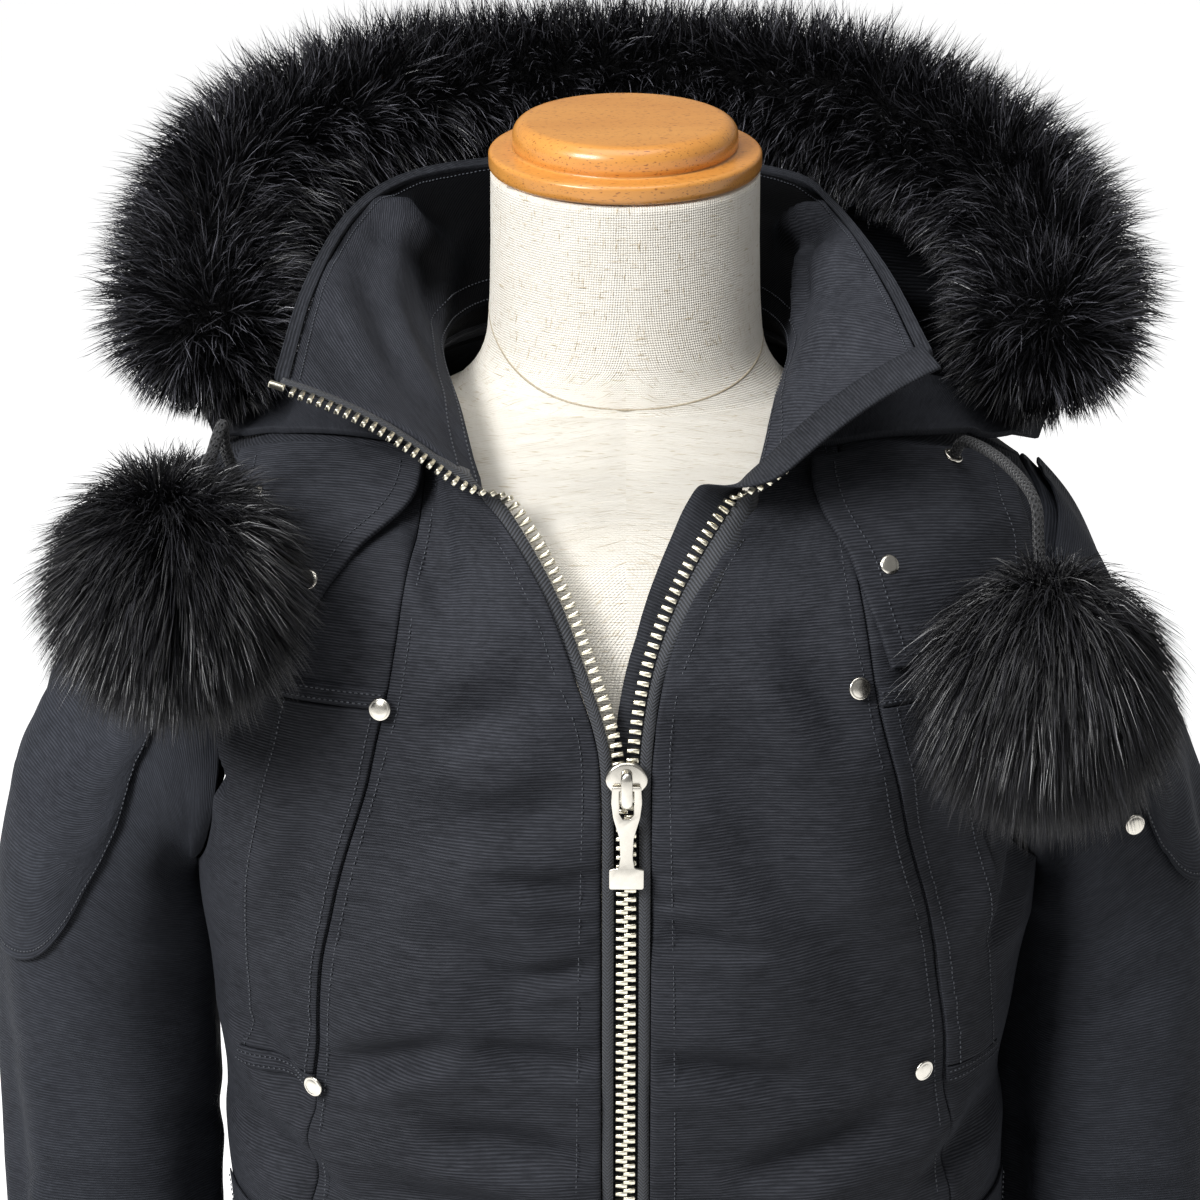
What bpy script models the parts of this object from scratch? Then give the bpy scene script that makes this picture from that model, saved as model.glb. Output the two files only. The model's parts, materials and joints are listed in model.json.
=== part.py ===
"""Down bomber jacket with a fur-edged hood, worn on a limbless dress form on a short stand.

Metres, +Z up, the front faces -Y, the wearer's left is +X. The floor is z = 0.
Every cloth piece is a grid of points on one shared surface, given a wall under it.
"""

import math

import bmesh
import bpy
import numpy as np
from mathutils import Vector
from mathutils.bvhtree import BVHTree

# ---------------------------------------------------------------- sizes, metres
MID_X = -0.004          # the jacket hangs this far off the form's middle
CLOTH = 0.0040          # wall of the light down panels
PATCH = 0.0013          # wall of a laid-on layer
SEAM = 0.0005           # space left at every seam
RIB_WALL, RIB_STEP = 0.0030, 0.0013     # wall of the knit, how far a rib stands out of it
FLAP_WALL, FLAP_LIFT = 0.0034, 0.0056   # wall of a hood flap, its outer face over the panels
FLAP_DROP = 0.0012      # how far under the hood's front edge a flap starts
LAYER_GAP = 0.0003      # space under a layer laid on a panel
SLEEVE_LAYER = 0.0034   # outer face of the sleeve's patch over the sleeve
BAR_MORE = 0.0005       # how much thicker a pocket's bars are than the pocket
INSIDE = (MID_X, -0.02, 0.60)           # a point inside the jacket

# z, half width, front y, back y, y of the widest point, squareness
BODY = np.array((
    (0.160, 0.150, -0.128, 0.096, -0.014, 2.25),
    (0.213, 0.158, -0.136, 0.102, -0.016, 2.25),
    (0.240, 0.176, -0.148, 0.112, -0.018, 2.30),
    (0.300, 0.183, -0.154, 0.112, -0.020, 2.35),
    (0.400, 0.180, -0.157, 0.102, -0.022, 2.40),
    (0.480, 0.178, -0.161, 0.098, -0.024, 2.40),
    (0.560, 0.186, -0.166, 0.106, -0.024, 2.40),
    (0.620, 0.189, -0.167, 0.114, -0.022, 2.40),
    (0.680, 0.192, -0.163, 0.120, -0.016, 2.40),
    (0.720, 0.195, -0.152, 0.116, -0.008, 2.35),
    (0.742, 0.192, -0.140, 0.108, -0.002, 2.30),
    (0.755, 0.180, -0.132, 0.102, 0.000, 2.20),
    (0.766, 0.160, -0.126, 0.097, -0.004, 2.10),
    (0.780, 0.128, -0.110, 0.090, -0.014, 2.00),
    (0.795, 0.098, -0.092, 0.082, -0.026, 2.00),
    (0.808, 0.079, -0.078, 0.070, -0.032, 2.00),
))
# the same columns for the linen form inside it
FORM = np.array((
    (0.150, 0.120, -0.104, 0.070, -0.014, 2.20),
    (0.250, 0.127, -0.113, 0.073, -0.018, 2.20),
    (0.330, 0.130, -0.116, 0.072, -0.020, 2.25),
    (0.430, 0.131, -0.121, 0.070, -0.024, 2.30),
    (0.520, 0.141, -0.134, 0.077, -0.024, 2.30),
    (0.600, 0.160, -0.149, 0.092, -0.022, 2.30),
    (0.660, 0.168, -0.150, 0.102, -0.018, 2.30),
    (0.700, 0.172, -0.142, 0.104, -0.012, 2.30),
    (0.735, 0.170, -0.127, 0.098, -0.006, 2.25),
    (0.750, 0.160, -0.118, 0.092, -0.004, 2.20),
    (0.762, 0.138, -0.109, 0.085, -0.008, 2.10),
    (0.774, 0.110, -0.098, 0.074, -0.012, 2.00),
    (0.786, 0.084, -0.085, 0.060, -0.013, 2.00),
    (0.796, 0.066, -0.076, 0.050, -0.013, 2.00),
))
NECK_RINGS = (          # z, radius, y of the middle, lean in degrees
    (0.808, 0.0610, -0.0135, 3.0),
    (0.830, 0.0592, -0.0140, 4.0),
    (0.856, 0.0586, -0.0145, 5.5),
    (0.8850, 0.0584, -0.0150, 6.5),
)
CAP_Z, CAP_Y, CAP_LEAN = 0.8858, -0.0150, 6.5
CAP_DISC = (0.0592, 0.0085)     # radius, thickness of the lower wooden disc
CAP_TOP = (0.0490, 0.0130)      # the same of the upper one
BASE_R, BASE_H, POLE_R = 0.160, 0.014, 0.0170

HEM_TOP, HEM_END, HEM_RIBS = 0.2130, 0.1640, 42
# front opening: z, x of the left panel's edge, x of the right panel's edge
OPENING = np.array((
    (0.160, -0.0105, 0.0105),
    (0.640, -0.0105, 0.0105),
    (0.665, -0.0112, 0.0105),
    (0.675, -0.0130, 0.0115),
    (0.698, -0.0205, 0.0150),
    (0.727, -0.0315, 0.0255),
    (0.745, -0.0420, 0.0365),
    (0.757, -0.0510, 0.0460),
    (0.7665, -0.0600, 0.0550),
))
NECKLINE = np.array((   # z, distance from the jacket's middle
    (0.7665, 0.0575),
    (0.7750, 0.0635),
    (0.7850, 0.0695),
    (0.7950, 0.0735),
    (0.8030, 0.0765),
))
PRINCESS = np.array((   # z, x of the seam between the front's middle and side, to the left
    (0.213, 0.112), (0.300, 0.130), (0.400, 0.137), (0.465, 0.139), (0.508, 0.1345),
    (0.530, 0.1340), (0.563, 0.1310), (0.590, 0.1255), (0.625, 0.1165), (0.660, 0.1065),
    (0.687, 0.1000), (0.716, 0.0950), (0.757, 0.0880), (0.790, 0.0840), (0.803, 0.0805),
))
POCKET_OUT = np.array((  # z, x of the chest pocket's outer seam
    (0.500, 0.1680), (0.520, 0.1660), (0.555, 0.1640), (0.600, 0.1600), (0.630, 0.1545),
    (0.670, 0.1460), (0.692, 0.1395),
))
ARM_Z, ARM_H = 0.6660, 0.0880          # middle and half height of the armhole
ARM_FRONT, ARM_BACK = 30.0, 28.0       # its half widths, degrees round the body
FRONT_ROWS = (
    0.2136, 0.235, 0.285, 0.335, 0.385, 0.432, 0.470, 0.503, 0.5115, 0.540, 0.574,
    0.5784, 0.586, 0.602, 0.632, 0.666, 0.6835, 0.692, 0.712, 0.730, 0.744, 0.751, 0.7538,
    0.760, 0.7665, 0.775, 0.785, 0.795, 0.802,
)
POCKET_LOW, POCKET_TOP = 0.5115, 0.6835
BAR_LOW, BAR_TOP = 0.503, 0.692         # the far edges of the pocket's two bars
HAND_POCKET = (0.285, 0.432)
PRINCESS_RIGHT, POCKET_RIGHT = 0.0036, -0.0048   # how much further out these lie on the right
LOW_POCKET_OUT = 0.166                  # outer seam under the chest pocket

# sleeve ellipses from under the arm down: z, x, y of the middle, half width, half depth
SLEEVES = {
    "L": np.array((
        (0.590, -0.2365, -0.003, 0.0440, 0.071),
        (0.550, -0.2420, -0.002, 0.0490, 0.068),
        (0.490, -0.2430, -0.003, 0.0505, 0.064),
        (0.430, -0.2405, -0.007, 0.0480, 0.060),
        (0.370, -0.2420, -0.014, 0.0460, 0.056),
        (0.300, -0.2440, -0.025, 0.0440, 0.051),
        (0.228, -0.2420, -0.036, 0.0420, 0.047),
        (0.168, -0.2390, -0.042, 0.0350, 0.038),
    )),
    "R": np.array((
        (0.590, 0.2260, -0.003, 0.0385, 0.071),
        (0.550, 0.2295, -0.002, 0.0425, 0.068),
        (0.490, 0.2315, -0.003, 0.0460, 0.064),
        (0.430, 0.2325, -0.007, 0.0465, 0.060),
        (0.370, 0.2345, -0.014, 0.0450, 0.056),
        (0.300, 0.2360, -0.025, 0.0435, 0.051),
        (0.228, 0.2350, -0.036, 0.0415, 0.047),
        (0.168, 0.2320, -0.042, 0.0350, 0.038),
    )),
}
CUFF_ROWS = (0.2265, 0.2170, 0.1670)
CUFF_RIBS = 15
SLEEVE_COLUMNS = 20
SLEEVE_TOP, SLEEVE_LOW, SLEEVE_LEAN = 0.590, 0.228, 0.36
PATCH_END = {"L": 1.20, "R": 1.10}      # how far down the sleeve its patch reaches

# collar: base point, then top point, from the left front round the back to the right front
COLLAR = np.array((
    (-0.0600, -0.1230, 0.7690, -0.1450, -0.1080, 0.8140),
    (-0.0700, -0.0850, 0.7925, -0.1380, -0.0420, 0.8370),
    (-0.0800, -0.0320, 0.8090, -0.1230, 0.0260, 0.8570),
    (-0.0690, 0.0200, 0.8135, -0.1000, 0.0820, 0.8640),
    (-0.0400, 0.0560, 0.8120, -0.0580, 0.1250, 0.8640),
    (-0.0040, 0.0690, 0.8120, -0.0040, 0.1430, 0.8630),
    (0.0320, 0.0560, 0.8120, 0.0480, 0.1230, 0.8630),
    (0.0610, 0.0200, 0.8135, 0.0840, 0.0790, 0.8630),
    (0.0720, -0.0320, 0.8095, 0.0960, 0.0240, 0.8600),
    (0.0625, -0.0850, 0.7925, 0.1130, -0.0440, 0.8440),
    (0.0530, -0.1240, 0.7700, 0.1260, -0.1080, 0.8240),
))
COLLAR_WALL, BINDING_WALL, COLLAR_BULGE = 0.0050, 0.0066, 0.0070

# middle line of the fur edge, from the left front end round the back to the right
RUFF = np.array((
    (-0.1740, -0.0340, 0.8020), (-0.1810, -0.0100, 0.8100), (-0.1850, 0.0160, 0.8210),
    (-0.1860, 0.0420, 0.8350), (-0.1790, 0.0700, 0.8530), (-0.1610, 0.1000, 0.8680),
    (-0.1330, 0.1300, 0.8790), (-0.0990, 0.1520, 0.8850), (-0.0560, 0.1690, 0.8880),
    (-0.0020, 0.1760, 0.8890), (0.0520, 0.1690, 0.8870), (0.0960, 0.1520, 0.8830),
    (0.1330, 0.1280, 0.8740), (0.1630, 0.0980, 0.8600), (0.1800, 0.0700, 0.8470),
    (0.1870, 0.0420, 0.8330), (0.1870, 0.0150, 0.8190), (0.1840, -0.0110, 0.8080),
    (0.1780, -0.0350, 0.8000),
))
RUFF_R, RUFF_TIP, RUFF_RINGS, RUFF_SIDES = 0.0330, 0.0560, 31, 10
LOCK_CLEAR = 0.0060     # space kept between a lock's tip and the next piece
SHORT_LOCK = 0.0070     # locks shorter than this are left out
POMPOM_LOCKS = 42
# hood shell: each row goes from the neck seam, over the back and up to the fur edge
HOOD = np.array((
    ((-0.0820, -0.0960, 0.0050), (-0.0980, -0.0850, 0.0050), (-0.1150, -0.0720, 0.0050),
     (-0.1330, -0.0570, 0.0050), (-0.1500, -0.0400, 0.0050), (-0.1670, -0.0220, 0.0050),
     (-0.1820, -0.0040, 0.0055)),
    ((-0.0935, -0.0230, 0.8055), (-0.1080, -0.0120, 0.7990), (-0.1280, 0.0020, 0.7910),
     (-0.1500, 0.0180, 0.7830), (-0.1740, 0.0330, 0.7780), (-0.1940, 0.0400, 0.7800),
     (-0.2010, 0.0400, 0.8030)),
    ((-0.0640, 0.0420, 0.8125), (-0.0780, 0.0700, 0.8000), (-0.0980, 0.1040, 0.7680),
     (-0.1250, 0.1380, 0.7380), (-0.1600, 0.1580, 0.7520), (-0.1840, 0.1600, 0.7950),
     (-0.1740, 0.1260, 0.8460)),
    ((-0.0040, 0.0790, 0.8130), (-0.0040, 0.1030, 0.7900), (-0.0040, 0.1280, 0.7350),
     (-0.0040, 0.1650, 0.6900), (-0.0040, 0.2080, 0.7150), (-0.0040, 0.2260, 0.7900),
     (-0.0040, 0.2030, 0.8620)),
))
HOOD_WALL, HOOD_SKEW = 0.0036, 0.0100
HOOD_CLEAR, HOOD_LIFT = 0.0042, 0.0050  # from the fur's core, over the shoulders
FLAP_LOW = 0.700
# hood flap: z, x of the inner edge, x of the outer edge, for each side
FLAPS = {
    "L": np.array((
        (0.700, -0.1370, -0.1720), (0.7137, -0.1320, -0.1740), (0.7466, -0.1090, -0.1760),
        (0.766, -0.0940, -0.1640), (0.780, -0.0840, -0.1200),
    )),
    "R": np.array((
        (0.700, 0.1080, 0.1620), (0.718, 0.1015, 0.1660), (0.738, 0.0930, 0.1700),
        (0.766, 0.0820, 0.1580), (0.780, 0.0760, 0.1120),
    )),
}

TAPE, TAPE_WALL, TAPE_SINK = 0.0052, 0.0010, 0.0016
CHAIN, CHAIN_WALL = 0.0046, 0.0030
GUARD_WALL, GUARD_SINK = 0.0016, 0.0066
BODY_STEPS = 20         # how many points of the zip's path lie on the body, below the collar
SLIDER_Z, SLIDER_LONG, SLIDER_WIDE = 0.6580, 0.0180, 0.0180
SLIDER_WALL, SLIDER_LIFT = 0.0026, 0.0004
PIN_Z, PIN_OUT = 0.6564, 0.0017         # the tab's pin: height, distance from the slider's face
TAB_WALL = 0.0016
# pull tab: height under the pin, half width
TAB = ((-0.0010, 0.0060), (0.0060, 0.0064), (0.0125, 0.0056), (0.0215, 0.0030), (0.0300, 0.0026),
       (0.0345, 0.0034), (0.0352, 0.0072), (0.0440, 0.0072))
TAB_SLOT = (0.0010, 0.0130, 0.0029)     # slot: from, to, half width

RIVETS = {              # x, z of the middle on the front
    "rivet_top_L": (-0.1005, 0.6845),
    "rivet_low_L": (-0.1330, 0.5073),
    "rivet_top_R": (0.0950, 0.6925),
    "rivet_low_R": (0.1270, 0.5145),
}
POMPOMS = {             # middle, core radius, tip radius, droop of the lower hair
    "pompom_L": ((-0.1830, -0.1560, 0.7470), 0.0450, 0.0660, 0.006),
    "pompom_R": ((0.1720, -0.1600, 0.7090), 0.0450, 0.0680, 0.018),
}
SNAPS = {               # x and z on the hood flaps
    "snap_L": (-0.1290, 0.7300),
    "snap_R": (0.1065, 0.7370),
}
EYELETS = {             # place across the flap and down it
    "L": (0.80, 0.22),
    "R": (0.68, 0.05),
}
SLEEVE_SNAP = (0.2190, -0.0700, 0.6080)
# press studs and rivets: radius, height, foot over the panel
RIVET_SIZE = (0.0048, 0.0018, 0.0027)
SNAP_SIZE = (0.0044, 0.0016, 0.0062)
SLEEVE_SNAP_SIZE = (0.0048, 0.0016, 0.0042)
EYELET_R, EYELET_WIRE = 0.0035, 0.0009
CORD_R = 0.0024
CORD_GAP = 0.0006       # between the cord's end and the pompom

COLOURS = {
    "cloth": (0.012, 0.012, 0.014, 1.0),
    "rib": (0.010, 0.010, 0.012, 1.0),
    "fur": (0.006, 0.006, 0.006, 1.0),
    "metal": (0.70, 0.68, 0.64, 1.0),
    "brass": (0.66, 0.62, 0.48, 1.0),
    "tape": (0.016, 0.016, 0.018, 1.0),
    "linen": (0.80, 0.76, 0.68, 1.0),
    "beech": (0.72, 0.38, 0.12, 1.0),
    "steel": (0.30, 0.30, 0.31, 1.0),
}


# ---------------------------------------------------------------- scene and meshes
def clear_scene():
    for item in list(bpy.data.objects):
        bpy.data.objects.remove(item, do_unlink=True)


def material(kind, name):
    made = bpy.data.materials.new(f"{name}_{kind}")
    made.use_nodes = True
    shader = made.node_tree.nodes["Principled BSDF"]
    shader.inputs["Base Color"].default_value = COLOURS[kind]
    shader.inputs["Roughness"].default_value = 0.3 if kind in ("metal", "brass") else 0.8
    shader.inputs["Metallic"].default_value = 1.0 if kind in ("metal", "brass") else 0.0
    made.diffuse_color = COLOURS[kind]
    return made


def add_object(name, kind, points, faces):
    mesh = bpy.data.meshes.new(name)
    mesh.from_pydata([tuple(map(float, p)) for p in points], [], [tuple(f) for f in faces])
    work = bmesh.new()
    work.from_mesh(mesh)
    bmesh.ops.recalc_face_normals(work, faces=work.faces)
    if work.calc_volume(signed=True) < 0:
        bmesh.ops.reverse_faces(work, faces=work.faces)
    work.to_mesh(mesh)
    work.free()
    mesh.materials.append(material(kind, name))
    made = bpy.data.objects.new(name, mesh)
    PARTS.objects.link(made)
    return made


def unit(vectors):
    length = np.linalg.norm(vectors, axis=-1, keepdims=True)
    return vectors / np.maximum(length, 1e-12)


def smooth_at(table, value):
    """Row of the table at this value of its first column, on smooth curves without overshoot."""
    keys = table[:, 0]
    value = float(np.clip(value, keys[0], keys[-1]))
    index = int(np.clip(np.searchsorted(keys, value) - 1, 0, len(keys) - 2))
    steps = np.diff(keys)[:, None]
    slopes = np.diff(table[:, 1:], axis=0) / steps
    inner = np.where(slopes[:-1] * slopes[1:] > 0, 2 * slopes[:-1] * slopes[1:]
                     / np.where(slopes[:-1] + slopes[1:] == 0, 1, slopes[:-1] + slopes[1:]), 0)
    ends = np.vstack((slopes[:1], inner, slopes[-1:]))
    step = steps[index, 0]
    t = (value - keys[index]) / step
    low, high = table[index, 1:], table[index + 1, 1:]
    return ((2 * t**3 - 3 * t**2 + 1) * low + (t**3 - 2 * t**2 + t) * step * ends[index]
            + (3 * t**2 - 2 * t**3) * high + (t**3 - t**2) * step * ends[index + 1])


def spline_at(points, t):
    """Catmull-Rom point of evenly keyed control points, t from 0 to 1."""
    points = np.asarray(points, float)
    spans = len(points) - 1
    place = min(max(t, 0.0), 1.0) * spans
    index = min(int(place), spans - 1)
    f = place - index
    p1, p2 = points[index], points[index + 1]
    p0 = points[index - 1] if index > 0 else 2 * p1 - p2
    p3 = points[index + 2] if index + 2 <= spans else 2 * p2 - p1
    return 0.5 * (2 * p1 + (p2 - p0) * f + (2 * p0 - 5 * p1 + 4 * p2 - p3) * f * f
                  + (3 * p1 - p0 - 3 * p2 + p3) * f**3)


def grid_normals(grid, around=False):
    """Unit normals of a rows x columns grid of points."""
    if around:
        along = np.roll(grid, -1, axis=1) - np.roll(grid, 1, axis=1)
    else:
        along = np.gradient(grid, axis=1)
    across = np.gradient(grid, axis=0)
    return unit(np.cross(along, across))


def sheet(name, kind, grid, wall, centre, lift=0.0, around=False, normals=None, ribs=None):
    """A wall under the grid: outer points are moved out by lift, inner ones are wall deeper.

    centre is a point that the outer side faces away from; ribs adds to the outer points only.
    """
    grid = np.asarray(grid, float)
    if normals is None:
        normals = grid_normals(grid, around)
        away = grid - np.asarray(centre, float)
        if float((normals * away).sum()) < 0:
            normals = -normals
    extra = np.zeros(grid.shape[:2]) if ribs is None else ribs
    outer = grid + normals * (lift + extra)[..., None]
    inner = grid + normals * (lift - wall)
    rows, columns = grid.shape[:2]
    points = np.concatenate((outer.reshape(-1, 3), inner.reshape(-1, 3)))
    deep = rows * columns
    faces = []
    last = columns if around else columns - 1
    for r in range(rows - 1):
        for c in range(last):
            d = (c + 1) % columns
            a, b, e, f = r * columns + c, r * columns + d, (r + 1) * columns + d, (r + 1) * columns + c
            faces.append((a, b, e, f))
            faces.append((deep + a, deep + f, deep + e, deep + b))
    for c in range(last):
        d = (c + 1) % columns
        top = (rows - 1) * columns
        faces.append((c, deep + c, deep + d, d))
        faces.append((top + c, top + d, deep + top + d, deep + top + c))
    if not around:
        for r in range(rows - 1):
            a, b = r * columns, (r + 1) * columns
            faces.append((a, b, deep + b, deep + a))
            a, b = a + columns - 1, b + columns - 1
            faces.append((a, deep + a, deep + b, b))
    return add_object(name, kind, points, faces)


def solid_rings(name, kind, rings):
    """A filled body through rings of the same number of points."""
    rings = np.asarray(rings, float)
    count, sides = rings.shape[:2]
    faces = []
    for r in range(count - 1):
        for c in range(sides):
            d = (c + 1) % sides
            faces.append((r * sides + c, r * sides + d, (r + 1) * sides + d, (r + 1) * sides + c))
    faces.append(tuple(range(sides)))
    faces.append(tuple((count - 1) * sides + c for c in range(sides)))
    return add_object(name, kind, rings.reshape(-1, 3), faces)


def strip(name, kind, middle, side, normal, near, far, wall, sink):
    """A flat band along a path, from near to far beside it, its top sunk below the path."""
    near_edge = middle + side * np.broadcast_to(near, len(middle))[:, None]
    far_edge = middle + side * np.broadcast_to(far, len(middle))[:, None]
    rings = []
    for a, b, n in zip(near_edge, far_edge, normal):
        rings.append((a - n * sink, b - n * sink, b - n * (sink + wall), a - n * (sink + wall)))
    return solid_rings(name, kind, rings)


# ---------------------------------------------------------------- the shared surfaces
def ring_point(ring, z, angle):
    half, front, back, side, square = ring
    c, s = math.cos(angle), math.sin(angle)
    power = 2 / square
    deep = (back - side) if s > 0 else (side - front)
    x = math.copysign(abs(c) ** power, c) * half
    y = side + math.copysign(abs(s) ** power, s) * deep
    return np.array((x, y, z))


def body_point(z, angle):
    """Outer point of the jacket: angle 0 is the right side, -90 degrees the front."""
    found = ring_point(smooth_at(BODY, z), z, angle)
    found[0] += MID_X
    return found


def angle_at_x(z, x):
    """Angle of the front point with this x."""
    half, _, _, _, square = smooth_at(BODY, z)
    ratio = min(max((x - MID_X) / half, -1.0), 1.0)
    return -math.acos(math.copysign(abs(ratio) ** (square / 2), ratio))


def front_point(x, z):
    return body_point(z, angle_at_x(z, x))


def body_normal(z, angle):
    step = 1e-3
    around = body_point(z, angle + step) - body_point(z, angle - step)
    up = body_point(z + step, angle) - body_point(z - step, angle)
    return unit(np.cross(around, up))


def shoulder_height(x, y):
    """Height of the jacket's upper surface over a point in plan."""
    low, high = 0.66, 0.8079
    for _ in range(40):
        z = (low + high) / 2
        half, front, back, side, square = smooth_at(BODY, z)
        deep = (back - side) if y > side else (side - front)
        inside = abs((x - MID_X) / half) ** square + abs((y - side) / deep) ** square
        low, high = (z, high) if inside < 1 else (low, z)
    return (low + high) / 2


def in_plan(x, y):
    """Whether the shoulders lie under this point."""
    half, front, back, side, square = smooth_at(BODY, 0.742)
    deep = (back - side) if y > side else (side - front)
    return abs((x - MID_X) / half) ** square + abs((y - side) / deep) ** square < 1


def arm_angle(z, front):
    """How far round from the side the armhole reaches at this height, radians."""
    place = (z - ARM_Z) / ARM_H
    if abs(place) >= 1:
        return 0.0
    return math.radians(ARM_FRONT if front else ARM_BACK) * math.sqrt(1 - place * place)


def seam_angle(z, at):
    """The angle that SEAM fills at this place."""
    step = 1e-3
    length = np.linalg.norm(body_point(z, at + step) - body_point(z, at - step)) / (2 * step)
    return 0.5 * SEAM / max(length, 0.02)


def front_edges(z, side):
    """Angles of the opening, the princess seam and the side edge of one front, at height z."""
    sign = -1 if side == "L" else 1
    if z <= OPENING[-1, 0]:
        start = angle_at_x(z, smooth_at(OPENING, z)[0 if side == "L" else 1])
    else:
        start = angle_at_x(z, MID_X + sign * smooth_at(NECKLINE, z)[0])
    seam_x = smooth_at(PRINCESS, z)[0] + (PRINCESS_RIGHT if side == "R" else 0.0)
    middle = angle_at_x(z, sign * seam_x)
    rim = arm_angle(z, True)
    edge = -math.pi + rim if side == "L" else -rim
    return start, middle, edge


def panel_rows(rows):
    """Points and outward normals of rows of (height, angle) on the body."""
    points = np.array([[body_point(z, a) for z, a in row] for row in rows])
    normals = np.array([[body_normal(z, a) for z, a in row] for row in rows])
    return points, normals


def front_panels(side):
    centre, flank = [], []
    sign = -1 if side == "L" else 1
    for z in FRONT_ROWS:
        start, middle, edge = front_edges(z, side)
        gap = seam_angle(z, middle) * sign
        middle_x = abs(body_point(z, middle)[0])
        edge_gap = seam_angle(z, edge) * sign
        inner = [(z, a) for a in np.linspace(start, middle - gap, 7)]
        outer_x = smooth_at(POCKET_OUT, z)[0] if z > BAR_LOW - 0.01 else LOW_POCKET_OUT
        outer_x += POCKET_RIGHT if side == "R" else 0.0
        outer = angle_at_x(z, sign * max(outer_x, middle_x + 0.004))
        if z > BAR_TOP + 0.01:
            outer = middle + (edge - middle) * 0.5
        first = middle + gap
        angles = [first, first + (outer - first) / 2, outer, outer + (edge - outer) / 2, edge - edge_gap]
        centre.append(inner)
        flank.append([(z, a) for a in angles])
    points, normals = panel_rows(centre)
    sheet(f"front_center_{side}", "cloth", points, CLOTH, INSIDE, normals=normals)
    flank, normals = panel_rows(flank)
    sheet(f"front_side_{side}", "cloth", flank, CLOTH, INSIDE, normals=normals)
    for name, z_low, z_high, wall, columns in (
        (f"chest_pocket_{side}", POCKET_LOW, POCKET_TOP, PATCH, 3),
        (f"pocket_top_bar_{side}", POCKET_TOP, BAR_TOP, PATCH + BAR_MORE, 3),
        (f"pocket_low_bar_{side}", BAR_LOW, POCKET_LOW, PATCH + BAR_MORE, 3),
        (f"hand_pocket_{side}", *HAND_POCKET, PATCH, 4),
    ):
        rows = [i for i, z in enumerate(FRONT_ROWS) if z_low - 1e-6 <= z <= z_high + 1e-6]
        part = flank[rows, :columns].copy()
        up = part[1:] - part[:-1]
        part[0] += unit(up[0]) * SEAM * 0.7
        part[-1] -= unit(up[-1]) * SEAM * 0.7
        sheet(name, "cloth", part, wall, INSIDE, lift=wall + LAYER_GAP, normals=normals[rows, :columns])


def back_panel():
    rows = []
    for z in list(FRONT_ROWS) + [0.8065]:
        rim = arm_angle(z, False)
        start, end = rim, math.pi - rim
        gap_start, gap_end = seam_angle(z, start), seam_angle(z, end)
        rows.append([(z, a) for a in np.linspace(start + gap_start, end - gap_end, 13)])
    points, normals = panel_rows(rows)
    sheet("back", "cloth", points, CLOTH, INSIDE, normals=normals)


def hem_rib():
    rows, ribs = [], []
    count = HEM_RIBS * 2
    for z in (HEM_TOP, (HEM_TOP + HEM_END) / 2, HEM_END):
        start = angle_at_x(z, -0.0105)
        end = angle_at_x(z, 0.0105)
        turn = (start - end) % (2 * math.pi)
        angles = end + np.linspace(0, turn, count + 1)
        rows.append([body_point(z, a) for a in angles])
        ribs.append([(i % 2) * RIB_STEP for i in range(count + 1)])
    sheet("hem_rib", "rib", rows, RIB_WALL, (MID_X, -0.02, 0.19), ribs=np.array(ribs))


# ---------------------------------------------------------------- sleeves
def sleeve_ring(side, z):
    """Middle, outward axis, forward axis and half sizes of the sleeve ellipse keyed by z."""
    x, y, half, deep = smooth_at(SLEEVES[side][::-1], z)
    sign = -1 if side == "L" else 1
    step = 0.01
    x2, y2 = smooth_at(SLEEVES[side][::-1], z - step)[:2]
    x1, y1 = smooth_at(SLEEVES[side][::-1], z + step)[:2]
    down = unit(np.array((x2 - x1, y2 - y1, -2 * step)))
    lean = SLEEVE_LEAN * max(0.0, (z - 0.50) / (SLEEVE_TOP - 0.50))
    down = unit(down + np.array((sign * lean, 0, 0)))
    out = unit(np.cross(np.array((0, 1, 0)), down) * (-sign))
    if out[0] * sign < 0:
        out = -out
    ahead = unit(np.cross(out, down))
    if ahead[1] > 0:
        ahead = -ahead
    return np.array((x, y, z)), out, ahead, half, deep, down


def armhole_point(side, turn, shrink=0.0009):
    """Point of the sleeve's seam: turn 0 is the shoulder, a quarter the front, a half the underarm."""
    z = ARM_Z + (ARM_H - shrink) * math.cos(turn)
    front = math.sin(turn) >= 0
    wide = math.radians(ARM_FRONT if front else ARM_BACK) - shrink / 0.12
    rim = wide * abs(math.sin(turn))
    at = -rim if front else rim
    if side == "L":
        at = -math.pi - at if front else math.pi - at
    return body_point(z, at)


def sleeve_point(side, s, turn):
    """s 0 to 1 runs from the armhole to the first ellipse, 1 to 2 on to the cuff."""
    sign = -1 if side == "L" else 1
    if s >= 1:
        z = SLEEVE_TOP + (SLEEVE_LOW - SLEEVE_TOP) * (s - 1)
        middle, out, ahead, half, deep, _ = sleeve_ring(side, z)
        return middle + out * half * math.cos(turn) + ahead * deep * math.sin(turn)
    middle, out, ahead, half, deep, down = sleeve_ring(side, SLEEVE_TOP)
    end = middle + out * half * math.cos(turn) + ahead * deep * math.sin(turn)
    start = armhole_point(side, turn)
    top = (1 + math.cos(turn)) / 2
    leave = unit(np.array((sign * 1.0, 0.0, -0.42))) * (0.030 + 0.045 * top)
    arrive = down * (0.030 + 0.100 * top)
    s2, s3 = s * s, s**3
    return ((2 * s3 - 3 * s2 + 1) * start + (s3 - 2 * s2 + s) * leave
            + (3 * s2 - 2 * s3) * end + (s3 - s2) * arrive)


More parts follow.
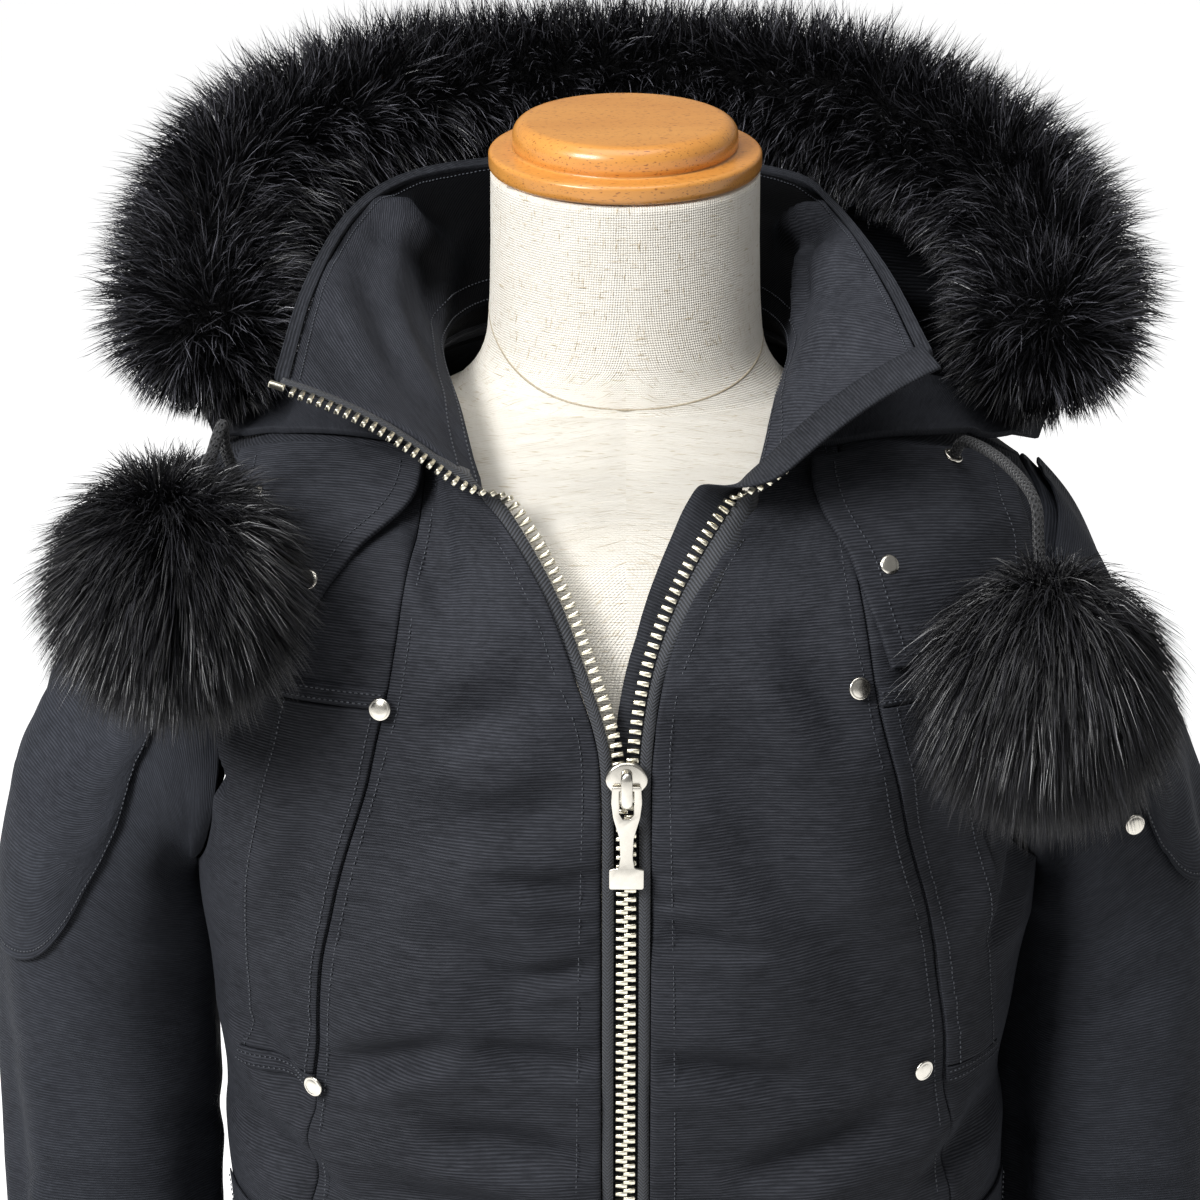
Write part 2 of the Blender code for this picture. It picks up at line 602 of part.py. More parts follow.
def sleeve(side):
    turns = np.arange(SLEEVE_COLUMNS) * 2 * math.pi / SLEEVE_COLUMNS
    deepest = PATCH_END[side]
    low = [0.82 + (deepest - 0.82) * k / 3 for k in (1, 2, 3)]
    steps = (0.0, 0.12, 0.28, 0.46, 0.64, 0.82, *low, 1.32, 1.50, 1.74, 1.998)
    grid = np.array([[sleeve_point(side, s, t) for t in turns] for s in steps])
    centres = grid.mean(axis=1, keepdims=True)
    normals = grid_normals(grid, True)
    away = (normals * (grid - centres)).sum()
    normals = -normals if away < 0 else normals
    sheet(f"sleeve_{side}", "cloth", grid, CLOTH, (0, 0, 0), around=True, normals=normals)
    # the elbow and shoulder patch lies on the outer front of the sleeve
    columns = range(-4, 6)
    rows = []
    for v in range(8):
        row = []
        for c in columns:
            turn = c * 2 * math.pi / SLEEVE_COLUMNS
            u = (c - 0.5) / 4.5
            end = deepest - (deepest - 0.86) * abs(u) ** 4
            step = (0.06, 0.28, 0.46, 0.64, 0.82)[v] if v < 5 else 0.82 + (end - 0.82) * (v - 4) / 3
            row.append(sleeve_point(side, step, turn))
        rows.append(row)
    rows = np.array(rows)
    patch_normals = grid_normals(rows)
    flip = (patch_normals * (rows - centres.mean(axis=0))).sum() < 0
    patch_normals = -patch_normals if flip else patch_normals
    sheet(f"sleeve_patch_{side}", "cloth", rows, PATCH, (0, 0, 0), lift=SLEEVE_LAYER, normals=patch_normals)


def cuff(side):
    count = CUFF_RIBS * 2
    turns = np.arange(count) * 2 * math.pi / count
    rows, ribs = [], []
    for i, z in enumerate(CUFF_ROWS):
        middle, out, ahead, half, deep, _ = sleeve_ring(side, z)
        tight = (0.93, 0.85, 0.97)[i]
        rows.append([middle + out * half * tight * math.cos(t) + ahead * deep * tight * math.sin(t)
                     for t in turns])
        ribs.append([(k % 2) * RIB_STEP for k in range(count)])
    grid = np.array(rows)
    normals = grid_normals(grid, True)
    flip = (normals * (grid - grid.mean(axis=1, keepdims=True))).sum() < 0
    normals = -normals if flip else normals
    sheet(f"cuff_{side}", "rib", grid, RIB_WALL, (0, 0, 0), around=True, normals=normals,
          ribs=np.array(ribs))


# ---------------------------------------------------------------- collar, hood, fur
def collar_point(t, v):
    row = spline_at(COLLAR, t)
    base, top = row[:3], row[3:]
    bulge = COLLAR_BULGE * math.sin(math.pi * min(max(v, 0), 1))
    return base + (top - base) * v + np.array((0, 0, 1)) * bulge


def collar_normal(t, v):
    """Unit normal of the collar on the side away from the neck."""
    step = 1e-3
    along = collar_point(min(t + step, 1), v) - collar_point(max(t - step, 0), v)
    up = collar_point(t, v + step) - collar_point(t, v - step)
    return -unit(np.cross(along, up))


def collar():
    spots = np.linspace(0.0, 1.0, 25)
    levels = (0.012, 0.30, 0.62, 0.945)
    grid = np.array([[collar_point(t, v) for t in spots] for v in levels])
    normals = np.array([[collar_normal(t, v) for t in spots] for v in levels])
    sheet("collar", "cloth", grid, COLLAR_WALL, (0, 0, 0), lift=COLLAR_WALL * 0.6, normals=normals)
    levels = (0.951, 1.0)
    grid = np.array([[collar_point(t, v) for t in spots] for v in levels])
    normals = np.array([[collar_normal(t, min(v, 0.97)) for t in spots] for v in levels])
    extra = COLLAR_WALL * 0.6 + (BINDING_WALL - COLLAR_WALL) / 2
    sheet("collar_binding", "cloth", grid, BINDING_WALL, (0, 0, 0), lift=extra, normals=normals)


def hood_rows():
    """Hood sections keyed left to right, each a list of points from the neck to the fur."""
    half = HOOD.copy()
    for k, (x, y, lift) in enumerate(HOOD[0]):
        half[0, k] = (x, y, shoulder_height(x, y) + lift)
    mirrored = half[:-1][::-1].copy()
    mirrored[..., 0] = 2 * MID_X - mirrored[..., 0] + HOOD_SKEW * np.linspace(0, 1, HOOD.shape[1])
    return np.concatenate((half, mirrored))


def hood():
    sections = hood_rows()
    fur_line = [spline_at(RUFF, t) for t in np.linspace(0, 1, 90)]
    grid = []
    for v in np.linspace(0, 1, 9):
        across = np.array([spline_at(section, v) for section in sections])
        row = [spline_at(across, t) for t in np.linspace(0, 1, 21)]
        for point in row:
            core = min(fur_line, key=lambda place: float(np.linalg.norm(place - point)))
            away = point - core
            reach = float(np.linalg.norm(away))
            point += away / reach * max(0.0, RUFF_R + HOOD_CLEAR - reach)
            if in_plan(point[0], point[1]):
                point[2] = max(point[2], shoulder_height(point[0], point[1]) + HOOD_LIFT)
        grid.append(row)
    sheet("hood", "cloth", grid, HOOD_WALL, (MID_X, 0.06, 0.95), lift=HOOD_WALL / 2)


def flap_point(side, u, v):
    """u 0 to 1 from the inner edge out, v 0 to 1 from the hood's front edge down."""
    sections = hood_rows()
    top = spline_at(sections[0] if side == "L" else sections[-1], 0.02 + 0.80 * u)
    z_top = shoulder_height(top[0], top[1])
    z = z_top + (FLAP_LOW - z_top) * v
    inner, outer = smooth_at(FLAPS[side], z)
    goal = inner + (outer - inner) * u
    weight = min(1.0, v / 0.35)
    return top[0] + (goal - top[0]) * weight, z


def hood_flap(side):
    rows, normals = [], []
    for v in (0.012, 0.10, 0.22, 0.35, 0.52, 0.70, 0.86, 1.0):
        row, row_normals = [], []
        for u in np.linspace(0, 1, 7):
            x, z = flap_point(side, u, v)
            z -= FLAP_DROP
            angle = angle_at_x(z, x)
            row.append(body_point(z, angle))
            row_normals.append(body_normal(z, angle))
        rows.append(row)
        normals.append(row_normals)
    sheet(f"hood_flap_{side}", "cloth", rows, FLAP_WALL, INSIDE, lift=FLAP_LIFT, normals=np.array(normals))


def lock_faces(points, faces, chosen, tips):
    """Each chosen face becomes a lock: its sides run to one tip."""
    points = [tuple(p) for p in points]
    result = []
    for i, face in enumerate(faces):
        if i not in chosen:
            result.append(face)
            continue
        points.append(tuple(tips[i]))
        tip = len(points) - 1
        for k in range(len(face)):
            result.append((face[k], face[(k + 1) % len(face)], tip))
    return points, result


def limited(start, direction, reach, trees):
    """The reach of a lock, cut short before it meets another piece."""
    for tree in trees:
        hit = tree.ray_cast(Vector(start), Vector(direction), reach + LOCK_CLEAR)
        if hit[0] is not None:
            reach = min(reach, hit[3] - LOCK_CLEAR)
    return reach


def trees_of(names):
    graph = bpy.context.evaluated_depsgraph_get()
    bpy.context.view_layer.update()
    return [BVHTree.FromObject(bpy.data.objects[name], graph) for name in names]


def hood_fur(trees):
    rings = []
    spots = np.linspace(0, 1, RUFF_RINGS)
    centres = np.array([spline_at(RUFF, t) for t in spots])
    tangents = unit(np.gradient(centres, axis=0))
    for centre, tangent, t in zip(centres, tangents, spots):
        side = unit(np.cross(tangent, np.array((0, 0, 1.0))))
        up = np.cross(side, tangent)
        end = min(t, 1 - t)
        radius = RUFF_R * (0.55 + 0.45 * min(1.0, end / 0.06) ** 0.5)
        rings.append([centre + radius * (math.cos(a) * side + math.sin(a) * up)
                      for a in np.arange(RUFF_SIDES) * 2 * math.pi / RUFF_SIDES])
    rings = np.array(rings)
    points = rings.reshape(-1, 3)
    faces = []
    for r in range(RUFF_RINGS - 1):
        for c in range(RUFF_SIDES):
            d = (c + 1) % RUFF_SIDES
            faces.append((r * RUFF_SIDES + c, r * RUFF_SIDES + d,
                          (r + 1) * RUFF_SIDES + d, (r + 1) * RUFF_SIDES + c))
    faces.append(tuple(range(RUFF_SIDES)))
    faces.append(tuple((RUFF_RINGS - 1) * RUFF_SIDES + c for c in range(RUFF_SIDES)))
    random = np.random.default_rng(7)
    chosen, tips = set(), {}
    for i, face in enumerate(faces[:-2]):
        r, c = divmod(i, RUFF_SIDES)
        middle = points[list(face)].mean(axis=0)
        centre = (centres[r] + centres[r + 1]) / 2
        out = unit(middle - centre)
        if (r + c) % 2 or out[2] < -0.55:
            continue
        lean = unit(out + random.normal(0, 0.16, 3))
        reach = RUFF_TIP - RUFF_R + random.uniform(-0.006, 0.004)
        reach = limited(middle + out * 0.001, lean, reach, trees)
        if reach > SHORT_LOCK:
            chosen.add(i)
            tips[i] = middle + lean * reach
    points, faces = lock_faces(points, faces, chosen, tips)
    add_object("hood_fur", "fur", points, faces)
    return len(chosen)


def cord_way(side):
    """Direction from a pompom's middle to the end of its cord."""
    return unit(np.array((-0.10, 0.30, 1.0) if side == "R" else (0.25, 0.60, 0.75)))


def pompom(name, trees):
    centre, core, tip, droop = POMPOMS[name]
    centre = np.array(centre)
    work = bmesh.new()
    bmesh.ops.create_icosphere(work, subdivisions=3, radius=core)
    points = np.array([v.co[:] for v in work.verts]) + centre
    faces = [tuple(v.index for v in face.verts) for face in work.faces]
    work.free()
    random = np.random.default_rng(11)
    order = random.permutation(len(faces))
    chosen, tips, used = set(), {}, set()
    for i in order:
        if used & set(faces[i]) or len(chosen) >= POMPOM_LOCKS:
            continue
        middle = points[list(faces[i])].mean(axis=0)
        out = unit(middle - centre)
        if float(out @ cord_way(name[-1])) > 0.92:
            continue
        lean = unit(out + random.normal(0, 0.10, 3) + np.array((0, 0, -0.25 if droop > 0.01 else -0.05)))
        reach = tip - core + random.uniform(-0.005, 0.003) + droop * max(0.0, -out[2])
        reach = limited(middle + out * 0.001, lean, reach, trees)
        if reach > SHORT_LOCK:
            chosen.add(int(i))
            used |= set(faces[i])
            tips[int(i)] = middle + lean * reach
    points, faces = lock_faces(points, faces, chosen, tips)
    add_object(name, "fur", points, faces)
    return len(chosen)


# ---------------------------------------------------------------- zip
def edge_path(side):
    """Points of one front's free edge from the hem to the collar top, with the directions
    across it (away from the cloth) and out of the cloth."""
    index = 0 if side == "L" else 1
    end_t = 0.0 if side == "L" else 1.0
    sign = 1 if side == "L" else -1
    places, outs = [], []
    heights = [0.1745, 0.2136, 0.235, 0.285, 0.335, 0.400, 0.470, 0.540, 0.586, 0.632, 0.650, 0.662,
               0.672, 0.684, 0.698, 0.712, 0.727, 0.740, 0.752, 0.763]
    for z in heights:
        x = smooth_at(OPENING, z)[index]
        angle = angle_at_x(z, x)
        places.append(body_point(z, angle))
        outs.append(body_normal(z, angle))
    for v in (0.0, 0.05, 0.14, 0.30, 0.46, 0.62, 0.80, 0.96):
        places.append(collar_point(end_t, v))
        outs.append(collar_normal(abs(end_t - 0.01), v))
    places, outs = np.array(places), np.array(outs)
    for _ in range(2):
        outs[1:-1] = unit(outs[:-2] + 2 * outs[1:-1] + outs[2:])
    along = unit(np.gradient(places, axis=0))
    across = unit(np.cross(along, outs)) * sign
    outs = unit(np.cross(across, along)) * sign
    return places, across, outs


def zip_pieces():
    for side in ("L", "R"):
        places, across, outs = edge_path(side)
        sign = 1 if side == "L" else -1
        if float(across[0, 0]) * sign < 0:
            across = -across
        if float(outs[0, 1]) > 0:
            outs = -outs
        steps = np.arange(len(places))
        near = np.interp(steps, (0, BODY_STEPS - 4, BODY_STEPS, len(steps)), (0.0005, 0.0005, 0.0014, 0.0014))
        strip(f"zip_tape_{side}", "tape", places, across, outs, near, TAPE, TAPE_WALL, TAPE_SINK)
        strip(f"zip_chain_{side}", "brass", places, across, outs, TAPE + 0.0008, TAPE + CHAIN,
              CHAIN_WALL, 0.0006)
        if side == "R":
            near = np.interp(steps, (0, BODY_STEPS - 5, BODY_STEPS - 2, len(steps)),
                             (-0.010, -0.010, 0.0014, 0.0014))
            far = np.interp(steps, (0, BODY_STEPS - 9, BODY_STEPS - 3, len(steps)),
                            (0.0160, 0.0160, 0.0120, 0.0110))
            strip("zip_guard", "cloth", places, across, outs, near, far, GUARD_WALL, GUARD_SINK)


def own(made):
    """Moves an object made by an operator into the part's collection."""
    for owner in list(made.users_collection):
        owner.objects.unlink(made)
    PARTS.objects.link(made)


def box(name, kind, low, high, bevel=0.0):
    bpy.ops.mesh.primitive_cube_add(size=1)
    made = bpy.context.object
    made.name = made.data.name = name
    made.scale = [b - a for a, b in zip(low, high)]
    made.location = [(a + b) / 2 for a, b in zip(low, high)]
    bpy.ops.object.transform_apply(location=True, rotation=True, scale=True)
    if bevel:
        work = bmesh.new()
        work.from_mesh(made.data)
        bmesh.ops.bevel(work, geom=work.edges[:], offset=bevel, segments=1, affect="EDGES")
        work.to_mesh(made.data)
        work.free()
    made.data.materials.append(material(kind, name))
    own(made)
    return made


def turned(name, kind, profile, sides, centre=(0, 0, 0), normal=(0, 0, 1)):
    """A profile of (radius, height) from the top down, spun about its axis at centre."""
    mesh = bpy.data.meshes.new(name)
    points = [(r, 0.0, h) for r, h in profile]
    mesh.from_pydata(points, [(i, i + 1) for i in range(len(points) - 1)], [])
    made = bpy.data.objects.new(name, mesh)
    PARTS.objects.link(made)
    spin = made.modifiers.new("spin", "SCREW")
    spin.steps = spin.render_steps = sides
    spin.use_merge_vertices = True
    spin.merge_threshold = 1e-5
    made.location = centre
    made.rotation_mode = "QUATERNION"
    made.rotation_quaternion = Vector((0, 0, 1)).rotation_difference(Vector(normal))
    mesh.materials.append(material(kind, name))
    return made


def stud(name, centre, normal, radius, height):
    """Domed rivet or press stud."""
    profile = ((0.0, height), (radius * 0.55, height * 0.96), (radius * 0.88, height * 0.74),
               (radius, height * 0.40), (radius, 0.0), (0.0, 0.0))
    turned(name, "metal", profile, 12, centre, normal)


def extruded(name, kind, outline, low, high):
    """A plate in the XZ plane between two depths."""
    return solid_rings(name, kind, [[(x, y, z) for x, z in outline] for y in (low, high)])


def combined(target, other, operation):
    """Adds the other body to the target or cuts it out, and removes the other."""
    change = target.modifiers.new("change", "BOOLEAN")
    change.operation = operation
    change.solver = "EXACT"
    change.object = other
    graph = bpy.context.evaluated_depsgraph_get()
    whole = bpy.data.meshes.new_from_object(target.evaluated_get(graph))
    target.modifiers.remove(change)
    target.data = whole
    whole.name = target.name
    bpy.data.objects.remove(other, do_unlink=True)


def slider(face_y):
    """Plate over the chain with the loop that holds the tab's pin."""
    plan = ((-0.46, 0.0), (-0.50, 0.42), (-0.43, 0.80), (-0.22, 1.0), (0.22, 1.0), (0.43, 0.80),
            (0.50, 0.42), (0.46, 0.0), (0.30, -0.06), (-0.30, -0.06))
    low = SLIDER_Z - SLIDER_LONG / 2
    rings = []
    for depth, shrink in ((SLIDER_LIFT, 0.95), (SLIDER_LIFT + 0.0006, 1.0),
                          (SLIDER_LIFT + SLIDER_WALL - 0.0008, 1.0), (SLIDER_LIFT + SLIDER_WALL, 0.90)):
        ring = []
        for x, h in plan:
            z = low + h * SLIDER_LONG
            ring.append((x * SLIDER_WIDE * shrink, face_y - depth, SLIDER_Z + (z - SLIDER_Z) * shrink))
        rings.append(ring)
    plate = solid_rings("zip_slider", "metal", rings)
    top = face_y - SLIDER_LIFT - SLIDER_WALL
    outer = ((0.0078, -0.0006), (0.0078, 0.0022), (0.0052, 0.0050), (-0.0060, 0.0050),
             (-0.0090, 0.0022), (-0.0090, -0.0006))
    inner = ((-0.0056, -0.0006), (-0.0056, 0.0018), (-0.0040, 0.0035), (0.0022, 0.0035),
             (0.0036, 0.0018), (0.0036, -0.0006))
    outline = [(PIN_Z + z, top - d) for z, d in outer + inner]
    loop = solid_rings("zip_loop", "metal", [[(x, y, z) for z, y in outline] for x in (-0.0018, 0.0018)])
    combined(plate, loop, "UNION")


def pull_tab(face_y):
    """Slotted tab that swings about the pin; its origin is on the pin."""
    middle = face_y - SLIDER_LIFT - SLIDER_WALL - PIN_OUT
    outline = [(half, PIN_Z - drop) for drop, half in TAB]
    outline += [(-half, PIN_Z - drop) for drop, half in reversed(TAB)]
    tab = extruded("zip_pull", "metal", outline, middle - TAB_WALL / 2, middle + TAB_WALL / 2)
    start, end, half = TAB_SLOT
    hole = [(-half, PIN_Z - start), (half, PIN_Z - start), (half, PIN_Z - end + 0.002),
            (half * 0.5, PIN_Z - end), (-half * 0.5, PIN_Z - end), (-half, PIN_Z - end + 0.002)]
    cutter = extruded("zip_pull_slot", "metal", hole, middle - TAB_WALL, middle + TAB_WALL)
    combined(tab, cutter, "DIFFERENCE")
    pin = Vector((0, middle, PIN_Z))
    for vertex in tab.data.vertices:
        vertex.co -= pin
    tab.location = pin


def stops(face_y):
    """The box at the hem, and one stop at the top of each row of teeth."""
    box("zip_box", "metal", (-0.0062, face_y - 0.0012, 0.1650), (0.0062, face_y + 0.0030, 0.1738), 0.0006)
    for side in ("L", "R"):
        places, across, outs = edge_path(side)
        along = unit(places[-1] - places[-2])
        ends = np.array((places[-1] + along * 0.0006, places[-1] + along * 0.0044))
        sign = 1 if float(across[0, 0]) * (1 if side == "L" else -1) > 0 else -1
        turn = 1 if float(outs[0, 1]) < 0 else -1
        strip(f"top_stop_{side}", "metal", ends, np.array((across[-1],) * 2) * sign,
              np.array((outs[-1],) * 2) * turn, TAPE + 0.0006, TAPE + CHAIN, CHAIN_WALL, 0.0006)


def studs():
    """Rivets at the pocket corners and press studs on the flaps and one sleeve."""
    for places, (radius, height, foot) in ((RIVETS, RIVET_SIZE), (SNAPS, SNAP_SIZE)):
        for name, (x, z) in places.items():
            angle = angle_at_x(z, x)
            normal = body_normal(z, angle)
            stud(name, body_point(z, angle) + normal * foot, normal, radius, height)
    goal = np.array(SLEEVE_SNAP)
    spots = [(s, t) for s in np.linspace(0.5, 1.2, 36) for t in np.linspace(0.2, 2.2, 41)]
    s, t = min(spots, key=lambda k: np.linalg.norm(sleeve_point("R", *k) - goal))
    here = sleeve_point("R", s, t)
    normal = unit(np.cross(sleeve_point("R", s + 0.01, t) - here, sleeve_point("R", s, t + 0.01) - here))
    normal = normal if normal[0] > 0 else -normal
    radius, height, foot = SLEEVE_SNAP_SIZE
    stud("sleeve_snap_R", here + normal * foot, normal, radius, height)


def flap_frame(side, u, v):
    """Point on the upper face of a hood flap, and its outward normal."""
    x, z = flap_point(side, u, v)
    z -= FLAP_DROP
    angle = angle_at_x(z, x)
    normal = body_normal(z, angle)
    return body_point(z, angle) + normal * FLAP_LIFT, normal


def eyelet_and_cord(side):
    spot, normal = flap_frame(side, *EYELETS[side])
    bpy.ops.mesh.primitive_torus_add(major_radius=EYELET_R, minor_radius=EYELET_WIRE, major_segments=14,
                                     minor_segments=6, location=spot + normal * (EYELET_WIRE + 0.0004))
    ring = bpy.context.object
    ring.name = ring.data.name = f"eyelet_{side}"
    ring.rotation_mode = "QUATERNION"
    ring.rotation_quaternion = Vector((0, 0, 1)).rotation_difference(Vector(normal))
    ring.data.shade_smooth()
    ring.data.materials.append(material("metal", ring.name))
    own(ring)
    centre, core, _, _ = POMPOMS[f"pompom_{side}"]
    centre = np.array(centre)
    start = spot + normal * 0.0018
    lead = spot + normal * 0.0120 + np.array((0, -0.008, 0))
    away = cord_way(side)
    end = centre + away * (core + CORD_GAP)
    before = centre + away * (core + 0.020)
    curve = [start, lead, (lead + before) / 2 + normal * 0.004, before, end]
    path = [spline_at(curve, t) for t in np.linspace(0, 1, 13)]
    data = bpy.data.curves.new(f"cord_{side}", "CURVE")
    data.dimensions = "3D"
    data.bevel_depth = CORD_R
    data.bevel_resolution = 2
    data.use_fill_caps = True
    line = data.splines.new("POLY")
    line.points.add(len(path) - 1)
    for point, place in zip(line.points, path):
        point.co = (*place, 1.0)
    data.materials.append(material("tape", data.name))
    PARTS.objects.link(bpy.data.objects.new(data.name, data))


# ---------------------------------------------------------------- dress form
def dress_form():
    columns = 26
    turns = np.arange(columns) * 2 * math.pi / columns
    rings = []
    for row in FORM:
        rings.append([ring_point(row[1:], row[0], a) for a in turns])
    for z, radius, y, lean in NECK_RINGS:
        tip = math.radians(lean)
        rings.append([(radius * math.cos(a), y + radius * math.sin(a) * math.cos(tip),
                       z + radius * math.sin(a) * math.sin(tip)) for a in turns])
    solid_rings("form_torso", "linen", rings)
    disc, top = CAP_DISC, CAP_TOP
    high = disc[1] + top[1]
    profile = ((0.0, high), (top[0] - 0.0070, high), (top[0] - 0.0022, high - 0.0015),
               (top[0], high - 0.0055), (top[0] - 0.0003, disc[1] + 0.0030),
               (top[0] - 0.0022, disc[1] + 0.0006), (disc[0] - 0.0022, disc[1]),
               (disc[0], disc[1] - 0.0020), (disc[0], 0.0016), (disc[0] - 0.0020, 0.0), (0.0, 0.0))
    tip = math.radians(CAP_LEAN)
    turned("form_cap", "beech", profile, 24, (0, CAP_Y, CAP_Z), (0, -math.sin(tip), math.cos(tip)))
    bpy.ops.mesh.primitive_cylinder_add(vertices=20, radius=POLE_R, depth=FORM[0, 0] - BASE_H - 0.0006,
                                        location=(0, 0, (FORM[0, 0] + BASE_H) / 2))
    pole = bpy.context.object
    pole.name = pole.data.name = "form_pole"
    pole.data.shade_smooth()
    pole.data.set_sharp_from_angle(angle=math.radians(40))
    pole.data.materials.append(material("steel", pole.name))
    own(pole)
    profile = ((0.0, BASE_H), (BASE_R - 0.006, BASE_H), (BASE_R, BASE_H - 0.004), (BASE_R, 0.002),
               (BASE_R - 0.002, 0.0), (0.0, 0.0))
    turned("form_base", "steel", profile, 32)


def main():
    clear_scene()
    dress_form()
    for side in ("L", "R"):
        front_panels(side)
        sleeve(side)
        cuff(side)
        hood_flap(side)
        eyelet_and_cord(side)
    back_panel()
    hem_rib()
    collar()
    hood()
    zip_pieces()
    face_y = float(front_point(0.0, SLIDER_Z)[1])
    slider(face_y)
    pull_tab(face_y)
    stops(float(front_point(0.0, 0.170)[1]))
    studs()
    near = [item.name for item in PARTS.objects]
    count = hood_fur(trees_of(near))
    near.append("hood_fur")
    for name in POMPOMS:
        count += pompom(name, trees_of(near))
        near.append(name)
    print("locks of fur:", count)


PARTS = bpy.data.collections.new("down_bomber_jacket")
bpy.context.scene.collection.children.link(PARTS)
main()
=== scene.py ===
import json
import math

import bmesh
import bpy
import numpy as np
from mathutils import Vector
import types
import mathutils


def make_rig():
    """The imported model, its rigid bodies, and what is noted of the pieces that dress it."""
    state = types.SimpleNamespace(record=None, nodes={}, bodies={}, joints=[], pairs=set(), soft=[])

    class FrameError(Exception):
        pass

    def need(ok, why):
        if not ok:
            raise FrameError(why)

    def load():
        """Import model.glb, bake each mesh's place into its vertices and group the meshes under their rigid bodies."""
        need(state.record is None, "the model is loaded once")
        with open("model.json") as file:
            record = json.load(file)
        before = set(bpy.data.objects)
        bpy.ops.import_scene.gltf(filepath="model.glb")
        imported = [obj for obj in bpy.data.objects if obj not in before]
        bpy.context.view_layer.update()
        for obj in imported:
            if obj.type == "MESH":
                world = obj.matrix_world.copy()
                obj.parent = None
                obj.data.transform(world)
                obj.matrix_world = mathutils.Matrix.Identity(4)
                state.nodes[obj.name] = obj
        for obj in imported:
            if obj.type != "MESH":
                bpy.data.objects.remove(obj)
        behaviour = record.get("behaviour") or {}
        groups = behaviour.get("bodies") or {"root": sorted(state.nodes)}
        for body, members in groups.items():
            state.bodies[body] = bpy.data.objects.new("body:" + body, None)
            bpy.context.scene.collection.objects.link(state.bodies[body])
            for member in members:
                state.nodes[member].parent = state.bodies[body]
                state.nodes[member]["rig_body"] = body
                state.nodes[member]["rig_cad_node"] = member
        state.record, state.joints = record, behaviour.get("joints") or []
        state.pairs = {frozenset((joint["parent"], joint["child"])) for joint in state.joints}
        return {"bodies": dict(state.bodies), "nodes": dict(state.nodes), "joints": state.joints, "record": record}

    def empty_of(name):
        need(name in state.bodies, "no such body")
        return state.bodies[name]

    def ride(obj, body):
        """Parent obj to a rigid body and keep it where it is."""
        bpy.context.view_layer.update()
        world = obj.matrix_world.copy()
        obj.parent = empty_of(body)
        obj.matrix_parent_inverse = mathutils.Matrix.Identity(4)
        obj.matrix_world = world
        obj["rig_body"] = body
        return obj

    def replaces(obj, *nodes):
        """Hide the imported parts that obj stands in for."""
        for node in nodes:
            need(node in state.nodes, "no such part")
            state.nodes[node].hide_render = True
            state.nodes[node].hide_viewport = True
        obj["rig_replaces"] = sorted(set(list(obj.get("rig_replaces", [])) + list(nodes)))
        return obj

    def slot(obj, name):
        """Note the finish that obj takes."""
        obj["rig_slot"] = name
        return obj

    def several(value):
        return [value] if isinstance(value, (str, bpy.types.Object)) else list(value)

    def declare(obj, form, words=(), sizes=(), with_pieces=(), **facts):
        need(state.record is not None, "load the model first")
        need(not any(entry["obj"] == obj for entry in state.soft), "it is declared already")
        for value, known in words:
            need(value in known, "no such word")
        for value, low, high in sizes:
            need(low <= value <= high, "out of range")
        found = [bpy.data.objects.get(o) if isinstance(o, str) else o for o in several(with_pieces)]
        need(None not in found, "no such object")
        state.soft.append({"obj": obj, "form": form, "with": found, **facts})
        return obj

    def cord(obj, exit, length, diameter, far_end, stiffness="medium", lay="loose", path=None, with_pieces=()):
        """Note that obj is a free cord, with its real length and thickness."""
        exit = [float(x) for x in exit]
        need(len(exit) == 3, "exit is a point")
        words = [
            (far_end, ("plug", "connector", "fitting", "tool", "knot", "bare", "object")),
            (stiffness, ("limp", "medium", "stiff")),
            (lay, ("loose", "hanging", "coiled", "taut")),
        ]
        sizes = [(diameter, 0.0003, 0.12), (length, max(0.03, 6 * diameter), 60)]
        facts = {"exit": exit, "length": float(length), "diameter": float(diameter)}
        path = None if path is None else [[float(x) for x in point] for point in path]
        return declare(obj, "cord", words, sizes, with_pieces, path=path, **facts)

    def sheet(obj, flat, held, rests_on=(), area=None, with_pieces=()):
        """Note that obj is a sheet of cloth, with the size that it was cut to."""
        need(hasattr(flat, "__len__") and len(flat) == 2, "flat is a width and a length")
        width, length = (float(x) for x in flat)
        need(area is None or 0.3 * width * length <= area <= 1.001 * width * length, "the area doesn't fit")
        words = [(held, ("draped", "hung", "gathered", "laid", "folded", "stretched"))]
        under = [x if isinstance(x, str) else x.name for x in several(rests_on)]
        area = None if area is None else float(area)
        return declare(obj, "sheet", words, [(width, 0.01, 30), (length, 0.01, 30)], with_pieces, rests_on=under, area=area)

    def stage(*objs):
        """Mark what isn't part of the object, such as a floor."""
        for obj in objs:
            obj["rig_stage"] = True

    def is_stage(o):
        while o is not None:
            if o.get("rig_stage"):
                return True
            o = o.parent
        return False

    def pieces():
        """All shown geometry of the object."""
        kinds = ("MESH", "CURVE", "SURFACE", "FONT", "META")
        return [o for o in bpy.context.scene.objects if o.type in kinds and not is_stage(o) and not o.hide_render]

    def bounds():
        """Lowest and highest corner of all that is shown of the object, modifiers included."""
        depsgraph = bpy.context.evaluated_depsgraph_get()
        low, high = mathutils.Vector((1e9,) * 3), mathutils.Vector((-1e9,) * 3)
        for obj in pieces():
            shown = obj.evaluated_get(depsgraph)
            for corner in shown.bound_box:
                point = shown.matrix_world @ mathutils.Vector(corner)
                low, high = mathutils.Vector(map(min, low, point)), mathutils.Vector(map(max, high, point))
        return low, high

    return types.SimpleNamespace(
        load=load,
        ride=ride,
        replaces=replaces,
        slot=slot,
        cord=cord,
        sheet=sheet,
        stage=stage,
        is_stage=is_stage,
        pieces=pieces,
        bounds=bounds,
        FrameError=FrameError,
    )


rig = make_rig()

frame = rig.load()
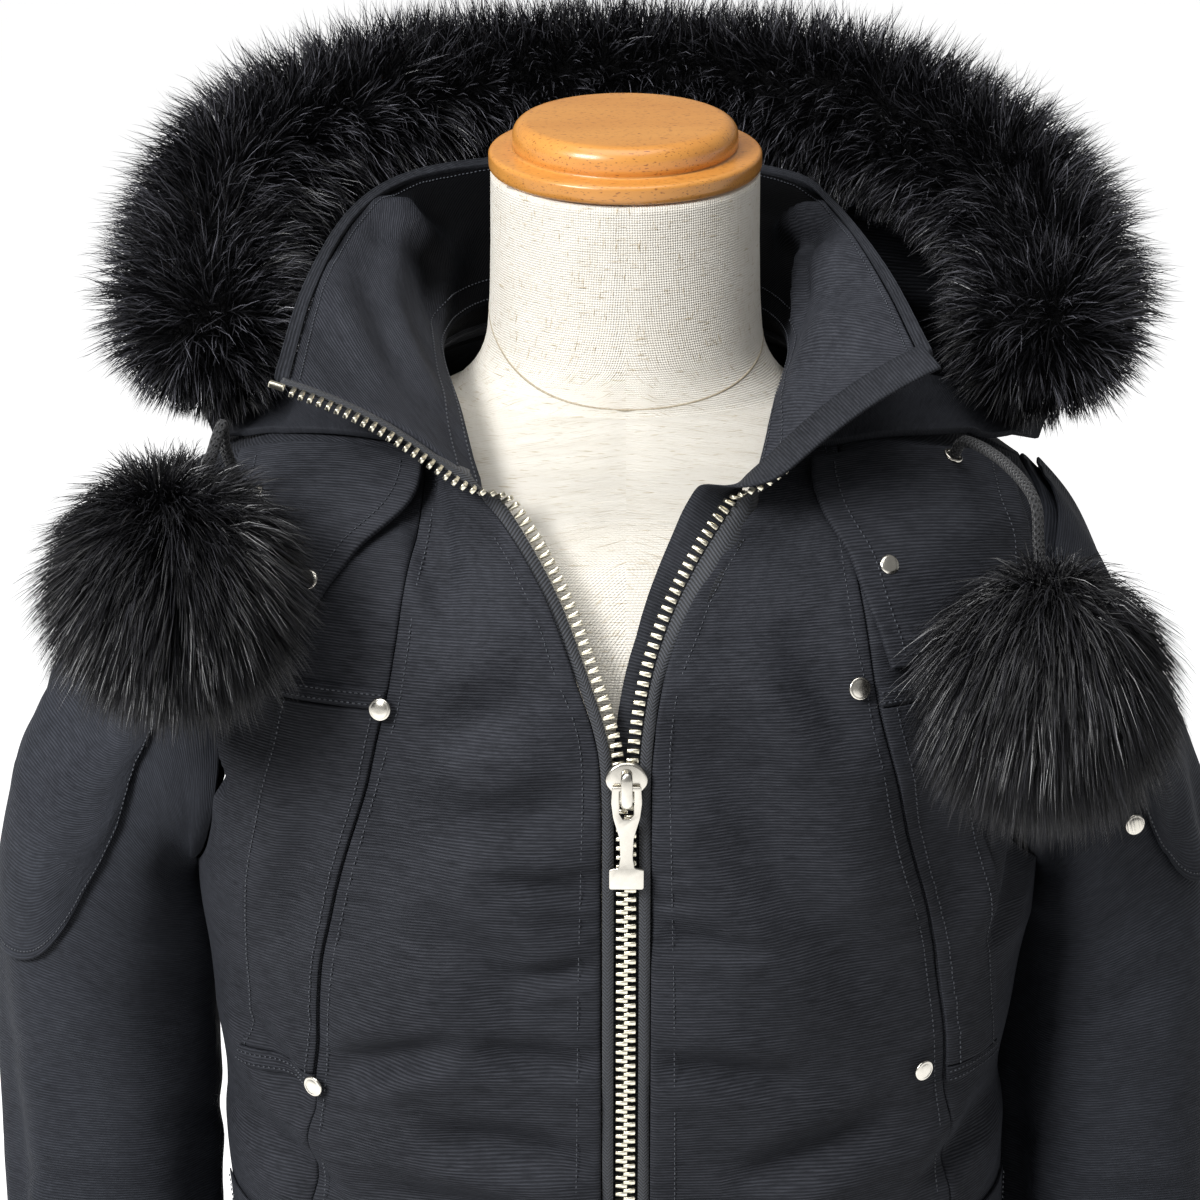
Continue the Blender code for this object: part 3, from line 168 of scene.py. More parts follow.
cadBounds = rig.bounds()
part = bpy.context.scene.collection


# colours are written as sRGB hex and turned to linear here
def linear(hexColour):
    parts = [int(hexColour[i:i + 2], 16) / 255 for i in (1, 3, 5)]
    return tuple(c / 12.92 if c <= 0.04045 else ((c + 0.055) / 1.055) ** 2.4 for c in parts) + (1.0,)


# one node with its inputs and settings; an input is a plain value, a socket, or a node whose first output is meant
def addNode(tree, kind, inputs=None, **settings):
    node = tree.nodes.new(kind)
    for key, value in settings.items():
        setattr(node, key, value)
    for key, value in (inputs or {}).items():
        value = value.outputs[0] if isinstance(value, bpy.types.Node) else value
        if isinstance(value, bpy.types.NodeSocket):
            tree.links.new(value, node.inputs[key])
        else:
            node.inputs[key].default_value = value
    return node


# camera, light and floor
view = {"place": (-0.0109, -1.4681, 1.1341), "pitchDown": 17.0, "lens": 101.37, "skyStrength": 0.26, "keyPower": 62.0,
        "topPower": 16.0, "floorGlow": 0.76,}
camera = bpy.data.objects.new("camera", bpy.data.cameras.new("camera"))
camera.location = view["place"]
camera.rotation_euler = (math.radians(90 - view["pitchDown"]), 0, 0)
camera.data.lens = view["lens"]
camera.data.sensor_width = 36.0
part.objects.link(camera)
bpy.context.scene.camera = camera
bpy.context.scene.view_settings.view_transform = "Standard"

world = bpy.data.worlds.new("pale studio")
world.use_nodes = True
world.node_tree.nodes["Background"].inputs["Color"].default_value = linear("#fbfbfb")
world.node_tree.nodes["Background"].inputs["Strength"].default_value = view["skyStrength"]
bpy.context.scene.world = world


def softLight(name, place, aim, size, power):
    light = bpy.data.lights.new(name, "AREA")
    light.shape = "RECTANGLE"
    light.size, light.size_y = size
    light.energy = power
    lamp = bpy.data.objects.new(name, light)
    lamp.location = place
    lamp.rotation_euler = (Vector(aim) - Vector(place)).to_track_quat("-Z", "Y").to_euler()
    part.objects.link(lamp)


softLight("key softbox", (-1.35, -1.55, 1.95), (0, 0, 0.65), (0.9, 0.8), view["keyPower"])
softLight("top softbox", (-0.1, -0.5, 2.4), (0, 0, 0.7), (1.4, 1.2), view["topPower"])

floorMesh = bpy.data.meshes.new("paleFloor")
reachOut = 30.0
floorMesh.from_pydata([(-reachOut, -reachOut, 0), (reachOut, -reachOut, 0), (reachOut, reachOut, 0),
                       (-reachOut, reachOut, 0)], [], [(0, 1, 2, 3)])
floor = bpy.data.objects.new("paleFloor", floorMesh)
part.objects.link(floor)
floorPaint = bpy.data.materials.new("white studio paint")
floorPaint.use_nodes = True
floorPaint.node_tree.nodes["Principled BSDF"].inputs["Base Color"].default_value = linear("#f6f6f6")
floorPaint.node_tree.nodes["Principled BSDF"].inputs["Roughness"].default_value = 0.7
# the studio floor is lit from below, so that it reads as an even white ground
floorPaint.node_tree.nodes["Principled BSDF"].inputs["Emission Color"].default_value = linear("#ffffff")
floorPaint.node_tree.nodes["Principled BSDF"].inputs["Emission Strength"].default_value = view["floorGlow"]
floorMesh.materials.append(floorPaint)
# the jacket is lit by the softboxes and the sky alone
floor.visible_diffuse = False
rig.stage(floor)


# finishes
def newFinish(name, colour, roughness, metallic=0.0, **sockets):
    finish = bpy.data.materials.new(name)
    finish.use_nodes = True
    tree = finish.node_tree
    shader = tree.nodes["Principled BSDF"]
    shader.inputs["Base Color"].default_value = linear(colour)
    shader.inputs["Roughness"].default_value = roughness
    shader.inputs["Metallic"].default_value = metallic
    for socket, value in sockets.items():
        shader.inputs[socket.replace("_", " ")].default_value = value
    return finish, tree, shader


# a colour that runs between two hex colours with the factor, and into the shader
def blendColours(tree, shader, factor, low, high):
    mix = addNode(tree, "ShaderNodeMix", {0: factor, 6: linear(low), 7: linear(high)}, data_type="RGBA")
    tree.links.new(mix.outputs[2], shader.inputs["Base Color"])


# a height from 0 to 1 raises the surface by this many metres
def reliefFrom(tree, shader, height, depth, strength):
    bump = addNode(tree, "ShaderNodeBump", {"Strength": strength, "Distance": depth, "Height": height})
    tree.links.new(bump.outputs[0], shader.inputs["Normal"])


# even ridges across one axis of a coordinate, period in metres; gives 0 to 1
def ridges(tree, coordinate, axis, period, wobble=None, wobbleSize=0.0):
    split = addNode(tree, "ShaderNodeSeparateXYZ", {0: coordinate})
    turn = addNode(tree, "ShaderNodeMath", {0: split.outputs[axis], 1: 2 * math.pi / period}, operation="MULTIPLY")
    if wobble is not None:
        turn = addNode(tree, "ShaderNodeMath", {0: wobble, 1: wobbleSize, 2: turn}, operation="MULTIPLY_ADD")
    wave = addNode(tree, "ShaderNodeMath", {0: turn}, operation="SINE")
    return addNode(tree, "ShaderNodeMath", {0: wave, 1: 0.5, 2: 0.5}, operation="MULTIPLY_ADD").outputs[0]


def noiseOn(tree, coordinate, scale, stretch=(1, 1, 1), detail=2.0, roughness=0.5):
    mapping = addNode(tree, "ShaderNodeMapping", {"Scale": stretch, "Vector": coordinate})
    noise = addNode(tree, "ShaderNodeTexNoise", {"Scale": scale, "Detail": detail, "Roughness": roughness,
                                                 "Vector": mapping})
    return noise.outputs["Fac"]


# woven cotton-nylon shell with a fine crosswise rib: a dry charcoal black with a soft bloom on the folds
shell = {"dark": "#0e0f12", "light": "#4b4d54", "ribPeriod": 0.00132, "ribDepth": 0.00034}


def ribbedShell(name, dark, light, along=1, turn=0.0):
    finish, tree, shader = newFinish(name, dark, 0.7, Sheen_Weight=0.05, Sheen_Roughness=0.4)
    shader.inputs["Sheen Tint"].default_value = linear("#8f97a6")
    shader.inputs["Specular IOR Level"].default_value = 0.07
    turned = addNode(tree, "ShaderNodeMapping", {
        "Rotation": (0.0, 0.0, turn), "Vector": addNode(tree, "ShaderNodeUVMap", uv_map="cloth")})
    uv = turned.outputs[0]
    # every rib thickens and thins along its length, and some fade out
    slub = noiseOn(tree, uv, 1100.0, (0.12, 1.0, 1.0) if along == 1 else (1.0, 0.12, 1.0), 3.0, 0.7)
    broken = noiseOn(tree, uv, 330.0, (0.35, 1.0, 1.0) if along == 1 else (1.0, 0.35, 1.0), 3.0, 0.65)
    ribs = ridges(tree, uv, along, shell["ribPeriod"], slub, 4.2)
    cloudy = noiseOn(tree, uv, 22.0, (1, 1, 1), 5.0, 0.65)
    worn = addNode(tree, "ShaderNodeMapRange", {"From Min": 0.2, "From Max": 0.58, "Value": broken})
    fading = addNode(tree, "ShaderNodeMath", {0: ribs, 1: worn}, operation="MULTIPLY")
    weight = addNode(tree, "ShaderNodeMath", {0: slub, 1: 0.7, 2: fading}, operation="MULTIPLY_ADD")
    tone = addNode(tree, "ShaderNodeMath", {0: weight, 1: 0.5}, operation="MULTIPLY")
    mixed = addNode(tree, "ShaderNodeMath", {0: cloudy, 1: 0.5, 2: tone}, operation="MULTIPLY_ADD")
    faded = addNode(tree, "ShaderNodeMath", {0: mixed, 1: 0.22}, operation="SUBTRACT", use_clamp=True)
    blendColours(tree, shader, faded.outputs[0], dark, light)
    reliefFrom(tree, shader, weight.outputs[0], shell["ribDepth"], 0.8)
    return finish


shellCloth = ribbedShell("ribbed cotton-nylon shell cloth", shell["dark"], shell["light"])
# the sleeves take the shell cloth painted lighter at its dark end: painted light on the sleeves; their ribs are the
# same as the shell's
paintedLightSleeveCloth = ribbedShell("sleeve shell, ribs worn flatter", "#18191d", "#4a4d55")
liningCloth = ribbedShell("inner collar twill", "#131418", "#4a4c53", 0, 0.85)
# behind the fold of its front ends the collar's inner face is painted near black: painted shade where the fold and the
# neck keep the light off
tree = liningCloth.node_tree
shader = next(node for node in tree.nodes if node.type == "BSDF_PRINCIPLED")
place = addNode(tree, "ShaderNodeSeparateXYZ", {0: addNode(tree, "ShaderNodeTexCoord").outputs["Object"]})
rising = addNode(tree, "ShaderNodeMath", {0: place.outputs[2], 1: -1.5, 2: 1.5 * 0.812}, operation="MULTIPLY_ADD")
behind = addNode(tree, "ShaderNodeMath", {0: place.outputs[1], 1: rising}, operation="ADD")
paintedShadeMask = addNode(tree, "ShaderNodeMapRange", {"From Min": -0.034, "From Max": -0.016, "Value": behind},
                interpolation_type="SMOOTHSTEP")
seen = shader.inputs["Base Color"].links[0].from_socket
# painted shade: near black mixed into the cloth's colour where the mask is one
darker = addNode(tree, "ShaderNodeMix", {0: paintedShadeMask, 6: seen, 7: linear("#020203")}, data_type="RGBA")
tree.links.new(darker.outputs[2], shader.inputs["Base Color"])
edgeCloth = ribbedShell("bias binding cloth", "#131417", "#43454b")

# rib knit cuffs and hem: soft matt wool-nylon loops
ribKnit, tree, shader = newFinish("wool-nylon rib knit", "#121214", 0.85, Sheen_Weight=0.2)
knitUv = addNode(tree, "ShaderNodeUVMap", uv_map="cloth").outputs[0]
loops = ridges(tree, knitUv, 1, 0.0022)
fuzz = noiseOn(tree, knitUv, 700.0, (1, 1, 1), 3.0)
both = addNode(tree, "ShaderNodeMath", {0: fuzz, 1: 0.5, 2: loops}, operation="MULTIPLY_ADD")
blendColours(tree, shader, both.outputs[0], "#0e0e10", "#232427")
reliefFrom(tree, shader, both.outputs[0], 0.0004, 0.8)

# fox fur dyed black: glossy guard hairs, lighter and greyer towards the tips of some; the grey tips are partly the
# hair's own tone and partly a painted highlight for the glints of its sheen
fur = {"root": "#040405", "hair": "#08080a", "pale": "#6a6a72"}
furHair, tree, shader = newFinish("black fox guard hair", fur["hair"], 0.32)
shader.inputs["Specular IOR Level"].default_value = 0.45
toneOfHair = addNode(tree, "ShaderNodeAttribute", attribute_name="tone")
alongHair = addNode(tree, "ShaderNodeAttribute", attribute_name="along")
rareTone = addNode(tree, "ShaderNodeMath", {0: toneOfHair.outputs["Fac"], 1: 4.0}, operation="POWER")
paleTipAndGlint = addNode(tree, "ShaderNodeMath", {0: rareTone, 1: alongHair.outputs["Fac"]}, operation="MULTIPLY")
blendColours(tree, shader, paleTipAndGlint.outputs[0], fur["hair"], fur["pale"])
furUnder, tree, shader = newFinish("dense black underwool", fur["root"], 0.95)
shader.inputs["Specular IOR Level"].default_value = 0.1
woolly = noiseOn(tree, addNode(tree, "ShaderNodeTexCoord").outputs["Object"], 420.0, (1, 1, 1), 4.0, 0.7)
blendColours(tree, shader, woolly, "#020203", "#0a0a0b")
reliefFrom(tree, shader, woolly, 0.003, 1.0)

# nickel-plated zinc, polished and handled: small soft blotches in the shine
nickel, tree, shader = newFinish("polished nickel plate", "#d0ccc3", 0.24, 1.0)
handled = noiseOn(tree, addNode(tree, "ShaderNodeTexCoord").outputs["Object"], 260.0, (1, 1, 1), 4.0, 0.6)
rub = addNode(tree, "ShaderNodeMapRange", {"To Min": 0.14, "To Max": 0.34, "Value": handled})
tree.links.new(rub.outputs[0], shader.inputs["Roughness"])
blendColours(tree, shader, handled, "#bdb8ae", "#e2ded4")

# zip teeth in pale antique brass, slightly darker between the bars
brassTeeth, tree, shader = newFinish("pale antique brass", "#ddd8c6", 0.3, 1.0)
tarnish = noiseOn(tree, addNode(tree, "ShaderNodeTexCoord").outputs["Object"], 600.0, (1, 1, 1), 3.0, 0.6)
blendColours(tree, shader, tarnish, "#c2b99c", "#f4f0e2")

# polyester zip tape, woven in a herringbone; its bars are drawn 1.6 mm apart,
# where the real 1.1 mm are too fine to show
zipTape, tree, shader = newFinish("herringbone zip tape", "#17181a", 0.7, Sheen_Weight=0.1)
tapeUv = addNode(tree, "ShaderNodeUVMap", uv_map="cloth").outputs[0]
tapeParts = addNode(tree, "ShaderNodeSeparateXYZ", {0: tapeUv})
fold = addNode(tree, "ShaderNodeMath", {0: tapeParts, 1: 0.0026}, operation="PINGPONG")
slant = addNode(tree, "ShaderNodeMath", {0: fold, 1: tapeParts.outputs[1]}, operation="ADD")
turned = addNode(tree, "ShaderNodeMath", {0: slant, 1: 2 * math.pi / 0.0016}, operation="MULTIPLY")
bars = addNode(tree, "ShaderNodeMath", {0: turned}, operation="SINE")
barTone = addNode(tree, "ShaderNodeMath", {0: bars, 1: 0.5, 2: 0.5}, operation="MULTIPLY_ADD")
blendColours(tree, shader, barTone.outputs[0], "#08090a", "#42454c")
reliefFrom(tree, shader, barTone.outputs[0], 0.0002, 0.8)

# braided cotton drawstring: two sets of strands crossing every 3 mm
braid, tree, shader = newFinish("braided cotton drawstring", "#141416", 0.75, Sheen_Weight=0.15)
braidUv = addNode(tree, "ShaderNodeUVMap", uv_map="cloth").outputs[0]
braidParts = addNode(tree, "ShaderNodeSeparateXYZ", {0: braidUv})
crossing = []
for sign in (1, -1):
    lean = addNode(tree, "ShaderNodeMath", {0: braidParts, 1: sign * 1.1, 2: braidParts.outputs[1]},
                   operation="MULTIPLY_ADD")
    beat = addNode(tree, "ShaderNodeMath", {0: lean, 1: 2 * math.pi / 0.003}, operation="MULTIPLY")
    crossing.append(addNode(tree, "ShaderNodeMath", {0: beat}, operation="SINE").outputs[0])
top = addNode(tree, "ShaderNodeMath", {0: crossing[0], 1: crossing[1]}, operation="MAXIMUM")
blendColours(tree, shader, top.outputs[0], "#060607", "#2b2c2f")
reliefFrom(tree, shader, top.outputs[0], 0.0006, 1.0)

# spun polyester thread, a shade lighter than the cloth: partly its own tone and partly a painted highlight for the
# shiny thread catching the light where it stands proud
thread, tree, shader = newFinish("spun black thread", "#2c2e33", 0.42)
ply = noiseOn(tree, addNode(tree, "ShaderNodeTexCoord").outputs["Object"], 1500.0)
blendColours(tree, shader, ply, "#212328", "#5d616a")

# slubbed linen over the padded form: warm off-white with beige flecks in warp and weft
linen, tree, shader = newFinish("slubbed natural linen", "#e6dfd2", 0.9, Sheen_Weight=0.1)
linenUv = addNode(tree, "ShaderNodeUVMap", uv_map="cloth").outputs[0]
weft = ridges(tree, linenUv, 1, 0.0011, noiseOn(tree, linenUv, 300.0), 3.0)
warp = ridges(tree, linenUv, 0, 0.0011, noiseOn(tree, linenUv, 310.0), 3.0)
weave = addNode(tree, "ShaderNodeMath", {0: weft, 1: warp}, operation="ADD")
weftSlub = noiseOn(tree, linenUv, 800.0, (0.16, 1.0, 1.0), 2.0, 0.6)
warpSlub = noiseOn(tree, linenUv, 800.0, (1.0, 0.16, 1.0), 2.0, 0.6)
slubs = []
for streak in (weftSlub, warpSlub):
    slubs.append(addNode(tree, "ShaderNodeMapRange", {"From Min": 0.6, "From Max": 0.8, "Value": streak}).outputs[0])
anySlub = addNode(tree, "ShaderNodeMath", {0: slubs[0], 1: slubs[1]}, operation="MAXIMUM")
patchy = noiseOn(tree, linenUv, 45.0, (1, 1, 1), 5.0, 0.65)
ground = addNode(tree, "ShaderNodeMix", {0: patchy, 6: linear("#dcd5c7"), 7: linear("#f7f3ea")}, data_type="RGBA")
flecked = addNode(tree, "ShaderNodeMix", {0: anySlub, 6: ground.outputs[2], 7: linear("#b7a37c")}, data_type="RGBA")
tree.links.new(flecked.outputs[2], shader.inputs["Base Color"])
woven = addNode(tree, "ShaderNodeMath", {0: anySlub, 1: 1.5, 2: weave}, operation="MULTIPLY_ADD")
reliefFrom(tree, shader, woven.outputs[0], 0.00022, 0.8)

# waxed linen thread of the form's neck seam
seamThread, tree, shader = newFinish("waxed linen thread", "#a79a84", 0.7)
waxed = noiseOn(tree, addNode(tree, "ShaderNodeTexCoord").outputs["Object"], 900.0)
blendColours(tree, shader, waxed, "#857963", "#c9bda6")

# steamed beech, lacquered: honey brown with short dark flecks and a soft clear gloss
beech, tree, shader = newFinish("lacquered beech", "#d99a52", 0.34, Coat_Weight=0.35, Coat_Roughness=0.15)
grainAt = addNode(tree, "ShaderNodeTexCoord").outputs["Object"]
years = noiseOn(tree, grainAt, 60.0, (0.16, 1.0, 1.6), 4.0, 0.55)
flecks = noiseOn(tree, grainAt, 1500.0, (0.3, 1.0, 1.0), 1.0, 0.4)
fleckMask = addNode(tree, "ShaderNodeMapRange", {"From Min": 0.62, "From Max": 0.74, "Value": flecks})
grain = addNode(tree, "ShaderNodeMix", {0: years, 6: linear("#bd772f"), 7: linear("#e6a552")}, data_type="RGBA")
wood = addNode(tree, "ShaderNodeMix", {0: fleckMask, 6: grain.outputs[2], 7: linear("#8f5424")}, data_type="RGBA")
tree.links.new(wood.outputs[2], shader.inputs["Base Color"])
reliefFrom(tree, shader, years, 0.00015, 0.5)

# powder-coated steel stand: fine orange peel
steel, tree, shader = newFinish("grey powder-coated steel", "#5c5d60", 0.45, 0.0)
peel = noiseOn(tree, addNode(tree, "ShaderNodeTexCoord").outputs["Object"], 700.0, (1, 1, 1), 2.0)
blendColours(tree, shader, peel, "#55565a", "#66676b")
reliefFrom(tree, shader, peel, 0.0002, 0.4)
print("finishes ready")


# the jacket's own surface
middleX = -0.004        # the jacket hangs this far off the form's middle
clothWall, ribWall, layerWall, flapWall = 0.004, 0.003, 0.0013, 0.0034
seamGap = 0.0005
panelLow = 0.2136       # where fronts and back end at the hem band

# rows of lengths in millimetres become metres; the last columns may be plain numbers
def mm(rows, plain=0):
    rows = np.array(rows, float)
    rows[..., :rows.shape[-1] - plain] /= 1000
    return rows


# z, half width, front y, back y, y of the widest point, squareness
bodyRows = mm((
    (160, 150, -128, 96, -14, 2.25), (213, 158, -136, 102, -16, 2.25),
    (240, 176, -148, 112, -18, 2.3), (300, 183, -154, 112, -20, 2.35),
    (400, 180, -157, 102, -22, 2.4), (480, 178, -161, 98, -24, 2.4),
    (560, 186, -166, 106, -24, 2.4), (620, 189, -167, 114, -22, 2.4),
    (680, 192, -163, 120, -16, 2.4), (720, 195, -152, 116, -8, 2.35),
    (742, 192, -140, 108, -2, 2.3), (755, 180, -132, 102, 0, 2.2),
    (766, 160, -126, 97, -4, 2.1), (780, 128, -110, 90, -14, 2.0),
    (795, 98, -92, 82, -26, 2.0), (808, 79, -78, 70, -32, 2.0),
), 1)
# z, x of the left panel's edge, x of the right panel's edge
openingRows = mm((
    (160, -10.5, 10.5), (640, -10.5, 10.5), (665, -11.2, 10.5),
    (675, -13, 11.5), (698, -20.5, 15), (727, -31.5, 25.5),
    (745, -42, 36.5), (757, -51, 46), (766.5, -60, 55),
))
# z, distance from the jacket's middle
necklineRows = mm(((766.5, 57.5), (775, 63.5), (785, 69.5), (795, 73.5), (803, 76.5)))
# z, x of the seam between a front's middle and side
princessRows = mm((
    (213, 112), (300, 130), (400, 137), (465, 139), (508, 134.5),
    (530, 134), (563, 131), (590, 125.5), (625, 116.5), (660, 106.5),
    (687, 100), (716, 95), (757, 88), (790, 84), (803, 80.5),
))
# z, x of the chest pocket's outer seam
pocketRows = mm(((500, 168), (520, 166), (555, 164), (600, 160), (630, 154.5), (670, 146), (692, 139.5)))
princessRight, pocketRight = 0.0036, -0.0048
armhole = {"middle": 0.666, "halfHeight": 0.088, "front": 30.0, "back": 28.0}
pocketLow, pocketTop, barLow, barTop = 0.5115, 0.6835, 0.503, 0.692
handPocket = (0.285, 0.432)


def unit(vectors):
    return vectors / np.maximum(np.linalg.norm(vectors, axis=-1, keepdims=True), 1e-12)


# angles once round
def turnsOf(count):
    return np.arange(count) * 2 * math.pi / count


# length run from the first point, or from the first row of a grid
def runOf(points):
    steps = np.linalg.norm(np.diff(points, axis=0), axis=-1)
    return np.concatenate(([0], np.cumsum(steps if steps.ndim == 1 else steps.mean(axis=1))))


# a soft line pressed at one distance, 1 in its middle
def groove(distance, at, width):
    return np.exp(-(((distance - at) / width) ** 2))


# evens out rows in place, from first up to last
def ease(rows, rounds, first=1, last=-1, after=None):
    for _ in range(rounds):
        rows[first:last] = (rows[first - 1:last - 1] + 2 * rows[first:last] + rows[first + 1:last + 1 or None]) / 4
        if after:
            rows[first:last] = after(rows[first:last])


# where a line of distances comes nearest to one of them
def columnAt(distances, at):
    return int(np.argmin(np.abs(distances - at)))


# a front or back half of a ring is as deep as this
def depthAt(behind, front, back, side):
    return np.where(behind, back - side, side - front)


# inside the jacket's ring at these rows
def insideRing(rows, x, y):
    half, front, back, side, square = np.moveaxis(rows, -1, 0)
    return (np.abs((x - middleX) / half) ** square
            + np.abs((y - side) / depthAt(y > side, front, back, side)) ** square) < 1


# rows of a table at these values of its first column, on smooth curves without overshoot
def smoothAt(table, values):
    keys = table[:, 0]
    values = np.clip(np.asarray(values, float), keys[0], keys[-1])
    index = np.clip(np.searchsorted(keys, values) - 1, 0, len(keys) - 2)
    steps = np.diff(keys)[:, None]
    slopes = np.diff(table[:, 1:], axis=0) / steps
    total, product = slopes[:-1] + slopes[1:], slopes[:-1] * slopes[1:]
    inner = np.where(product > 0, 2 * product / np.where(total == 0, 1, total), 0)
    ends = np.vstack((slopes[:1], inner, slopes[-1:]))
    step = steps[index]
    t = (values - keys[index])[..., None] / step
    low, high = table[index, 1:], table[index + 1, 1:]
    return ((2 * t**3 - 3 * t**2 + 1) * low + (t**3 - 2 * t**2 + t) * step * ends[index]
            + (3 * t**2 - 2 * t**3) * high + (t**3 - t**2) * step * ends[index + 1])


# points of a smooth curve through evenly keyed control points, t from 0 to 1
def splineAt(points, t):
    points = np.asarray(points, float)
    spans = len(points) - 1
    padded = np.concatenate(([2 * points[0] - points[1]], points, [2 * points[-1] - points[-2]]))
    place = np.clip(np.asarray(t, float), 0.0, 1.0) * spans
    index = np.minimum(place.astype(int), spans - 1)
    f = (place - index).reshape(place.shape + (1,) * (points.ndim - 1))
    p0, p1, p2, p3 = (padded[index + k] for k in range(4))
    return 0.5 * (2 * p1 + (p2 - p0) * f + (2 * p0 - 5 * p1 + 4 * p2 - p3) * f * f
                  + (3 * p1 - p0 - 3 * p2 + p3) * f**3)


def ringPoint(rows, z, angle):
    half, front, back, side, square = np.moveaxis(rows, -1, 0)
    c, s = np.cos(angle), np.sin(angle)
    power = 2 / square
    deep = depthAt(s > 0, front, back, side)
    x = np.sign(c) * np.abs(c) ** power * half
    y = side + np.sign(s) * np.abs(s) ** power * deep
    return np.stack((x, y, z + 0 * x), -1)


# outer point of the jacket: angle 0 is the right side, a quarter turn back from it the front
def bodyPoint(z, angle):
    z, angle = np.broadcast_arrays(np.asarray(z, float), np.asarray(angle, float))
    found = ringPoint(smoothAt(bodyRows, z), z, angle)
    found[..., 0] += middleX
    return found


def angleAtX(z, x):
    rows = smoothAt(bodyRows, z)
    half, square = rows[..., 0], rows[..., 4]
    ratio = np.clip((x - middleX) / half, -1.0, 1.0)
    return -np.arccos(np.sign(ratio) * np.abs(ratio) ** (square / 2))


def bodyNormal(z, angle):
    step = 1e-3
    around = bodyPoint(z, angle + step) - bodyPoint(z, angle - step)
    up = bodyPoint(z + step, angle) - bodyPoint(z - step, angle)
    return unit(np.cross(around, up))


def shoulderHeight(x, y):
    low = np.full(np.shape(x), 0.66)
    high = np.full(np.shape(x), 0.8079)
    for _ in range(30):
        z = (low + high) / 2
        inside = insideRing(smoothAt(bodyRows, z), x, y)
        low, high = np.where(inside, z, low), np.where(inside, high, z)
    return (low + high) / 2


def armAngle(z, degrees):
    place = (np.asarray(z, float) - armhole["middle"]) / armhole["halfHeight"]
    return math.radians(degrees) * np.sqrt(np.clip(1 - place * place, 0, None))


def seamAngle(z, at):
    step = 1e-3
    length = np.linalg.norm(bodyPoint(z, at + step) - bodyPoint(z, at - step), axis=-1) / (2 * step)
    return 0.5 * seamGap / np.maximum(length, 0.02)


# angles of the opening, the princess seam and the side edge of one front
def frontEdges(z, side):
    z = np.asarray(z, float)
    sign = -1 if side == "L" else 1
    opening = angleAtX(z, smoothAt(openingRows, z)[..., 0 if side == "L" else 1])
    neck = angleAtX(z, middleX + sign * smoothAt(necklineRows, z)[..., 0])
    start = np.where(z <= openingRows[-1, 0], opening, neck)
    seamX = smoothAt(princessRows, z)[..., 0] + (princessRight if side == "R" else 0.0)
    middle = angleAtX(z, sign * seamX)
    rim = armAngle(z, armhole["front"])
    return start, middle, (-math.pi + rim if side == "L" else -rim)


# creases and unevenness
# soft troughs along short lines, each with a low ridge on either side:
# rows of start a, start b, end a, end b, width, depth, bow
def creases(rows, a, b):
    a, b = np.broadcast_arrays(a, b)
    total = np.zeros(np.shape(a))
    for a0, b0, a1, b1, width, depth, bow in rows:
        da, db = a1 - a0, b1 - b0
        length = math.hypot(da, db)
        along = ((a - a0) * da + (b - b0) * db) / length**2
        off = ((a - a0) * db - (b - b0) * da) / length + bow * 4 * along * (1 - along)
        fade = np.clip(1 - np.abs(2 * along - 1) ** 2.4, 0, None)
        shape = 0.5 * np.exp(-((np.abs(off) / width - 1.7) ** 2)) - np.exp(-((off / width) ** 2))
        total += depth * fade * shape
    return total


# creases whose places are shares of a piece that counts so long and so wide
def sharedCreases(rows, a, b, long, wide, width=1.0, bow=1.0):
    return creases(np.array(rows) * (long, wide, long, wide, width, 1, bow), a * long, b * wide)


# slow unevenness between about -1 and 1, from a few crossing waves
def drift(a, b, size, seed, waves=9):
    a, b = np.broadcast_arrays(a, b)
    random = np.random.default_rng(seed)
    total = np.zeros(np.shape(a))
    for _ in range(waves):
        turn, phase = random.uniform(0, 2 * math.pi, 2)
        long = size * random.uniform(0.7, 1.6)
        total += np.sin((a * math.cos(turn) + b * math.sin(turn)) * 2 * math.pi / long + phase)
    return total / math.sqrt(waves)


# small gathers that run away from a line of stitching
def puckers(distance, along, pitch, reach, seed):
    phase = 2 * math.pi * along / pitch + 1.6 * drift(along, distance * 0.3, pitch * 3.1, seed)
    strength = np.clip(0.55 + 0.6 * drift(along, distance * 0, pitch * 7, seed + 1), 0, 1.3)
    return np.sin(phase) * np.exp(-distance / reach) * strength * (1 - groove(distance, 0, 0.0022))


# places from 0 to 1 along a length, closer together at both ends so that edges can turn over
def spaced(length, step):
    fine = np.array((0.0, 0.0004, 0.001, 0.002)) / length
    middle = np.linspace(fine[-1], 1 - fine[-1], max(3, int(round(length / step))))
    return np.unique(np.concatenate((fine, middle, 1 - fine)).round(7))


# making pieces
def makePiece(name, points, faces, finish, corners=None):
    mesh = bpy.data.meshes.new(name)
    mesh.from_pydata(np.asarray(points, float).tolist(), [], [list(map(int, f)) for f in faces])
    if corners is not None:
        layer = mesh.uv_layers.new(name="cloth")
        layer.data.foreach_set("uv", np.asarray(corners, np.float32).ravel())
    mesh.shade_smooth()
    mesh.materials.append(finish)
    made = bpy.data.objects.new(name, mesh)
    part.objects.link(made)
    return made


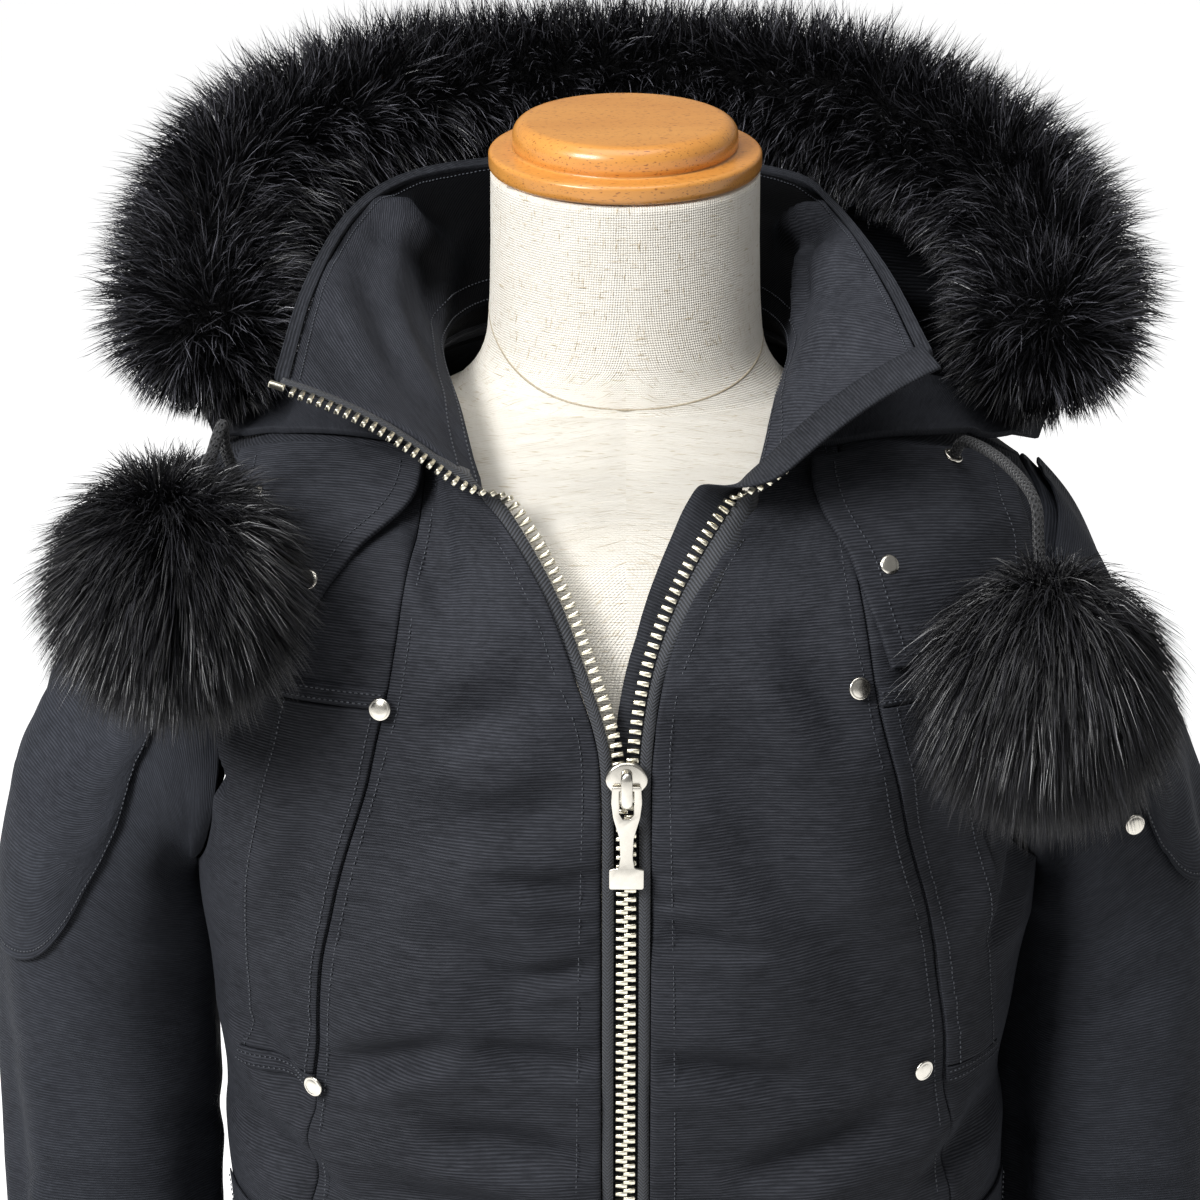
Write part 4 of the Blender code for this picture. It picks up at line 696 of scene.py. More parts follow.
# a wall under a grid of points; the outer face is moved out by lift and by relief, and its edges turn over
def clothPiece(name, grid, normals, wall, finish, lift=0.0, relief=0.0, around=False, turnOver=True):
    rows, columns = grid.shape[:2]
    rounding = np.zeros((rows, columns))
    if turnOver:
        for k, share in enumerate((0.24, 0.09, 0.02)):
            rounding[k, :] = np.maximum(rounding[k, :], share)
            rounding[-1 - k, :] = np.maximum(rounding[-1 - k, :], share)
            if not around:
                rounding[:, k] = np.maximum(rounding[:, k], share)
                rounding[:, -1 - k] = np.maximum(rounding[:, -1 - k], share)
    outer = grid + normals * (lift + relief - wall * rounding)[..., None]
    inner = grid + normals * (lift - wall + relief * 0.85 + wall * rounding)[..., None]
    across, down = runOf(np.swapaxes(grid, 0, 1)), runOf(grid)
    if around:
        across = np.append(across, across[-1] + float(np.linalg.norm(grid[:, 0] - grid[:, -1], axis=-1).mean()))
    r, c = np.meshgrid(np.arange(rows - 1), np.arange(columns if around else columns - 1), indexing="ij")
    r, c = r.ravel(), c.ravel()
    d = (c + 1) % columns
    a, b, e, f = r * columns + c, r * columns + d, (r + 1) * columns + d, (r + 1) * columns + c
    deep = rows * columns
    faces = [np.stack((a, b, e, f), 1), np.stack((deep + a, deep + f, deep + e, deep + b), 1)]
    uvs = [np.stack((across[i], down[j]), 1) for i, j in ((c, r), (c + 1, r), (c + 1, r + 1), (c, r + 1))]
    corners = [np.stack(uvs, 1), np.stack([uvs[k] for k in (0, 3, 2, 1)], 1)]

    # one edge's wall, between the points p and q of the outer face and the same points of the inner one
    def edgeWall(p, q, edge, nextEdge, shift, ahead):
        edge, nextEdge = np.stack(np.broadcast_arrays(*edge), 1), np.stack(np.broadcast_arrays(*nextEdge), 1)
        if ahead:
            faces.append(np.stack((p, q, deep + q, deep + p), 1))
            corners.append(np.stack((edge, nextEdge, nextEdge + shift, edge + shift), 1))
        else:
            faces.append(np.stack((p, deep + p, deep + q, q), 1))
            corners.append(np.stack((edge, edge + shift, nextEdge + shift, nextEdge), 1))

    k = np.arange(columns if around else columns - 1)
    for row, ahead in ((0, False), (rows - 1, True)):
        edgeWall(row * columns + k, row * columns + (k + 1) % columns, (across[k], down[row]),
                 (across[k + 1], down[row]), (0, wall), ahead)
    k = np.arange(rows - 1)
    for column, ahead in () if around else ((0, True), (columns - 1, False)):
        edgeWall(k * columns + column, (k + 1) * columns + column, (across[column], down[k]),
                 (across[column], down[k + 1]), (wall, 0), ahead)
    faces, corners = np.concatenate(faces), np.concatenate(corners)
    points = np.concatenate((outer.reshape(-1, 3), inner.reshape(-1, 3)))
    # the outer faces have to look out along the normals
    first = points[faces[:, :3]]
    facing = np.cross(first[:, 1] - first[:, 0], first[:, 2] - first[:, 0])[:len(a)]
    if float((facing * normals[r, c]).sum()) < 0:
        faces, corners = faces[:, ::-1], corners[:, ::-1]
    made = makePiece(name, points, faces, finish, corners)
    made["clothArea"] = float(np.linalg.norm(facing, axis=1).sum())
    return made


def gridNormals(grid, around=False):
    along = np.roll(grid, -1, 1) - np.roll(grid, 1, 1) if around else np.gradient(grid, axis=1)
    return unit(np.cross(along, np.gradient(grid, axis=0)))


# normals that look away from the middles of the rows
def outwardNormals(grid, around=False, centres=None):
    normals = gridNormals(grid, around)
    centres = grid.mean(axis=1, keepdims=True) if centres is None else centres
    return normals if float((normals * (grid - centres)).sum()) > 0 else -normals


# a piece of cloth is declared with its cut: width, length and the share of that rectangle it fills
def declareSheet(piece, slot, nodes, flat, held, restsOn, withPieces=()):
    area = min(max(piece["clothArea"], 0.301 * flat[0] * flat[1]), 0.999 * flat[0] * flat[1])
    finishPiece(piece, slot, nodes)
    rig.sheet(piece, flat=flat, held=held, rests_on=restsOn, area=area, with_pieces=withPieces)


# what body a piece rides on, what it is made of and which nodes it stands for
def finishPiece(piece, slot, nodes=(), body="jacket"):
    if "clothArea" in piece:
        del piece["clothArea"]
    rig.ride(piece, body)
    if nodes:
        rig.replaces(piece, *nodes)
    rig.slot(piece, slot)
    return piece


# node trees for what repeats
def newTree(name, inputs):
    tree = bpy.data.node_groups.new(name, "GeometryNodeTree")
    tree.interface.new_socket("Geometry", in_out="INPUT", socket_type="NodeSocketGeometry")
    for label, kind, value in inputs:
        socket = tree.interface.new_socket(label, in_out="INPUT", socket_type=kind)
        if value is not None:
            socket.default_value = value
    tree.interface.new_socket("Geometry", in_out="OUTPUT", socket_type="NodeSocketGeometry")
    return tree, tree.nodes.new("NodeGroupInput"), tree.nodes.new("NodeGroupOutput")


# runs a tree on a mesh and keeps the result as a plain mesh in an object of this name
def grownOn(name, source, tree, values):
    source.name = name + "_source"
    modifier = source.modifiers.new("grow", "NODES")
    modifier.node_group = tree
    for item in tree.interface.items_tree:
        if item.item_type == "SOCKET" and item.in_out == "INPUT" and item.name in values:
            modifier[item.identifier] = values[item.name]
    mesh = bpy.data.meshes.new_from_object(source.evaluated_get(bpy.context.evaluated_depsgraph_get()))
    mesh.name = name
    made = bpy.data.objects.new(name, mesh)
    part.objects.link(made)
    bpy.data.objects.remove(source, do_unlink=True)
    return made


# the end of both trees: the item on these points, made real and given its finish
def copiesOn(tree, start, end, points, rotation):
    item = addNode(tree, "GeometryNodeObjectInfo", {"Object": start.outputs["Item"]})
    copies = addNode(tree, "GeometryNodeInstanceOnPoints", {
        "Points": points, "Instance": item.outputs["Geometry"], "Rotation": rotation, "Scale": start.outputs["Size"]})
    real = addNode(tree, "GeometryNodeRealizeInstances", {0: copies})
    painted = addNode(tree, "GeometryNodeSetMaterial", {"Geometry": real, "Material": start.outputs["Material"]})
    tree.links.new(painted.outputs[0], end.inputs[0])
    return tree


# sets an item every pitch along lines whose points carry the direction they face
def repeatTree():
    tree, start, end = newTree("item repeated along a line", (
        ("Item", "NodeSocketObject", None), ("Pitch", "NodeSocketFloat", 0.004),
        ("First", "NodeSocketFloat", 0.0), ("Size", "NodeSocketFloat", 1.0),
        ("Material", "NodeSocketMaterial", None)))
    line = addNode(tree, "GeometryNodeMeshToCurve", {0: start.outputs["Geometry"]})
    trim = addNode(tree, "GeometryNodeTrimCurve", {0: line}, mode="LENGTH")
    tree.links.new(start.outputs["First"], trim.inputs[4])
    lengthOf = addNode(tree, "GeometryNodeSplineLength")
    tree.links.new(lengthOf.outputs[0], trim.inputs[5])
    spots = addNode(tree, "GeometryNodeCurveToPoints", {0: trim, "Length": start.outputs["Pitch"]}, mode="LENGTH")
    facing = addNode(tree, "GeometryNodeInputNamedAttribute", {"Name": "facing"}, data_type="FLOAT_VECTOR")
    upright = addNode(tree, "FunctionNodeAlignRotationToVector", {"Vector": facing}, axis="Z")
    placed = addNode(tree, "FunctionNodeAlignRotationToVector", {
        "Rotation": upright, "Vector": spots.outputs["Tangent"]}, axis="Y", pivot_axis="Z")
    return copiesOn(tree, start, end, spots.outputs[0], placed)


# sets an item on every point of a mesh, turned to the direction that the point faces
def settingTree():
    tree, start, end = newTree("item set on points", (
        ("Item", "NodeSocketObject", None), ("Size", "NodeSocketFloat", 1.0),
        ("Material", "NodeSocketMaterial", None)))
    facing = addNode(tree, "GeometryNodeInputNamedAttribute", {"Name": "facing"}, data_type="FLOAT_VECTOR")
    upright = addNode(tree, "FunctionNodeAlignRotationToVector", {"Vector": facing}, axis="Z")
    return copiesOn(tree, start, end, start.outputs["Geometry"], upright)


# a mesh of separate lines, each with its points and the directions they face
def linesOf(name, lines):
    points, edges, facings = [], [], []
    for places, facing in lines:
        first = len(points)
        points += [tuple(p) for p in np.asarray(places)]
        facings += [tuple(f) for f in np.asarray(facing)]
        edges += [(first + k, first + k + 1) for k in range(len(places) - 1)]
    mesh = bpy.data.meshes.new(name)
    mesh.from_pydata(points, edges, [])
    mesh.attributes.new("facing", "FLOAT_VECTOR", "POINT").data.foreach_set(
        "vector", np.asarray(facings, np.float32).ravel())
    made = bpy.data.objects.new(name, mesh)
    part.objects.link(made)
    return made


# a shape becomes an object whose faces look out; without a finish it is an item for the trees, out of the scene
def shaped(name, work, finish=None):
    mesh = bpy.data.meshes.new(name)
    bmesh.ops.recalc_face_normals(work, faces=work.faces)
    work.to_mesh(mesh)
    work.free()
    mesh.shade_smooth()
    made = bpy.data.objects.new(name, mesh)
    if finish:
        mesh.materials.append(finish)
        part.objects.link(made)
    return made


# turns a mesh's faces outwards
def faceOut(mesh):
    work = bmesh.new()
    work.from_mesh(mesh)
    bmesh.ops.recalc_face_normals(work, faces=work.faces)
    work.to_mesh(mesh)
    work.free()


# faces between rings of points; a ring of one point closes an end
def skin(work, rings):
    for low, high in zip(rings[:-1], rings[1:]):
        count = max(len(low), len(high))
        for k in range(count):
            n = (k + 1) % count
            around = (low[k % len(low)], low[n % len(low)], high[n % len(high)], high[k % len(high)])
            work.faces.new(tuple(dict.fromkeys(around)))


# bodies, each through rings of the same number of points
def ringBody(*bodies):
    work = bmesh.new()
    for rings in bodies:
        made = [[work.verts.new(tuple(map(float, p))) for p in ring] for ring in rings]
        skin(work, made)
        work.faces.new(list(reversed(made[0])))
        work.faces.new(made[-1])
    return work


# the faces of a tube through rings of points, as numbers, with both ends closed
def tubeFaces(rings, sides):
    r, c = np.indices((rings - 1, sides)).reshape(2, -1)
    d = (c + 1) % sides
    walls = np.stack((r * sides + c, r * sides + d, (r + 1) * sides + d, (r + 1) * sides + c), 1).tolist()
    return walls + [list(range(sides)), list(range((rings - 1) * sides, rings * sides))]


repeatAlong, setOnPoints = repeatTree(), settingTree()
stitchLines = []        # every run of topstitching, filled in as the panels are made


# front panels and pockets
fronts = {"across": 0.0047, "up": 0.0029, "unevenness": 0.0021, "puckerDepth": 0.0009, "seamDip": 0.0005,
          "stitchDip": 0.0007, "foldDepth": 2.9, "stitchFromZip": 0.0072, "stitchFromSeam": 0.0052,}
# x, z of the start and end, width, depth, bow: read off the way this jacket hangs
frontCreases = mm((
    (-128, 514, -66, 539, 8, 2.4, 2), (-68, 538, -12, 529, 7, 1.8, -2),
    (12, 689, 91, 601, 19, 2.6, 4), (30, 638, 107, 558, 15, 2.2, 4),
    (119, 496, 41, 472, 10, 2.2, 2), (-11, 611, -61, 617, 5, 1.3, 1),
    (-12, 577, -53, 569, 5, 1.3, 1), (-187, 659, -172, 628, 6, 2.2, 2),
    (176, 622, 158, 560, 8, 2.6, 3), (-167, 529, -138, 486, 8, 2, 2),
    (-93, 786, -74, 720, 8, 1.7, 2), (12, 591, 58, 581, 5.5, 1.4, 1),
    (10, 531, 76, 516, 7.5, 1.8, 2), (-90, 493, -14, 481, 9, 2, 2),
    (-14, 650, -88, 640, 11, 1.7, 3), (-36, 700, -84, 672, 11, 1.6, 2),
    (62, 722, 94, 664, 11, 1.5, 3), (-92, 598, -40, 555, 13, 1.8, 4),
    (16, 452, 112, 436, 11, 2.1, 3), (-122, 462, -18, 446, 11, 2.1, 3),
    (-126, 655, -153, 560, 9, 1.2, 2), (118, 650, 148, 565, 9, 1.2, 2),
    (-170, 480, -120, 440, 10, 2, 3), (165, 485, 125, 452, 10, 2, 3),
    (-110, 405, -20, 392, 13, 2.6, 4), (20, 398, 112, 410, 13, 2.4, 4),
    (-100, 350, -30, 362, 12, 2, 3), (18, 344, 96, 330, 12, 2.2, 3),
    (-115, 300, -35, 292, 12, 2.2, 3), (25, 290, 118, 300, 12, 2.2, 3),
    (-90, 255, -60, 222, 6, 1.8, 1), (-50, 250, -36, 218, 6, 1.8, 1),
    (45, 252, 36, 219, 6, 1.8, 1), (90, 256, 76, 221, 6, 1.8, 1),
))


# each seam is a distance from it and the seed of its puckers, or none where it is plain
def frontRelief(points, z, seams):
    x = points[..., 0]
    relief = fronts["foldDepth"] * creases(frontCreases, x, points[..., 2])
    relief = relief + fronts["unevenness"] * drift(x, z, 0.085, 3)
    # the hem band draws the cloth in and leaves small upright gathers above it
    relief = relief + 0.0011 * puckers(z - panelLow, x, 0.017, 0.02, 41)
    for away, seed in seams:
        relief = relief - fronts["seamDip"] * groove(away, 0, 0.0022)
        if seed:
            relief = relief + fronts["puckerDepth"] * puckers(away, z, 0.0098, 0.016, seed)
    return relief


def bodyGrid(z, angles):
    return bodyPoint(z[:, None], angles), bodyNormal(z[:, None], angles)


# distances of a grid's points from its first and from its last column
def fromEdges(grid):
    return [np.linalg.norm(grid - grid[:, edge], axis=-1) for edge in (slice(0, 1), slice(-1, None))]


# a U of stitching: down one column, along a row and up another column
def stitchRound(face, normals, top, row, left, right):
    stitchLines.append([np.concatenate((grid[top:row, left], grid[row, left:right], grid[top:row, right][::-1]))
                        for grid in (face, normals)])


panelOf = {}
for side in "LR":
    sign = -1 if side == "L" else 1
    z = panelLow + (0.802 - panelLow) * spaced(0.6, fronts["up"])
    start, middle, edge = frontEdges(z, side)
    gap = seamAngle(z, middle) * sign
    edgeGap = seamAngle(z, edge) * sign
    across = spaced(0.125, fronts["across"])
    angles = start[:, None] + (middle - gap - start)[:, None] * across
    points, normals = bodyGrid(z, angles)
    fromZip = np.abs(points[..., 0] - points[:, :1, 0])
    fromPrincess = np.abs(points[:, -1:, 0] - points[..., 0])
    heights = np.broadcast_to(z[:, None], fromZip.shape)
    relief = frontRelief(points, heights, ((fromZip, 51), (fromPrincess, 53)))
    # a row of topstitching along the zip and another along the seam press a groove
    relief -= fronts["stitchDip"] * groove(fromZip, fronts["stitchFromZip"], 0.0012) * (z[:, None] < 0.752)
    relief -= fronts["stitchDip"] * groove(fromPrincess, fronts["stitchFromSeam"], 0.0012)
    # the neck end is pressed flat where the collar is sewn on
    relief *= 1 - 0.7 * np.clip((heights - 0.765) / 0.03, 0, 1)
    relief = np.clip(relief, -0.006, 0.005)
    panel = clothPiece(f"frontCenter{side}", points, normals, clothWall, shellCloth, relief=relief)
    declareSheet(panel, "cloth", [f"front_center_{side}"], (0.15, 0.61), "folded", ["form_torso"])
    panelOf[side] = (z, points + normals * relief[..., None], normals)

    # side panel, with its columns gathered where the pocket's edge lies
    outerX = np.where(z > barLow - 0.01, smoothAt(pocketRows, z)[..., 0], 0.166) + (pocketRight if side == "R" else 0)
    middleX2 = np.abs(bodyPoint(z, middle)[..., 0])
    outer = angleAtX(z, sign * np.maximum(outerX, middleX2 + 0.004))
    high = np.clip((z - barTop - 0.004) / 0.012, 0, 1)
    outer = outer * (1 - high) + (middle + (edge - middle) * 0.5) * high
    first = middle + gap
    inAcross = spaced(0.03, 0.003)
    outAcross = spaced(0.055, 0.004)
    angles = np.concatenate((first[:, None] + (outer - first)[:, None] * inAcross,
                             (outer[:, None] + (edge - edgeGap - outer)[:, None] * outAcross)[:, 1:]), 1)
    points, normals = bodyGrid(z, angles)
    heights = np.broadcast_to(z[:, None], points.shape[:2])
    fromPrincess, fromArm = fromEdges(points)
    relief = frontRelief(points, heights, ((fromPrincess, 55), (fromArm, None)))
    relief += 0.001 * puckers(fromArm, heights, 0.024, 0.022, 61) * (heights > 0.58)
    relief *= 1 - 0.7 * np.clip((heights - 0.765) / 0.03, 0, 1)
    # the layer sewn over a pocket keeps its panel calm
    relief = np.clip(relief, -0.0056, 0.0034)
    panel = clothPiece(f"frontSide{side}", points, normals, clothWall, shellCloth, relief=relief)
    declareSheet(panel, "cloth", [f"front_side_{side}"], (0.135, 0.61), "folded", ["form_torso"])

    # pockets and their bars are laid on the panel's own points, moved out
    for name, node, low, top, flat, seed in (
        ("chestPocket", "chest_pocket", pocketLow, pocketTop, (0.048, 0.178), 71),
        ("pocketBarTop", "pocket_top_bar", pocketTop, barTop, (0.048, 0.012), 73),
        ("pocketBarLow", "pocket_low_bar", barLow, pocketLow, (0.048, 0.012), 75),
        ("handPocket", "hand_pocket", *handPocket, (0.065, 0.155), 77),
    ):
        isBar = name.startswith("pocketBar")
        wall = layerWall + (0.0005 if isBar else 0)
        zRows = low + 0.0004 + (top - low - 0.0008) * spaced(top - low, 0.0024)
        reach = len(inAcross) + (len(outAcross) // 2 if name == "handPocket" else 0)
        wide, under = (np.array([np.interp(zRows, z, table[:, c]) for c in range(reach)]).T
                       for table in (angles, relief))
        points, normals = bodyGrid(zRows, wide)
        heights = np.broadcast_to(zRows[:, None], points.shape[:2])
        inner, outerSide = fromEdges(points)
        # the pocket bags a little between its stitched edges
        puff = 0.0 if isBar else 0.0007
        bag = puff * np.sin(np.pi * np.clip(inner / (inner + outerSide + 1e-9), 0, 1)) * (1 + 0.4 * drift(
            points[..., 0], heights, 0.06, seed))
        own = under + bag + 0.00022 * puckers(np.minimum(inner, outerSide), heights, 0.0085, 0.01, seed)
        for distance in (inner, outerSide):
            own -= 0.0005 * groove(distance, 0.0046, 0.001) * (0 if isBar else 1)
        own = np.maximum(own, under)
        layer = clothPiece(name + side, points, normals, wall, shellCloth, wall + 0.0003, own)
        declareSheet(layer, "cloth", [f"{node}_{side}"], flat, "folded", [f"front_side_{side}"])
        face = points + normals * (own + wall + 0.0003)[..., None]
        if isBar:
            stitchLines += [(face[r, 2:-2], normals[r, 2:-2]) for r in (3, len(zRows) - 4)]
        else:
            stitched = [columnAt(distance[len(distance) // 2], 0.0046) for distance in (inner, outerSide)]
            stitchLines += [(face[2:-2, k], normals[2:-2, k]) for k in stitched]

for side in "LR":
    z, face, normals = panelOf[side]
    for reach, fromEnd, top in ((fronts["stitchFromZip"], False, 0.752), (fronts["stitchFromSeam"], True, 0.8)):
        line, lineNormals = [], []
        for r in range(2, len(z) - 2):
            if z[r] > top:
                break
            k = columnAt(np.abs(face[r, :, 0] - face[r, -1 if fromEnd else 0, 0]), reach)
            line.append(face[r, k])
            lineNormals.append(normals[r, k])
        line = np.array(line)
        # the row follows the seam smoothly rather than hopping from column to column
        ease(line[:, :2], 16)
        stitchLines.append((line, np.array(lineNormals)))
print("front panels and pockets ready")

# back panel
backRows = {"across": 0.0094, "up": 0.0068, "unevenness": 0.0013}
# distance round from the middle and z of start and end, width, depth, bow
backCreases = mm((
    (-150, 640, -80, 600, 14, 3.2, 4), (150, 645, 85, 598, 14, 3.2, 4),
    (-160, 560, -60, 520, 16, 3, 5), (160, 550, 50, 515, 16, 3, 5),
    (-120, 470, 20, 450, 15, 3, 4), (130, 440, 10, 420, 15, 2.8, 4),
    (-140, 380, -10, 370, 15, 3, 4), (140, 350, 20, 345, 15, 2.8, 4),
    (-130, 290, 0, 300, 14, 2.8, 3), (130, 280, 30, 290, 14, 2.6, 3),
    (-70, 700, -20, 640, 14, 2.2, 4), (70, 690, 30, 630, 14, 2.2, 4),
    (-150, 255, -140, 220, 6, 1.6, 1), (-100, 258, -96, 220, 6, 1.6, 1),
    (50, 256, 48, 220, 6, 1.6, 1), (110, 255, 116, 220, 6, 1.6, 1),
))
z = panelLow + (0.8065 - panelLow) * spaced(0.6, backRows["up"])
rim = armAngle(z, armhole["back"])
gap = seamAngle(z, rim)
across = spaced(0.4, backRows["across"])
angles = (rim + gap)[:, None] + (math.pi - 2 * rim - 2 * gap)[:, None] * across
points, normals = bodyGrid(z, angles)
heights = np.broadcast_to(z[:, None], points.shape[:2])
fromSide = np.minimum(*fromEdges(points))
fromMiddle = -(points[..., 0] - middleX) * 1.12
relief = creases(backCreases, fromMiddle, heights) + backRows["unevenness"] * drift(fromMiddle, heights, 0.11, 13)
relief += 0.0011 * puckers(heights - panelLow, fromMiddle, 0.018, 0.02, 43)
relief -= fronts["seamDip"] * groove(fromSide, 0, 0.0026)
relief += 0.001 * puckers(fromSide, heights, 0.024, 0.022, 63) * (heights > 0.58)
relief *= 1 - 0.8 * np.clip((heights - 0.745) / 0.03, 0, 1)
relief = np.maximum(relief, -0.0042)
back = clothPiece("backPanel", points, normals, clothWall, shellCloth, relief=relief)
declareSheet(back, "cloth", ["back"], (0.42, 0.625), "folded", ["form_torso"])

# knitted hem and cuffs
knit = {"hemRibs": 42, "cuffRibs": 30, "ribHeight": 0.0013}


def ribsAt(turns):
    return knit["ribHeight"] * (0.5 - 0.5 * np.cos(turns)) ** 0.7


z = np.linspace(0.213, 0.164, 13)
start, end = angleAtX(z, -0.0105), angleAtX(z, 0.0105)
turn = (start - end) % (2 * math.pi)
columns = knit["hemRibs"] * 12 + 1
angles = end[:, None] + turn[:, None] * np.linspace(0, 1, columns)
points, normals = bodyGrid(z, angles)
lines = np.cos(np.linspace(0, 1, len(z)) * math.pi) ** 2
belly = np.cos(np.linspace(-1, 1, len(z)) * math.pi / 2)[:, None]
relief = (ribsAt(np.arange(columns) / 12 * 2 * math.pi) * (0.75 + 0.25 * lines[:, None])
          + 0.0009 * belly * drift(angles * 0.16, z[:, None], 0.11, 17))
hem = clothPiece("hemRib", points, normals, ribWall, ribKnit, relief=relief)
declareSheet(hem, "rib_knit", ["hem_rib"], (0.88, 0.052), "folded", ["form_torso"])
print("back and hem ready")

# sleeves
# z, x and y of the middle, half width, half depth
sleeveRows = {
    "L": mm((
        (590, -236.5, -3, 44, 71), (550, -242, -2, 49, 68),
        (490, -243, -3, 50.5, 64), (430, -240.5, -7, 48, 60),
        (370, -242, -14, 46, 56), (300, -244, -25, 44, 51),
        (228, -242, -36, 42, 47), (168, -239, -42, 35, 38),
    ))[::-1],
    "R": mm((
        (590, 226, -3, 38.5, 71), (550, 229.5, -2, 42.5, 68),
        (490, 231.5, -3, 46, 64), (430, 232.5, -7, 46.5, 60),
        (370, 234.5, -14, 45, 56), (300, 236, -25, 43.5, 51),
        (228, 235, -36, 41.5, 47), (168, 232, -42, 35, 38),
    ))[::-1],
}
sleeveTop, sleeveLow, sleeveLean = 0.59, 0.228, 0.36
sleeves = {
    "around": 80, "unevenness": 0.001, "patchLift": 0.0034, "patchTop": 0.06, "easing": 700,
    # how far down the patch reaches, how square its U is, and its half width in twentieths of a turn
    "full": {"L": ((0.3, 0), (0.75, 0.007), (0.9, 0.01), (1.08, 0.01), (1.2, 0.0064), (1.42, 0.005), (1.8, 0)),
             "R": ((0.3, 0), (0.75, 0.005), (0.95, 0.0085), (1.6, 0.0085), (1.95, 0.001))},
    "patchEnd": {"L": 1.18, "R": 1.08}, "patchRound": 4.5,
    "patchHalf": {"L": ((0.0, 3.7), (0.41, 4.1), (0.62, 4.6), (1.0, 5.2)), "R": ((0.0, 3.4), (0.75, 3.8), (1.0, 4.4))},
}
# how far down (0 the armhole, 1 the first even ring, 2 the cuff) and round (quarter turns, 0 outside, 1 front)
# of start and end, width, depth, bow; the short ones fan out of the underarm, the long ones lie at elbow and wrist
sleeveCreases = {
    "L": (
        (0.15, 1.25, 0.55, 0.9, 0.06, 0.004, 0.02), (0.3, 1.45, 0.75, 1.05, 0.05, 0.0036, 0.02),
        (0.2, 1.75, 0.6, 2.1, 0.06, 0.0034, 0.02), (0.62, 1.55, 0.95, 1.1, 0.05, 0.0036, 0.02),
        (0.95, 1.95, 1.1, 0.8, 0.05, 0.004, 0.03), (1.16, 0.35, 1.24, 1.6, 0.045, 0.004, 0.03),
        (1.3, 0.2, 1.36, 1.3, 0.045, 0.0042, 0.02), (1.38, 1.3, 1.46, 2.6, 0.045, 0.0036, 0.02),
        (1.48, 0.3, 1.52, 1.5, 0.04, 0.0036, 0.02), (1.58, 1.3, 1.64, 2.8, 0.04, 0.0034, 0.02),
        (1.68, 0.1, 1.72, 1.4, 0.035, 0.0038, 0.02), (1.78, 1.2, 1.8, 2.9, 0.032, 0.0034, 0.01),
        (1.87, 0.2, 1.88, 1.5, 0.028, 0.0034, 0.01), (0.75, 0.15, 1.0, 0.65, 0.055, 0.003, 0.02),
        (1.05, 2.3, 1.2, 3.4, 0.05, 0.0032, 0.02), (0.55, 2.6, 0.85, 3.3, 0.055, 0.003, 0.02),
    ),
}
sleeveCreases["R"] = tuple((a0 + 0.03, b0 * 0.93 + 0.12, a1 - 0.02, b1 * 1.02 - 0.05, w, d * 1.05, bow)
                           for a0, b0, a1, b1, w, d, bow in sleeveCreases["L"])


def sleeveRing(side, z):
    x, y, half, deep = np.moveaxis(smoothAt(sleeveRows[side], z), -1, 0)
    sign = -1 if side == "L" else 1
    low, high = smoothAt(sleeveRows[side], z - 0.01), smoothAt(sleeveRows[side], z + 0.01)
    down = unit(np.stack((low[..., 0] - high[..., 0], low[..., 1] - high[..., 1], np.full(x.shape, -0.02)), -1))
    lean = sleeveLean * np.clip((z - 0.5) / (sleeveTop - 0.5), 0, None)
    down = unit(down + np.stack((sign * lean, 0 * lean, 0 * lean), -1))
    out = unit(np.cross(np.array((0.0, 1.0, 0.0)), down))
    out = np.where(out[..., :1] * sign < 0, -out, out)
    ahead = unit(np.cross(out, down))
    ahead = np.where(ahead[..., 1:2] > 0, -ahead, ahead)
    return np.stack((x, y, z), -1), out, ahead, half[..., None], deep[..., None], down


def armholePoint(side, turn, shrink=0.0009):
    z = armhole["middle"] + (armhole["halfHeight"] - shrink) * np.cos(turn)
    front = np.sin(turn) >= 0
    wide = np.radians(np.where(front, armhole["front"], armhole["back"])) - shrink / 0.12
    rim = wide * np.abs(np.sin(turn))
    at = np.where(front, -rim, rim)
    if side == "L":
        at = np.where(front, -math.pi - at, math.pi - at)
    return bodyPoint(z, at)


# s 0 to 1 runs from the armhole to the first even ring, 1 to 2 on to the cuff
def sleevePoint(side, s, turn):
    s, turn = np.broadcast_arrays(np.asarray(s, float), np.asarray(turn, float))
    sign = -1 if side == "L" else 1
    z = sleeveTop + (sleeveLow - sleeveTop) * np.clip(s - 1, 0, None)
    middle, out, ahead, half, deep, down = sleeveRing(side, z)
    c, n = np.cos(turn)[..., None], np.sin(turn)[..., None]
    low = middle + out * half * c + ahead * deep * n
    start = armholePoint(side, turn)
    top = (1 + c) / 2
    leave = unit(np.array((sign * 1.0, 0.0, -0.42))) * (0.03 + 0.045 * top)
    arrive = down * (0.03 + 0.1 * top)
    t = np.clip(s, 0, 1)[..., None]
    t2, t3 = t * t, t**3
    high = ((2 * t3 - 3 * t2 + 1) * start + (t3 - 2 * t2 + t) * leave + (3 * t2 - 2 * t3) * low + (t3 - t2) * arrive)
    return np.where(s[..., None] >= 1, low, high)


